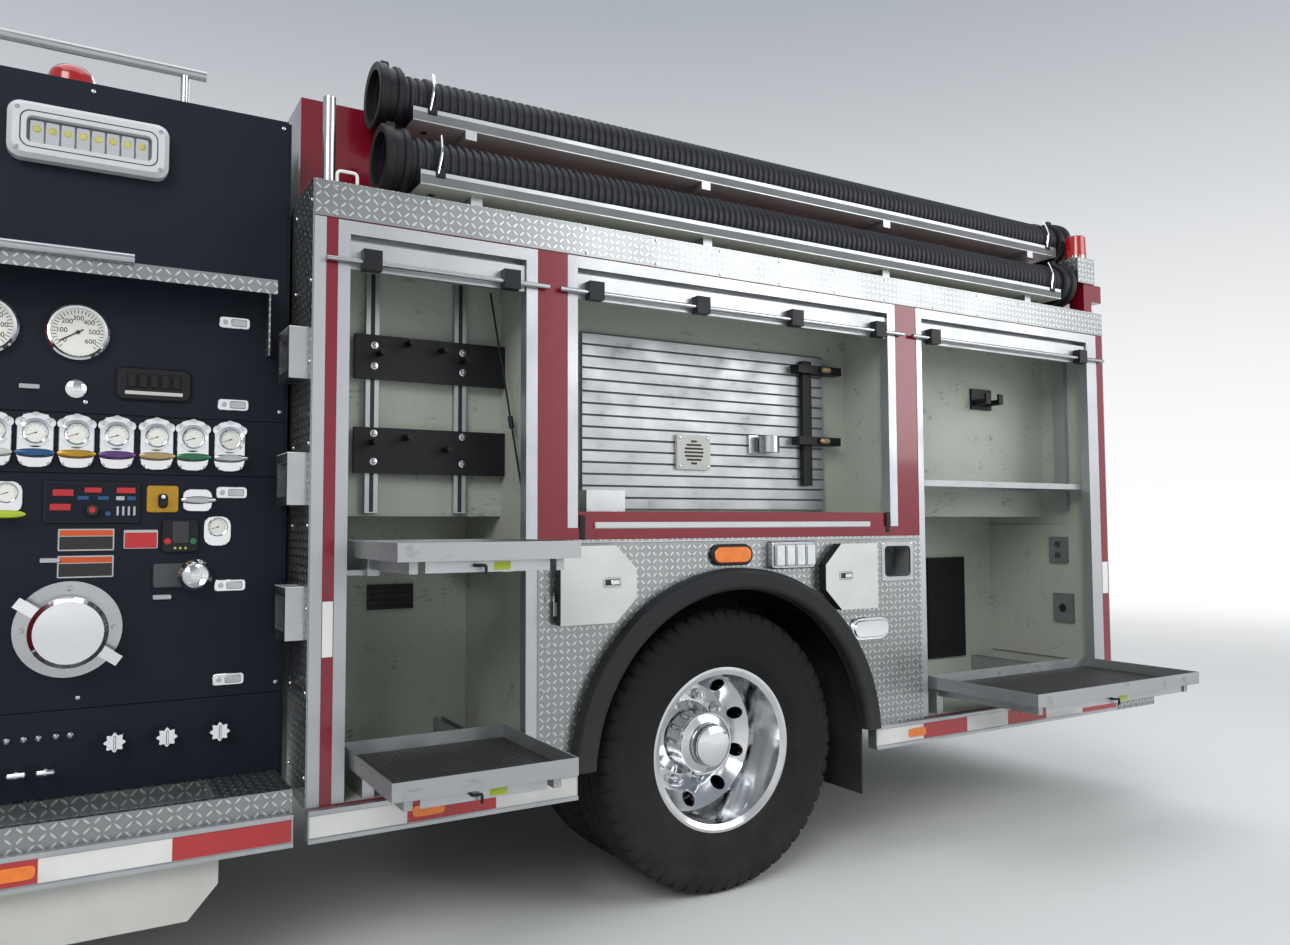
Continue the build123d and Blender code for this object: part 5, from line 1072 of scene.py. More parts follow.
@dataclass
class SuctionHoses:
    """Two rigid ribbed suction hoses in their troughs, strapped near each end."""

    # |y|, height, and where it runs along the body
    lines: tuple = ((1.111, 2.505, 0.220, 3.600), (0.996, 2.755, 0.230, 3.730))
    radius: float = 0.086
    rib: float = 0.008
    pitch: float = 0.027
    coupling_r: float = 0.109
    coupling_len: float = 0.085
    strap_in: float = 0.175
    trough_in: float = 0.111

    def body(self, y: float, z: float, x0: float, x1: float) -> Shape:
        """Ribbed hose: a circle whose radius swells once a pitch along x."""
        count = int((x1 - x0 - 0.1) / self.pitch)
        rise, high = (0.0, 0.16, 0.5, 0.66), (-self.rib, 0.0, 0.0, -self.rib)
        x = (np.arange(count)[:, None] + rise).ravel()[:, None] * self.pitch + x0 + 0.05
        radius = self.radius + np.tile(high, count)[:, None]
        t = np.linspace(0, FULL_TURN, 36, endpoint=False)
        points = np.stack(np.broadcast_arrays(x, y + radius * np.cos(t),
                                              z + radius * np.sin(t)), -1)
        return surface(points, Coat.HOSE, wrap=True, caps=True)

    def coupling(self, end: Point, way: int) -> list[Shape]:
        """Moulded coupling with a deep mouth, a gasket and two rocker lugs.

        Args:
            end: the middle of the hose's end.
            way: 1 where the hose runs towards +X.

        Returns:
            The coupling's shapes.
        """
        axis = (way, 0, 0)
        big, n = self.coupling_r, self.coupling_len
        mouth = [(0.070, 0.030), (0.084, 0.026), (0.084, 0.003), (big - 0.006, 0),
                 (big, 0.004), (big, 0.030), (big - 0.010, 0.034), (big - 0.010, 0.058),
                 (big - 0.003, 0.062), (big - 0.003, 0.076), (big - 0.010, n),
                 (0.081, n + 0.002), (0.070, n - 0.010)]
        gasket = [(0.0, 0.045), (0.078, 0.045), (0.078, 0.052), (0.0, 0.052)]
        middle = way * 0.039
        lug = bar((middle - 0.015, -0.012, big - 0.014), (middle + 0.015, 0.012, 0.1245),
                  Coat.BLACK, 0.004)
        return [lathe(mouth, end, axis, Coat.BLACK, 48, loop=True),
                lathe(gasket, end, axis, Coat.INK, 48), lug.spun(X, (0, 180)).moved(end)]

    def strap(self, x: float, y: float, z: float) -> list[Shape]:
        """Black band round the hose with an over-centre buckle and its bright lever rod."""
        r = self.radius + 0.0012
        band = lathe([(r, -0.012), (r + 0.003, -0.010), (r + 0.003, 0.010), (r, 0.012)],
                     (x, y, z), X, Coat.BLACK, 48, loop=True)
        buckle = bar((x - 0.016, y - r - 0.014, z - 0.062), (x + 0.016, y - r, z - 0.030),
                     Coat.BLACK, 0.003)
        path = bend([(x - 0.010, y - r - 0.010, z - 0.050),
                     (x + 0.004, y - r - 0.014, z + 0.025),
                     (x + 0.010, y - 0.070, z + 0.086)], 0.03)
        return [band, buckle, pipe(path, 0.0045, Coat.CHROME, 10)]

    def trough_edges(self) -> None:
        """Painted shade between each trough's bright edges, and the upper one's inner edge."""
        # (y, z) from the hose's middle at both corners, finish and bevel
        # Dark grey strip on each trough's side between its bright edges: painted shade
        painted_shade_band = ((-0.0958, -0.0853), (-0.0952, -0.0573), Coat.TRIM, 0.0002)
        lip = ((0.091, -0.1035), (0.095, -0.0896), Coat.TRACK, 0.0015)
        shapes = []
        for strip, (y, z, x0, x1) in zip((painted_shade_band, painted_shade_band, lip), (*self.lines, self.lines[1])):
            low, high, coat, bevel = strip
            shapes.append(bar((at(x0) + self.trough_in, *low), (at(x1) - self.trough_in, *high),
                              coat, bevel).moved((0, -y, z)))
        make_piece("trough_edges", shapes)

    def build(self) -> None:
        """Both hoses with their couplings and straps."""
        self.trough_edges()
        for name, (y, z, x0, x1) in zip(("lower", "upper"), self.lines):
            shapes = [self.body(-y, z, at(x0), at(x1))]
            for x, way in ((at(x0), 1), (at(x1), -1)):
                shapes += self.coupling((x, -y, z), way)
                shapes += self.strap(x + way * self.strap_in, -y, z)
            make_piece("suction_hose_" + name, shapes,
                       replaces=["suction_hoses"])


# Pump panel


@dataclass
class PumpPanel:
    """Gauges, pulls, small panels, latches and valves on both pump panels."""

    big_gauges: tuple = ((-0.588, 1.885), (-0.805, 1.885))
    big_r: float = 0.079
    row_z: float = 1.598
    row: tuple = ((-1.070, Coat.WHITE), (-0.973, Coat.REDTAPE), (-0.877, Coat.ORANGE),
                  (-0.780, Coat.BEIGE), (-0.682, Coat.BLUE), (-0.584, Coat.GOLD),
                  (-0.485, Coat.PURPLE), (-0.383, Coat.TAN), (-0.287, Coat.GREEN),
                  (-0.186, Coat.STEEL))
    # The engine governor's windows and keys: x, z, width, height, finish
    governor_rows: tuple = (
        (-0.072, 0.026, 0.050, 0.018, Coat.REDTAPE),
        (-0.078, -0.014, 0.050, 0.018, Coat.REDTAPE),
        (0.000, 0.034, 0.042, 0.014, Coat.REDTAPE), (0.082, 0.034, 0.048, 0.016, Coat.REDTAPE),
        (-0.024, 0.012, 0.028, 0.011, Coat.BLUE), (0.026, 0.012, 0.028, 0.011, Coat.BLUE),
        (0.068, 0.012, 0.022, 0.012, Coat.STEEL), (0.096, 0.012, 0.022, 0.012, Coat.BLUE))

    def dial(self, r: float, ticks: int, needle: float, sweep: float = 135.0) -> Shape:
        """A gauge at the origin that faces -Y: bezel, white dial, ticks and needle.

        Args:
            r: the radius of its bezel.
            ticks: how many marks it has.
            needle: the needle's angle in degrees, clockwise from upright.
            sweep: the last mark's angle.

        Returns:
            The gauge.
        """
        bezel = np.array(((0.86, 0.0), (1, 0.0), (1, 0.20), (0.93, 0.26), (0.86, 0.22))) * r
        hub = np.array(((0, 0.12), (0.07, 0.12), (0.05, 0.18), (0, 0.18))) * r
        mark = bar((-0.012 * r, -0.125 * r, 0.66 * r), (0.012 * r, -0.115 * r, 0.80 * r),
                   Coat.INK, 0.0002)
        hand = bar((-0.022 * r, -0.150 * r, -0.20 * r), (0.022 * r, -0.140 * r, 0.68 * r),
                   Coat.INK, 0.0003)
        return join([
            disc(bezel, Coat.CHROME, around=48, loop=True),
            disc([(0, 0.001), (0.87 * r, 0.001), (0.87 * r, 0.12 * r), (0, 0.12 * r)],
                 Coat.DIAL, around=48),
            mark.spun(Y, np.linspace(-sweep, sweep, ticks)), hand.spun(Y, [needle]),
            disc(hub, Coat.INK, around=16)])

    def numerals(self, radius: float, values: Sequence[str], sweep: float) -> Shape:
        """Plain numbers round a dial that faces -Y, from flat letters given a thickness.

        Args:
            radius: of the gauge's bezel.
            values: the numbers, first to last.
            sweep: the last number's angle in degrees.

        Returns:
            The numbers at the origin.
        """
        shapes = []
        place = 0.50 * radius
        for text, turn in zip(values, np.radians(np.linspace(-sweep, sweep, len(values)))):
            curve = bpy.data.curves.new("number", "FONT")
            curve.body, curve.size, curve.extrude = text, 0.24 * radius, 0.0004
            curve.align_x, curve.align_y = "CENTER", "CENTER"
            holder = bpy.data.objects.new("number", curve)
            mesh = bpy.data.meshes.new_from_object(holder)
            u, v, depth = read(mesh.vertices, "co", 3)
            points = np.stack([u + place * math.sin(turn), -0.122 * radius - depth,
                               v + place * math.cos(turn)], -1)
            sizes = read(mesh.polygons, "loop_total", kind=np.int32)[0]
            shapes.append(Shape(points, read(mesh.loops, "vertex_index", kind=np.int32)[0],
                                sizes, np.full(len(sizes), Coat.INK.index())))
            bpy.data.objects.remove(holder)
        return join(shapes)

    def on_both(self, shape: Shape, *places: Point) -> Shape:
        """Sets copies of a shape that faces -Y on both panels, each readable from its side.

        Args:
            shape: built round the origin.
            places: (x from the body, height) of each copy.

        Returns:
            The left copies and the right ones, those turned half round.
        """
        left = np.array([(at(x), -PANEL_FACE, z) for x, z in places])
        return join([shape.copies(left), shape.spun(UP, [180]).copies(left * (1, -1, 1))])

    def gauge_body(self) -> Shape:
        """A small gauge on a scalloped chrome plate with ears and four screws."""
        ears = disc([(0, 0), (0.014, 0), (0.014, 0.008), (0, 0.010)], Coat.CHROME,
                    (0, 0, 0.044))
        ring = [(0.029, 0), (0.041, 0), (0.040, 0.014), (0.031, 0.016)]
        screw = disc([(0, 0), (0.004, 0), (0.003, 0.003), (0, 0.003)], Coat.STEEL,
                     (0, -0.007, 0), 10)
        return join([
            self.dial(0.030, 11, -110).moved((0, -0.008, 0)),
            tile((0.086, 0.150, 0.030), 0.007, Coat.CHROME, (0, 0, -0.020)),
            ears.spun(Y, (-50, 0, 50)), disc(ring, Coat.CHROME, around=36, loop=True),
            screw.copies([(-0.032, 0, -0.084), (0.032, 0, -0.084), (-0.034, 0, 0.030),
                          (0.034, 0, 0.030)])])

    def gauges(self) -> None:
        """The two big gauges and the row of small ones with their pulls and tags."""
        numbers = self.numerals(self.big_r, [str(n) for n in range(0, 601, 100)], 128)
        shapes = [self.on_both(join([self.dial(self.big_r, 31, -122), numbers]),
                               *self.big_gauges),
                  self.on_both(self.gauge_body(), *((x, self.row_z) for x, _ in self.row))]
        shapes += [self.on_both(self.pull(tag), (x, self.row_z)) for x, tag in self.row]
        make_piece("pressure_gauges", shapes, replaces=["pump_controls"])

    def pull(self, tag: Coat) -> Shape:
        """A valve's oval pull handle below its gauge, in its line's colour."""
        grip = disc([(0, 0.030), (0.018, 0.030), (0.026, 0.034), (0.026, 0.040),
                     (0.020, 0.044), (0, 0.045)], tag, around=32)
        grip.points *= (1.8, 1, 0.42)
        stem = disc([(0, 0.005), (0.008, 0.005), (0.008, 0.034), (0, 0.034)], Coat.CHROME,
                    around=14)
        return join([grip, stem]).moved((0, 0, -0.056))

    def small_panels(self) -> None:
        """Switch panel, governor panel, selector, display, pulls and blank plates."""
        rocker = tile((0.022, 0.040, 0.004), 0.008, Coat.BLACK, (0, -0.012, 0.008), 0.002)
        switches = join([
            tile((0.196, 0.094, 0.020), 0.012, Coat.BLACK, bevel=0.004),
            rocker.along((-0.058, -0.029, 0.0, 0.029, 0.058)),
            tile((0.150, 0.010, 0.002), 0.001, Coat.BEIGE, (0, -0.012, -0.027), 0.0003)])
        small = join([self.dial(0.028, 11, -110).moved((0, -0.006, 0.012)),
                      tile((0.076, 0.088, 0.026), 0.006, Coat.CHROME)])
        knob = join([tile((0.080, 0.066, 0.02), 0.010, Coat.CHROME),
                     self.pull(Coat.STEEL).moved((0, 0, 0.056))])
        rows = (
            (switches, (-0.393, 1.751)), (self.governor(), (-0.541, 1.408)),
            (self.selector(), (-0.364, 1.419)), (self.display(), (-0.316, 1.312)),
            (small, (-0.216, 1.325)),
            (join([small, self.pull(Coat.LIME).moved((0, 0, 0.010))]), (-0.745, 1.420)),
            (knob, (-0.272, 1.416)), *self.plates())
        make_piece("control_panels", [self.on_both(*row) for row in rows])

    def governor(self) -> Shape:
        """Engine governor panel: four dark red displays, buttons and a knob."""
        knob, face = (-0.001, -0.010, -0.022), -0.0102
        stripe = tile((0.006, 0.026, 0.001), 0.002, Coat.STEEL, (0, face, -0.024), 0.0004)
        return join([
            tile((0.238, 0.116, 0.006), 0.009, Coat.BLACK),
            tile((0.226, 0.104, 0.005), 0.0012, Coat.PANEL, (0, -0.009, 0), 0.0004),
            *(tile((wide, tall, 0.002), 0.002, coat, (x, face, z), 0.0005)
              for x, z, wide, tall, coat in self.governor_rows),
            stripe.along((0.062, 0.076, 0.090, 0.104)),
            disc([(0, 0), (0.017, 0), (0.015, 0.014), (0, 0.015)], Coat.INK, knob, 28),
            disc([(0, 0.015), (0.009, 0.015), (0.008, 0.019), (0, 0.019)], Coat.REDTAPE, knob),
            disc([(0, 0), (0.008, 0), (0.007, 0.006), (0, 0.006)], Coat.BLUE,
                 (0.038, -0.010, -0.032))])

    def selector(self) -> Shape:
        """Gold plate with a black selector knob."""
        return join([
            tile((0.084, 0.078, 0.008), 0.004, Coat.GOLD),
            tile((0.024, 0.042, 0.010), 0.022, Coat.BLACK, (0.0, -0.004, -0.006), 0.004),
            disc([(0, 0), (0.006, 0), (0.005, 0.003), (0, 0.003)], Coat.WHITE,
                 (0, -0.026, 0.006), 14)])

    def display(self) -> Shape:
        """Small upright display between a red and a green button."""
        button = [(0, 0), (0.010, 0), (0.009, 0.006), (0, 0.007)]
        dot = disc([(0, 0), (0.004, 0), (0.003, 0.003), (0, 0.003)], Coat.LED,
                   (0, -0.012, -0.036), 12)
        return join([
            tile((0.096, 0.094, 0.010), 0.012, Coat.BLACK),
            tile((0.044, 0.064, 0.003), 0.003, Coat.DASH, (0, -0.012, 0.010), 0.001),
            disc(button, Coat.REDTAPE, (-0.034, -0.012, -0.016)),
            disc(button, Coat.GREEN, (0.034, -0.012, -0.016)), dot.along((-0.014, 0, 0.014))])

    def plates(self) -> list[tuple]:
        """Rows of (shape, places): blank plates in bright frames, label holders, bolts."""
        def card(*layers: tuple) -> Shape:
            return join([tile(size, deep, coat, (0, y, z), bevel)
                         for size, deep, coat, y, z, bevel in layers])

        orders = card(((0.138, 0.062, 0.003), 0.0018, Coat.STEEL, 0, 0, 0.0005),
                      ((0.130, 0.016, 0.001), 0.0006, Coat.ORANGE, -0.0018, 0.019, 0.0002),
                      ((0.130, 0.036, 0.001), 0.0006, Coat.INK, -0.0018, -0.009, 0.0002))
        red = card(((0.088, 0.054, 0.003), 0.0018, Coat.STEEL, 0, 0, 0.0005),
                   ((0.082, 0.044, 0.002), 0.0006, Coat.REDTAPE, -0.0018, -0.003, 0.0002))
        holder = tile((0.050, 0.014, 0.004), 0.006, Coat.STEEL)
        bolt = disc([(0, 0), (0.006, 0), (0.0055, 0.003), (0.002, 0.0045), (0, 0.0045)],
                    Coat.STEEL, around=14)
        return [(orders, (-0.554, 1.303), (-0.554, 1.228)), (red, (-0.418, 1.303)),
                (holder, (-0.700, 1.726), (-0.640, 1.247), (-0.360, 1.135), (-0.880, 1.726)),
                (bolt, *((x, z) for z in (2.585, 1.690, 1.460, 0.866)
                         for x in (-1.235, -0.900, -0.565, -0.045)))]

    def latch(self) -> Shape:
        """Flush paddle latch: a bright oval ring, a recess, a paddle and a lock."""
        return join([
            tile((0.087, 0.034, 0.009), 0.004, Coat.CHROME),
            tile((0.044, 0.022, 0.004), 0.003, Coat.STEEL, (0.012, -0.004, 0)),
            disc([(0, 0), (0.008, 0), (0.007, 0.004), (0, 0.004)], Coat.STEEL,
                 (-0.026, -0.004, 0), 18)])

    def star_knob(self) -> Shape:
        """A knob of eight lobes on a stem: radius 26 mm plus 4 mm times cos 8t."""
        t = np.linspace(0, FULL_TURN, 48, endpoint=False)
        star = (0.026 + 0.004 * np.cos(8 * t))[:, None] * np.stack([np.cos(t), np.sin(t)], -1)
        return join([plate(star, (0, -0.030, 0), OUT, 0.016, Coat.CHROME, 0.003),
                     disc([(0, 0), (0.012, 0), (0.010, 0.030), (0, 0.030)], Coat.CHROME),
                     bar((-0.003, -0.058, -0.020), (0.003, -0.044, 0.020), Coat.CHROME)])

    def valves(self) -> None:
        """Latches, knobs, drain bolts, T-handles, relief valve and the suction cap."""
        drain = disc([(0, 0), (0.009, 0), (0.008, 0.010), (0.003, 0.014), (0, 0.014)],
                     Coat.STEEL, around=16)
        stem = [(0, 0), (0.013, 0), (0.009, 0.020), (0.009, 0.040), (0, 0.040)]
        tee = join([disc(stem, Coat.CHROME, around=18),
                    bar((-0.024, -0.052, -0.007), (0.024, -0.038, 0.007), Coat.CHROME, 0.005)])
        lamp = disc([(0, 0), (0.026, 0), (0.026, 0.006), (0.020, 0.010), (0, 0.012)],
                    Coat.CHROME, around=32)
        rows = (
            (self.latch(), *((-0.178, z) for z in (1.955, 1.705, 1.440, 1.163, 0.885))),
            (self.star_knob(), *((x, 0.741) for x in (-0.474, -0.343, -0.204))),
            (drain, *((x, 0.766) for x in (-0.728, -0.689, -0.655, -0.614, -0.580))),
            (tee, *((x, 0.680) for x in (-0.703, -0.636, -0.770))),
            (self.relief(), (-0.278, 1.197)), (lamp, (-0.589, 1.726)),
            (self.flange_bolts(), (-0.592, 1.057)))
        make_piece("valves_and_latches", [self.on_both(*row) for row in rows])

    def relief(self) -> Shape:
        """Relief valve: a cast plate at the left of a domed chrome wheel."""
        wheel = [(0, 0.006), (0.030, 0.006), (0.046, 0.030), (0.046, 0.042), (0.036, 0.056),
                 (0.030, 0.050), (0.012, 0.046), (0.010, 0.062), (0, 0.064)]
        return join([tile((0.110, 0.070, 0.006), 0.010, Coat.CASTING, (-0.052, 0, 0), 0.003),
                     disc(wheel, Coat.CHROME, around=40)])

    def flange_bolts(self) -> Shape:
        """Four bolts round the main inlet's flange and a ring on its cap."""
        bolt = disc([(0, 0.012), (0.008, 0.012), (0.007, 0.018), (0, 0.019)], Coat.STEEL,
                    (0, 0, 0.112), 14)
        ring = [(0.070, 0.124), (0.078, 0.124), (0.078, 0.1285), (0.070, 0.1285)]
        return join([bolt.spun(Y, (0, 90, 180, 270)),
                     disc(ring, Coat.CHROME, around=48, loop=True)])

    def build(self) -> None:
        """All that is on the pump panels."""
        self.gauges()
        self.small_panels()
        self.valves()


# Lamps


@dataclass
class Lamps:
    """Scene lights, wheel well lights, rear clusters, beacons and the light bar."""

    lens_share: float = 0.28
    diodes: int = 8
    bar_edges: tuple = (-0.716, -0.430, -0.143, 0.143, 0.430, 0.716)

    def housing(self, size: Sequence[float], deep: float, lens: Coat, case: Coat,
                edge: float) -> Shape:
        """A lamp at the origin that faces -Y: a rim, a sunk gap and a proud lens.

        Args:
            size: width, height and corner radius.
            deep: how far it stands out.
            lens: the lens's finish.
            case: the rim's finish.
            edge: the rim's width.

        Returns:
            The lamp.
        """
        wide, tall, radius = size
        step = (1 - self.lens_share) * deep
        inner = (wide - 2 * edge, tall - 2 * edge, max(radius - edge, 0.004), 6)
        return join([tile((*size, 6), step, case, bevel=0.3 * edge),
                     tile(inner, self.lens_share * deep, lens, (0, -step, 0), 0.22 * edge)])

    def side_lamps(self) -> Shape:
        """Amber oval, four-cell work light and chrome oval on the wheel well panel."""
        amber = self.housing((0.186, 0.078, 0.038), 0.021, Coat.AMBER, Coat.BLACK, 0.011)
        cell = self.housing((0.046, 0.082, 0.008), 0.014, Coat.CLEARLENS, Coat.STEEL, 0.005)
        cells = cell.moved((0, -0.032, 0)).along((-0.0735, -0.0245, 0.0245, 0.0735))
        block = join([tile((0.205, 0.104, 0.010), 0.032, Coat.STEEL, bevel=0.004), cells])
        oval = self.housing((0.202, 0.093, 0.046), 0.020, Coat.CHROME, Coat.CHROME, 0.013)
        return join([lamp.moved((at(x), -OUTER, z)) for lamp, x, z in (
            (amber, 1.486, 1.228), (block, 1.7595, 1.223), (oval, 2.161, 0.922))])

    def fuel_surround(self) -> Shape:
        """Bright surround with four screws round the left side's fuel recess."""
        ring = rim((0.176, 0.160, 0.020, 6), (0.145, 0.125, 0.018, 6), ORIGIN, 0.003,
                   Coat.STEEL, 0.001)
        screw = disc([(0, 0.0042), (0.0035, 0.0038), (0.0042, 0.003), (0, 0.003)],
                     Coat.CHROME, around=12)
        return join([ring, screw.cornered(0.080, 0.072)]).moved((at(2.3275), -OUTER, 1.1855))

    def panel_lights(self) -> Shape:
        """Scene light high on each pump panel: a pale bezel round eight cells."""
        bezel = rim((0.399, 0.158, 0.034, 8), (0.308, 0.074, 0.014, 8), ORIGIN, 0.0446,
                    Coat.BEZEL, 0.012)
        gap = rim((0.340, 0.104, 0.026, 8), (0.334, 0.098, 0.024, 8), (0, -0.0444, 0), 0.0005,
                  Coat.INK, 0.0001)
        floor = tile((0.3078, 0.0738, 0.014, 8), 0.0235, Coat.TRIM, bevel=0.0005)
        cell = join([tile((0.033, 0.062, 0.004), 0.002, Coat.CHROME, (0, -0.0236, 0), 0.0008),
                     disc([(0, 0.0052), (0.008, 0.0045), (0.0105, 0.002), (0, 0.002)],
                          Coat.LED, (0, -0.0238, 0.008), 16)])
        screw = disc([(0, 0.0028), (0.005, 0.0022), (0.006, 0), (0, 0)], Coat.STEEL,
                     (0, -0.0447, 0), 12)
        cells = cell.along(0.037 * (np.arange(self.diodes) - (self.diodes - 1) / 2))
        lamp = join([bezel, gap, floor, cells, screw.cornered(0.176, 0.056)])
        return lamp.moved((at(-0.5695), -PANEL_FACE, 2.431)).both()

    def pump_dome(self) -> list[Shape]:
        """Red dome on a black foot on the pump house's roof."""
        place = (at(-0.620), -0.500, PUMP_TOP)
        dome = [(0, 0.2445), (0.026, 0.2425), (0.048, 0.2350), (0.0625, 0.2190),
                (0.0690, 0.1990), (0.0698, 0.0530), (0, 0.0530)]
        foot = [(0, 0.0525), (0.074, 0.0525), (0.078, 0.0485), (0.078, 0.0005), (0, 0.0005)]
        return [lathe(dome, place, UP, Coat.REDLENS, 48),
                lathe(foot, place, UP, Coat.BLACK, 48)]

    def rear_clusters(self) -> list[Shape]:
        """Three square lamps each side of the rear: red, amber and clear."""
        shapes = []
        for z, lens in ((0.975, Coat.CLEARLENS), (1.155, Coat.AMBER), (1.335, Coat.REDLENS)):
            lamp = self.housing((0.148, 0.148, 0.020), 0.038, lens, Coat.CHROME, 0.012)
            place = (at(BODY_LEN) + SKIN, 0.210 - HALF_W, z)
            shapes.append(lamp.spun(UP, [90]).moved(place).both())
        return shapes

    def beacons(self) -> list[Shape]:
        """Red beacon on each header box: a base and a flat-topped dome."""
        place = (at(3.685), -1.155, 2.641)
        dome = [(0, 0.1195), (0.030, 0.1190), (0.041, 0.1165), (0.046, 0.1110),
                (0.0485, 0.030), (0.0495, 0.024), (0.0495, 0.0), (0, 0.0)]
        base = [(0, 0.0015), (0.0495, 0.0015), (0.0495, 0.018), (0, 0.018)]
        return [lathe(dome, place, UP, Coat.REDLENS, 48).both(),
                lathe(base, place, UP, Coat.CHROME).both()]

    def light_bar(self) -> list[Shape]:
        """Cab roof light bar: five lens bays between dark ribs on a bright base."""
        x, low, lens_low, high = CAB_FRONT_X + 0.570, 2.742, 2.773, 2.888
        edges = self.bar_edges
        lenses = (Coat.REDLENS, Coat.REDLENS, Coat.CLEARLENS, Coat.REDLENS, Coat.REDLENS)
        foot = bar((x - 0.070, -0.040, CAB_TOP), (x + 0.070, 0.040, low - 0.0005), Coat.STEEL)
        return [
            bar((x - 0.146, edges[0], low), (x + 0.146, edges[-1], low + 0.030), Coat.STEEL,
                0.006),
            *(bar((x - 0.140, y0 + 0.006, lens_low), (x + 0.140, y1 - 0.006, high), lens, 0.024)
              for y0, y1, lens in zip(edges, edges[1:], lenses)),
            *(bar((x - 0.143, y - 0.005, lens_low), (x + 0.143, y + 0.005, high), Coat.BLACK,
                  0.002) for y in edges[1:-1]),
            foot.copies([(0, y, 0) for y in (-0.600, 0.0, 0.600)])]

    def build(self) -> None:
        """All lamps."""
        shapes = [self.side_lamps().both(), self.fuel_surround(), self.panel_lights(),
                  *self.rear_clusters(), *self.pump_dome(), *self.beacons(), *self.light_bar()]
        make_piece("lamps_and_beacons", shapes, replaces=["lamps"])


# Trim of the rear body


@dataclass
class BodyTrim:
    """Rub rail tape, pillar patches, latches, bolts, corner trim and step treads."""

    rail_y: float = HALF_W + 0.025
    block: float = 0.28
    spans: tuple = ((PUMP_FRONT_X, BODY_X - 0.040), (BODY_X, at(0.850)),
                    (at(2.175), at(BODY_LEN)))
    screw: tuple = ((0, 0), (0.0065, 0), (0.0055, 0.0028), (0, 0.0036))
    arch_r: float = 0.715
    arch_z: float = 0.505

    def tape(self) -> None:
        """White tape with red blocks in the rub rails' grooves, and marker lamps on it."""
        y = self.rail_y
        shapes: list[Shape] = []
        for x0, x1 in self.spans:
            count = max(round((x1 - x0) / self.block), 2)
            edges = np.linspace(x0 + 0.004, x1 - 0.004, count + 1)
            for i, (a, b) in enumerate(zip(edges, edges[1:])):
                shapes.append(bar((a + 0.0004, -y - 0.0012, 0.460),
                                  (b - 0.0004, -y - 0.0002, 0.520),
                                  Coat.REDTAPE if i % 2 else Coat.WHITE, 0.0003))
        shapes += [tile((0.100, 0.034, 0.012), 0.0030, coat, (at(x), -y - 0.0014, 0.490), 0.001)
                   for x, coat in ((0.350, Coat.AMBER), (-0.700, Coat.AMBER),
                                   (2.400, Coat.AMBER), (3.640, Coat.REDLENS))]
        make_piece("rail_tape", [join(shapes).both()])

    def patches(self) -> None:
        """White patches and edge trim on the corner pillars, joint strips on the tail."""
        # x from the body, |y| and height, each at both ends, then finish and bevel
        rows = ((0.037, 0.067, 1.2462, 1.2452, 0.960, 1.120, Coat.WHITE, 0.0003),
                (3.692, 3.734, 1.2462, 1.2452, 1.000, 1.150, Coat.WHITE, 0.0003),
                (0.0, 0.035, 1.2474, 1.2451, 0.537, 2.250, Coat.TRACK, 0.0008),
                (3.7432, 3.7452, 0.622, 0.586, 0.537, 1.797, Coat.TRACK, 0.0008))
        shapes = [bar((at(x0), -y0, z0), (at(x1), -y1, z1), coat, bevel)
                  for x0, x1, y0, y1, z0, z1, coat, bevel in rows]
        corners = ((0.070, 2.3605), (0.070, 2.405), (0.130, 2.405), (0.130, 2.3605))
        loop = bend([(at(x), -1.215, z) for x, z in corners], 0.014)
        shapes.append(pipe(loop, 0.005, Coat.WHITE, 10))
        make_piece("pillar_trim", [join(shapes).both()])

    def latches(self) -> None:
        """Paddle latches on the two wheel well doors."""
        latch = join([
            tile((0.068, 0.032, 0.005), 0.003, Coat.STEEL, bevel=0.001),
            # Near-black plate round the paddle: painted shade in the latch's recess
            tile((0.056, 0.020, 0.003), 0.0008, Coat.INK, (0, -0.003, 0), 0.0002),
            tile((0.032, 0.015, 0.003), 0.003, Coat.CHROME, (0.009, -0.0038, 0), 0.001)])
        for name, x, z in (("front", 0.968, 1.147), ("rear", 2.007, 1.138)):
            make_piece("well_door_latch_" + name, [latch.moved((at(x), -OUTER - 0.044, z))],
                       "well_door_" + name)

    def bolts(self) -> None:
        """Screw heads round the wheel well panel, the top band and the front face."""
        turn = np.radians(np.linspace(12, 168, 9))
        arch = np.stack([1.505 + self.arch_r * np.cos(turn),
                         self.arch_z + self.arch_r * np.sin(turn)], 1)
        spots = [*((x, z) for z in (2.346, 2.262) for x in np.linspace(0.06, 3.68, 14)),
                 *arch[arch[:, 1] < 1.0],
                 *((x, z) for x in (0.735, 2.440) for z in (0.60, 0.80, 1.00))]
        face = [(BODY_X - SKIN, y, z) for z in np.linspace(0.62, 2.30, 8)
                for y in (-1.225, -1.010)]
        side = disc(self.screw, Coat.STEEL, around=12).copies(
            [(at(x), -OUTER, z) for x, z in spots])
        front = lathe(self.screw, ORIGIN, FORWARD, Coat.STEEL, 12).copies(face)
        make_piece("trim_screws", [side.both(), front.both()])

    def treads(self) -> None:
        """Grip strips and bright ribs on the folding steps' top edges."""
        x, y0, y1 = BODY_X - 0.0595, -1.212, -1.053
        strip = bar((x, y0, 0.0002), (x + 0.0535, y1, 0.0030), Coat.WHITE, 0.0008)
        ribs = bar((x + 0.001, y0 + 0.001, 0.0030), (x + 0.003, y1 - 0.001, 0.0042),
                   Coat.CHROME, 0.0003).along(0.0085 * np.arange(7))
        tops = [(0, 0, z) for z in (1.920, 1.550, 1.160)]
        make_piece("step_treads", [join([strip, ribs]).copies(tops).both()])

    def build(self) -> None:
        """All trim."""
        self.tape()
        self.patches()
        self.latches()
        self.bolts()
        self.treads()


# Locker fittings


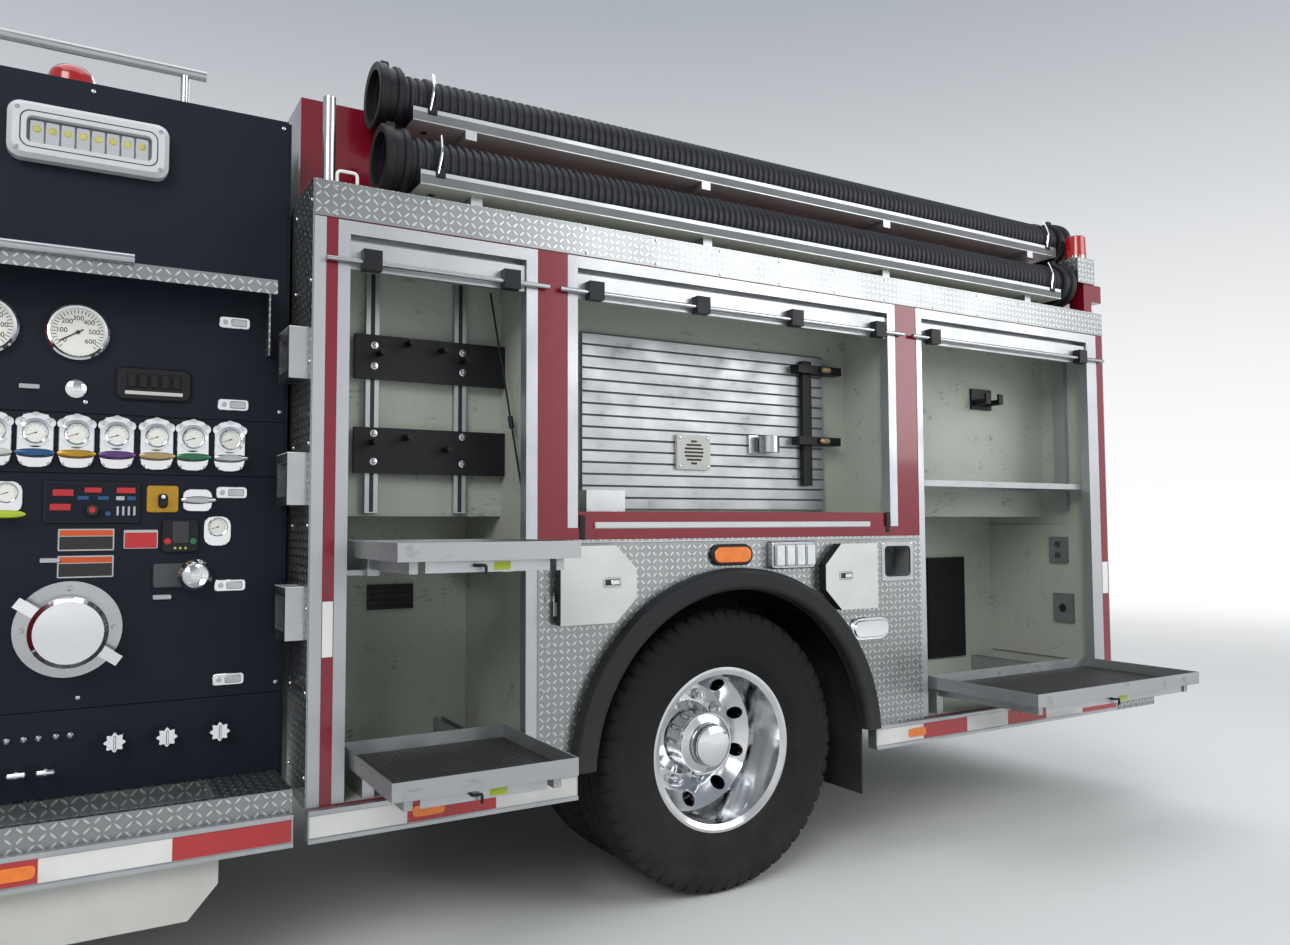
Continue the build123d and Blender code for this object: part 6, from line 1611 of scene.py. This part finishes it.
@dataclass
class LockerFittings:
    """Finishes and small parts of what is mounted inside the open lockers."""

    coats: tuple = (Coat.MILL, Coat.BLACK, Coat.BEIGE, Coat.STEEL, Coat.TRIM, Coat.LINER,
                    Coat.TRACK)
    # Where the frame's fittings aren't mill finish: x from the body, height and |y|, in pairs
    areas: tuple = (
        (0.225, 0.580, 1.370, 2.190, 0.934, 0.9574, Coat.TRACK),
        (0.180, 0.720, 1.500, 1.980, 0.9574, 1.050, Coat.BLACK),
        # Groove floors of the slatted board in dark grey: painted shade in the grooves
        (1.025, 2.205, 1.395, 2.065, 0.9448, 0.9458, Coat.TRIM),
        (2.010, 2.270, 1.490, 2.040, 0.9555, 1.050, Coat.BLACK),
        (1.430, 1.600, 1.550, 1.700, 0.9555, 1.000, Coat.BEIGE),
        (1.780, 1.920, 1.620, 1.710, 0.9555, 1.100, Coat.STEEL),
        (0.940, 1.110, 1.280, 1.470, 1.040, 1.160, Coat.STEEL),
        (2.450, 2.502, 1.390, 2.190, 1.070, 1.130, Coat.TRACK),
        (3.650, 3.690, 1.390, 2.190, 1.020, 1.090, Coat.TRACK),
        (3.140, 3.300, 1.880, 2.000, 0.930, 1.050, Coat.BLACK),
        (0.330, 0.510, 1.030, 1.130, 0.590, 0.620, Coat.BLACK),
        (3.180, 3.460, 0.640, 1.170, 0.590, 0.620, Coat.BLACK),
        (3.650, 3.6746, 0.840, 1.280, 0.970, 1.120, Coat.TRIM),
        (3.6746, 3.690, 0.660, 1.340, 0.590, 1.190, Coat.LINER),
    )
    # Trays: x from the body at both ends, how far the lip stands out, the top's height
    trays: tuple = (("rear", 2.520, 3.580, 1.760, 0.700), ("front", 0.125, 0.660, 1.650, 0.680),
                    ("upper", 0.134, 0.668, 1.650, 1.294))

    def fitting(self, x: Array, y: Array, z: Array, *_: Array) -> Array:
        """The finish of each of the frame's fittings, by the area that it stands in."""
        x, y = x - BODY_X, np.abs(y)
        inside = [(x > x0) & (x < x1) & (z > z0) & (z < z1) & (y > y0) & (y < y1)
                  for x0, x1, z0, z1, y0, y1, _ in self.areas]
        return np.select(inside, [self.coats.index(row[-1]) for row in self.areas])

    def front_locker(self) -> list[Shape]:
        """Washered bolts on both peg boards, painted shade in the strut slots, a stay, a
        louvre.
        """
        rails = (at(0.2525), at(0.5555))
        bolt = disc([(0, 0.0085), (0.0045, 0.008), (0.0065, 0.0035), (0.0120, 0.0025),
                     (0.0125, 0), (0, 0)], Coat.STEEL, (0, -0.9777, 0), 16)
        # Black strip in each strut rail's slot: painted shade
        slot = bar((-0.007, -0.95755, 1.384), (0.007, -0.95735, 2.176), Coat.INK, 0.0001)
        top, foot = np.array((at(0.640), -1.020, 2.140)), np.array((at(0.708), -1.135, 1.464))
        sleeve = [foot + share * (top - foot) for share in (0.30, 0.36)]
        blade = bar((at(0.345), -0.6185, 1.044), (at(0.499), -0.6132, 1.052), Coat.BLACK)
        return [bolt.copies([(x, 0, z) for x in rails for z in (1.862, 1.930, 1.548, 1.640)]),
                slot.along(rails), pipe([top, foot], 0.0035, Coat.BLACK, 10),
                pipe(sleeve, 0.009, Coat.BLACK), blade.copies([(0, 0, 0.022 * i)
                                                               for i in range(4)])]

    def middle_locker(self) -> list[Shape]:
        """Round vent grille with painted shade in its slots, strap loops, a red sill and bright
        bar.
        """
        x, z, pitch, radius = at(1.5165), 1.622, 0.0145, 0.046
        # x from the body, |y| and height, each at both ends, then finish and bevel
        bars = ((0.868, 2.292, 1.2398, 1.2362, 1.2905, 1.384, Coat.RED, 0.001),
                (0.928, 2.183, 1.2495, 1.2400, 1.326, 1.348, Coat.BEZEL, 0.003),
                (0.870, 0.890, 1.2500, 1.2402, 1.2905, 1.372, Coat.BLACK, 0.003),
                (2.270, 2.290, 1.2500, 1.2402, 1.3045, 1.386, Coat.BLACK, 0.003),
                (0.735, 2.440, 1.2535, 1.2495, 1.2775, 1.2845, Coat.TRACK, 0.0015),
                (2.126, 2.176, 1.030, 1.0078, 1.678, 1.700, Coat.TAN, 0.006),
                (2.136, 2.186, 1.030, 1.0078, 1.981, 2.003, Coat.TAN, 0.006))
        screw = disc([(0, 0.003), (0.005, 0.002), (0.005, 0), (0, 0)], Coat.STEEL,
                     (x, -0.9697, z), 12)
        # Black strips across the round vent's openings: painted shade
        return [*(tile((2 * math.sqrt(radius ** 2 - rise ** 2), 0.008, 0.0035), 0.0006,
                       Coat.INK, (x, -0.9696, z + rise), 0.0001)
                  for rise in pitch * np.arange(-3, 4)),
                *(bar((at(x0), -y0, z0), (at(x1), -y1, z1), coat, bevel)
                  for x0, x1, y0, y1, z0, z1, coat, bevel in bars),
                screw.cornered(0.066, 0.056)]

    def rear_locker(self) -> list[Shape]:
        """Louvre blades, and sockets on the lower panel at the rear wall."""
        blade = bar((at(3.198), -0.6195, 0.661), (at(3.449), -0.6132, 0.672), Coat.BLACK,
                    0.002)
        wall = at(3.6588)
        place = (wall, -1.0495, 0.918)
        socket = [(0.021, 0), (0.027, 0), (0.025, 0.004), (0.021, 0.004)]
        # Near-black disc in the socket's hole: painted shade
        hole = [(0, 0.0006), (0.0205, 0.0006), (0.0205, 0), (0, 0)]
        return [blade.copies([(0, 0, 0.0235 * i) for i in range(21)]),
                lathe(socket, place, FORWARD, Coat.STEEL, 24, True),
                lathe(hole, place, FORWARD, Coat.INK, 24),
                *(plate(rounded(0.034, 0.030, 0.010), (wall, -1.0285, z), FORWARD, 0.003,
                        Coat.CASTING, 0.001) for z in (1.178, 1.232))]

    def tray(self, x0: float, x1: float, reach: float, top: float) -> Shape:
        """Punched mat in a left tray, and the beam, hook and tag below its front lip.

        Args:
            x0: the tray's front end, from the body.
            x1: its rear end.
            reach: how far the lip stands out.
            top: the height of the tray's edge.

        Returns:
            The mat with what hangs under the lip.
        """
        low, middle, floor = top - 0.050, at((x0 + x1) / 2), top - 0.0458
        face, near = -reach + 0.0297, -reach + 0.012
        hook = bend([(middle - 0.045, face, low - 0.014), (middle - 0.045, near, low - 0.014),
                     (middle - 0.018, near, low - 0.014), (middle - 0.018, near, low - 0.038)],
                    0.006)
        return join([
            bar((at(x0) + 0.006, -reach + 0.006, floor),
                (at(x1) - 0.006, -reach + 0.544, floor + 0.005), Coat.MAT, 0.001),
            bar((at(x0) + 0.084, -reach + 0.030, low - 0.033),
                (at(x1) - 0.084, -reach + 0.033, low - 0.0002), Coat.TRACK, 0.0005),
            bar((middle + 0.012, -reach + 0.0289, low - 0.028),
                (middle + 0.062, face, low - 0.005), Coat.LIME, 0.0003),
            pipe(hook, 0.0045, Coat.BLACK, 10)])

    def build(self) -> None:
        """The fittings of all lockers on both sides."""
        redress("locker_fittings", "locker_boards_and_shelves", self.coats, self.fitting)
        for name, shapes in (("front", self.front_locker()), ("middle", self.middle_locker()),
                             ("rear", self.rear_locker())):
            make_piece(name + "_locker_fittings", [join(shapes).both()])
        for side, way in SIDES:
            for name, *place in self.trays:
                left = self.tray(*place)
                make_piece(f"tray_mat_{name}_{side}", [left if way < 0 else left.mirrored()],
                           f"tray_{name}_{side}")


# Wheels


@dataclass
class WheelTrim:
    """Chrome nut covers, hub caps and valve stems."""

    nuts: int = 10
    pitch_r: float = 0.1678
    nut_cover: tuple = ((0, 0.052), (0.010, 0.050), (0.0155, 0.042), (0.0200, 0.020),
                        (0.0215, 0.004), (0.0235, 0.0), (0, 0.0))
    rear_face: float = 0.935
    rear_middle: float = 0.915
    rear_hub: tuple = ((0, 0.2285), (0.050, 0.227), (0.072, 0.218), (0.080, 0.205),
                       (0.0815, 0.176), (0.0, 0.176))
    rear_ring: tuple = ((0.109, 0.150), (0.113, 0.150), (0.113, 0.170), (0.109, 0.170))
    front_face: float = 1.165
    front_cap: tuple = ((0, 0.0745), (0.060, 0.073), (0.092, 0.066), (0.105, 0.045),
                        (0.111, 0.0005), (0, 0.0005))

    def covers(self, x: float, y: float) -> Shape:
        """Ten domed covers over the nuts of a left wheel whose disc faces out at y."""
        one = disc(self.nut_cover, Coat.CHROME, (x + self.pitch_r, y, TYRE_R), 18)
        return one.spun(Y, 360 * np.arange(self.nuts) / self.nuts, (x, y, TYRE_R))

    def build(self) -> None:
        """Trim of all wheels."""
        middle, edge = (REAR_X, -self.rear_middle, TYRE_R), -0.945
        stem = bend([(REAR_X, edge, TYRE_R + 0.262), (REAR_X, edge - 0.030, TYRE_R + 0.250),
                     (REAR_X, edge - 0.085, TYRE_R + 0.215)], 0.012)
        rear = join([self.covers(REAR_X, -self.rear_face),
                     disc(self.rear_hub, Coat.CHROME, middle, 48),
                     disc(self.rear_ring, Coat.CHROME, middle, 48, True),
                     pipe(stem, 0.0035, Coat.CHROME, 8)])
        cap = disc(self.front_cap, Coat.CHROME, (FRONT_X, -self.front_face, TYRE_R), 48)
        front = join([self.covers(FRONT_X, -self.front_face), cap])
        for side, way in SIDES:
            for name, body, left in (("rear", "rear_wheels_", rear),
                                     ("front", "front_wheel_", front)):
                make_piece(f"{name}_wheel_trim_{side}", [left if way < 0 else left.mirrored()],
                           body + side)


# Cab


@dataclass
class CabTrim:
    """Padded seats with belt buckles, headlamps, door handles, rails, wipers, dash fittings."""

    # Each row of two: x from the cab's front, and 1 where it faces forward
    seats: tuple = ((0.760, 1), (2.730, 1), (1.460, -1))
    seat_y: float = CAB_HALF - 0.400
    steps: int = 44
    channel: float = 0.009

    def cushion(self, name: str, low: Point, high: Point, crown: float, up: int,
                way: int) -> None:
        """A stuffed cushion: a rounded block whose face swells, with two sewn channels.

        Args:
            name: the piece's name.
            low: its lowest corner.
            high: its highest.
            crown: how far its face swells.
            up: the axis that its face looks along.
            way: 1 or -1 along that axis.

        Faces are a grid in two directions; the height over the block is
        crown (1 - u^6)(1 - v^6), less a groove exp(-((|v| - 0.55) / 0.035)^2) of 9 mm.
        """
        low, high = np.asarray(low, float), np.asarray(high, float)
        first, second = (axis for axis in range(3) if axis != up)
        line = np.linspace(-1, 1, self.steps)
        u, v = np.meshgrid(line, line, indexing="ij")
        swell = (1 - u ** 6) * (1 - v ** 6)
        groove = np.exp(-((np.abs(v) - 0.55) / 0.035) ** 2) * (1 - u ** 8)
        half, middle = (high - low) / 2, (high + low) / 2
        draw = 1 - 0.035 * (np.abs(u) ** 8 + np.abs(v) ** 8) / 2
        front = np.zeros((self.steps, self.steps, 3))
        front[..., first] = middle[first] + half[first] * u * draw
        front[..., second] = middle[second] + half[second] * v * draw
        level = half[up] - crown + crown * swell - self.channel * groove
        front[..., up] = middle[up] + way * level
        back = front.copy()
        back[..., up] = middle[up] - way * half[up]
        ring, under = (np.concatenate([face[0, :-1], face[:-1, -1], face[-1, :0:-1],
                                       face[:0:-1, 0]]) for face in (front, back))
        belly = middle + (ring - middle) * np.where(np.arange(3) == up, 0.55, 1.018)
        belly = np.clip(belly, low, high)
        whole = welded(join([surface(front, Coat.VINYL), surface(back[::-1], Coat.VINYL),
                             surface(np.stack([ring, belly, under]), Coat.VINYL, wrap=True)]))
        edge = pipe(np.concatenate([ring, ring[:2]]), 0.0035, Coat.BLACK, 6)
        piece = make_piece(name, [whole, edge], replaces=["cab_seats"], sharp=60)

    def seat_rows(self) -> None:
        """Six seats: cushion, back and pedestal, each seat with a red belt buckle."""
        z = CAB_FLOOR
        places = [(CAB_FRONT_X + dx, side * self.seat_y, way) for dx, way in self.seats
                  for side in (-1, 1)]
        pedestals: list[Shape] = []
        for number, (x, y, way) in enumerate(places, 1):
            self.cushion(f"seat_cushion_{number}", (x + 0.004, y - 0.236, z + 0.264),
                         (x + 0.456, y + 0.236, z + 0.378), 0.030, 2, 1)
            x0, x1 = (x + 0.462, x + 0.556) if way > 0 else (x - 0.096, x - 0.002)
            self.cushion(f"seat_back_{number}", (x0, y - 0.226, z + 0.290),
                         (x1, y + 0.226, z + 0.956), 0.026, 0, -way)
            pedestals += [bar((x + 0.122, y - 0.148, z + 0.0005),
                              (x + 0.338, y + 0.148, z + 0.262), Coat.BLACK, 0.012),
                          bar((x + 0.300, y + 0.238, z + 0.330),
                              (x + 0.330, y + 0.2395, z + 0.430), Coat.REDTAPE, 0.0005)]
        make_piece("seat_pedestals", pedestals, replaces=["cab_seats"])

    def headlamps(self) -> None:
        """Reflector bowl, lens and chrome ring in each round headlamp hole."""
        bowl = [(0.020, 0.004), (0.060, 0.008), (0.080, 0.022), (0.083, 0.022),
                (0.083, 0.001), (0, 0.001), (0, 0.003)]
        lens = [(0, 0.0285), (0.040, 0.0275), (0.072, 0.0245), (0.079, 0.0225), (0, 0.0225)]
        shapes = [lathe(profile, (CAB_FRONT_X - 0.0105, y, 1.070), FORWARD, coat)
                  for y in (-0.950, -0.730)
                  for profile, coat in ((bowl, Coat.CHROME), (lens, Coat.CLEARLENS))]
        shapes.append(bar((CAB_FRONT_X - 0.012, -1.060, 1.190),
                          (CAB_FRONT_X - 0.0005, -0.620, 1.240), Coat.AMBER, 0.004))
        make_piece("headlamps", [join(shapes).both()])

    def handle(self, corners: Sequence[Point], bow: float, radius: float, coat: Coat) -> Shape:
        """A bent bar on the cab's left side.

        Args:
            corners: (x from the cab's front, how far out of its side, height) rows.
            bow: how far from a corner the curve starts.
            radius: the bar's.
            coat: its finish.

        Returns:
            The bar.
        """
        path = [(CAB_FRONT_X + x, -CAB_HALF - out, z) for x, out, z in corners]
        return pipe(bend(path, bow), radius, coat)

    def outside(self) -> None:
        """Door handles, grab rails and wipers."""
        for name, x in (("front", 1.000), ("rear", 2.770)):
            left = join([
                bar((CAB_FRONT_X + x - 0.080, -CAB_HALF - 0.004, 1.420),
                    (CAB_FRONT_X + x + 0.080, -CAB_HALF, 1.490), Coat.CHROME),
                self.handle([(x - 0.066, 0.003, 1.455), (x - 0.066, 0.030, 1.455),
                             (x + 0.066, 0.030, 1.455), (x + 0.066, 0.003, 1.455)], 0.012,
                            0.008, Coat.CHROME)])
            for side, way in SIDES:
                make_piece(f"door_handle_{name}_{side}", [left if way < 0 else left.mirrored()],
                           f"cab_door_{name}_{side}")
        rails = [self.handle([(x, -0.002, 1.200), (x, 0.010, 1.200), (x, 0.010, 1.520),
                              (x, -0.002, 1.520)], 0.006, 0.009, Coat.STEEL).both()
                 for x in (0.155, 1.945)]
        # Arm and blade of each wiper: x from the cab's front, |y| and height at both ends
        wipers = [pipe([(CAB_FRONT_X + x, side * y, z) for x, y, z in ends], radius, Coat.BLACK,
                       8)
                  for side in (-1, 1)
                  for ends, radius in ((((-0.004, 0.300, 1.585), (0.030, 0.760, 1.960)), 0.006),
                                       (((0.050, 0.700, 2.180), (0.006, 0.800, 1.680)), 0.007))]
        make_piece("cab_rails_and_wipers", rails + wipers)

    def inside(self) -> None:
        """Instrument dials, screen and switches at the driver's place."""
        x = CAB_FRONT_X + 0.3755
        case = [(0, 0), (0.034, 0), (0.036, 0.004), (0.032, 0.008), (0, 0.007)]
        face = [(0, 0.0071), (0.028, 0.0071), (0.028, 0.0080), (0, 0.0080)]
        shapes = [lathe(profile, (x, y, 1.440), X, coat, 32)
                  for profile, coat in ((case, Coat.BLACK), (face, Coat.DIAL))
                  for y in (-0.960, -0.875, -0.790, -0.705)]
        shapes.append(bar((x, -0.560, 1.380), (x + 0.006, -0.330, 1.500), Coat.INK, 0.003))
        switch = bar((x, -0.500, 1.330), (x + 0.008, -0.480, 1.360), Coat.BLACK, 0.002)
        shapes.append(switch.copies([(0, 0.034 * i, 0) for i in range(14)]))
        make_piece("dash_fittings", shapes)

    def build(self) -> None:
        """All cab trim."""
        self.seat_rows()
        self.headlamps()
        self.outside()
        self.inside()


# The room and the camera


@dataclass
class Studio:
    """A pale floor, soft lights and the camera of the photograph."""

    floor_half: float = 60.0
    fade: tuple = (6.5, 17.0)
    camera_at: tuple = (-0.087, -4.150, 1.341)
    yaw: float = 30.96
    pitch: float = 3.03
    roll: float = 0.22
    lens: float = 27.16
    # Soft lights: name, place, what it faces, its side, power in watts
    lights: tuple = (("key", (-6.0, -9.0, 8.0), (0.5, 0.0, 1.2), 6.0, 720.0),
                     ("fill", (8.0, -8.0, 5.0), (1.0, 0.0, 1.2), 6.0, 380.0),
                     ("top", (0.5, 0.0, 9.0), (0.5, 0.0, 1.0), 9.0, 330.0),
                     ("rear", (6.0, 9.0, 7.0), (0.0, 0.0, 1.2), 6.0, 380.0))

    def floor(self) -> None:
        """A large pale plane below the tyres that fades into the backdrop far away."""
        half = self.floor_half
        mesh = bpy.data.meshes.new("studio_floor")
        mesh.from_pydata([(-half, -half, 0), (half, -half, 0), (half, half, 0),
                          (-half, half, 0)], [], [(0, 1, 2, 3)])
        made = bpy.data.materials.new("pale_floor")
        tree = clear_tree(made)
        spot = add_node(tree, "TexCoord").outputs["Object"]
        away = add_node(tree, "VectorMath", {"operation": "LENGTH"}, {0: spot}).outputs[1]
        gone = add_node(tree, "MapRange", {"interpolation_type": "SMOOTHSTEP"},
                        {0: away, 1: self.fade[0], 2: self.fade[1]}).outputs[0]
        shader = add_node(tree, "BsdfPrincipled", None,
                          {"Base Color": linear("dddedd"), "Roughness": 0.8})
        clear = add_node(tree, "BsdfTransparent")
        both = add_node(tree, "MixShader", None, {0: gone, 1: shader.outputs[0],
                                                  2: clear.outputs[0]})
        add_node(tree, "OutputMaterial", None, {"Surface": both.outputs[0]})
        mesh.materials.append(made)
        floor = bpy.data.objects.new("studio_floor", mesh)
        bpy.context.scene.collection.objects.link(floor)

    def light(self, name: str, place: Point, target: Point, size: float,
              power: float) -> None:
        """A square soft light.

        Args:
            name: the light's name.
            place: where it hangs.
            target: what it faces.
            size: its side.
            power: in watts.
        """
        lamp = bpy.data.lights.new(name, "AREA")
        lamp.size, lamp.energy = size, power
        holder = bpy.data.objects.new(name, lamp)
        way = Vector(target) - Vector(place)
        holder.matrix_world = (Matrix.Translation(place)
                               @ way.to_track_quat("-Z", "Y").to_matrix().to_4x4())
        bpy.context.scene.collection.objects.link(holder)

    def world(self) -> None:
        """Even room light, seen as white by the camera and in reflections."""
        made = bpy.data.worlds.new("studio")
        bpy.context.scene.world = made
        tree = clear_tree(made)
        path = add_node(tree, "LightPath").outputs
        seen = path["Is Camera Ray"]
        for ray in ("Is Glossy Ray", "Is Transmission Ray"):
            seen = add_node(tree, "Math", {"operation": "MAXIMUM"},
                            {0: seen, 1: path[ray]}).outputs[0]
        room = add_node(tree, "Background", None, {"Color": linear("dfe6ee"), "Strength": 0.5})
        up = add_node(tree, "SeparateXYZ", None,
                      {0: add_node(tree, "TexCoord").outputs["Generated"]}).outputs[2]
        rise = add_node(tree, "MapRange", {"interpolation_type": "SMOOTHSTEP"},
                        {0: up, 1: 0.0, 2: 0.6}).outputs[0]
        shade = add_node(tree, "Mix", {"data_type": "RGBA"},
                         {0: rise, 6: (1, 1, 1, 1), 7: linear("a0a7b0")}).outputs[2]
        white = add_node(tree, "Background", None, {"Color": shade, "Strength": 1.0})
        both = add_node(tree, "MixShader", None, {0: seen, 1: room.outputs[0],
                                                  2: white.outputs[0]})
        add_node(tree, "OutputWorld", None, {"Surface": both.outputs[0]})

    def camera(self) -> None:
        """The photograph's camera, turned from +Y towards +X, tipped up and rolled."""
        lens = bpy.data.cameras.new("photo_camera")
        lens.lens, lens.sensor_width, lens.clip_end = self.lens, 36.0, 200.0
        holder = bpy.data.objects.new("photo_camera", lens)
        yaw, pitch, roll = np.radians((self.yaw, self.pitch, self.roll))
        holder.matrix_world = (Matrix.Translation(self.camera_at)
                               @ Matrix.Rotation(-yaw, 4, "Z")
                               @ Matrix.Rotation(math.pi / 2 + pitch, 4, "X")
                               @ Matrix.Rotation(-roll, 4, "Z"))
        bpy.context.scene.collection.objects.link(holder)
        bpy.context.scene.camera = holder

    def build(self) -> None:
        """Floor, lights, world and camera."""
        self.floor()
        for row in self.lights:
            self.light(*row)
        self.world()
        self.camera()
        bpy.context.scene.view_settings.view_transform = "Standard"


def main() -> None:
    """Builds the room and the truck in order."""
    logging.basicConfig(level=logging.INFO, format="%(message)s")
    for step in (Studio(), Dresser(), Tyres(), SuctionHoses(), PumpPanel(), Lamps(),
                 BodyTrim(), LockerFittings(), WheelTrim(), CabTrim()):
        log.info("building %s", type(step).__name__)
        step.build()


if __name__ == "__main__":
    main()
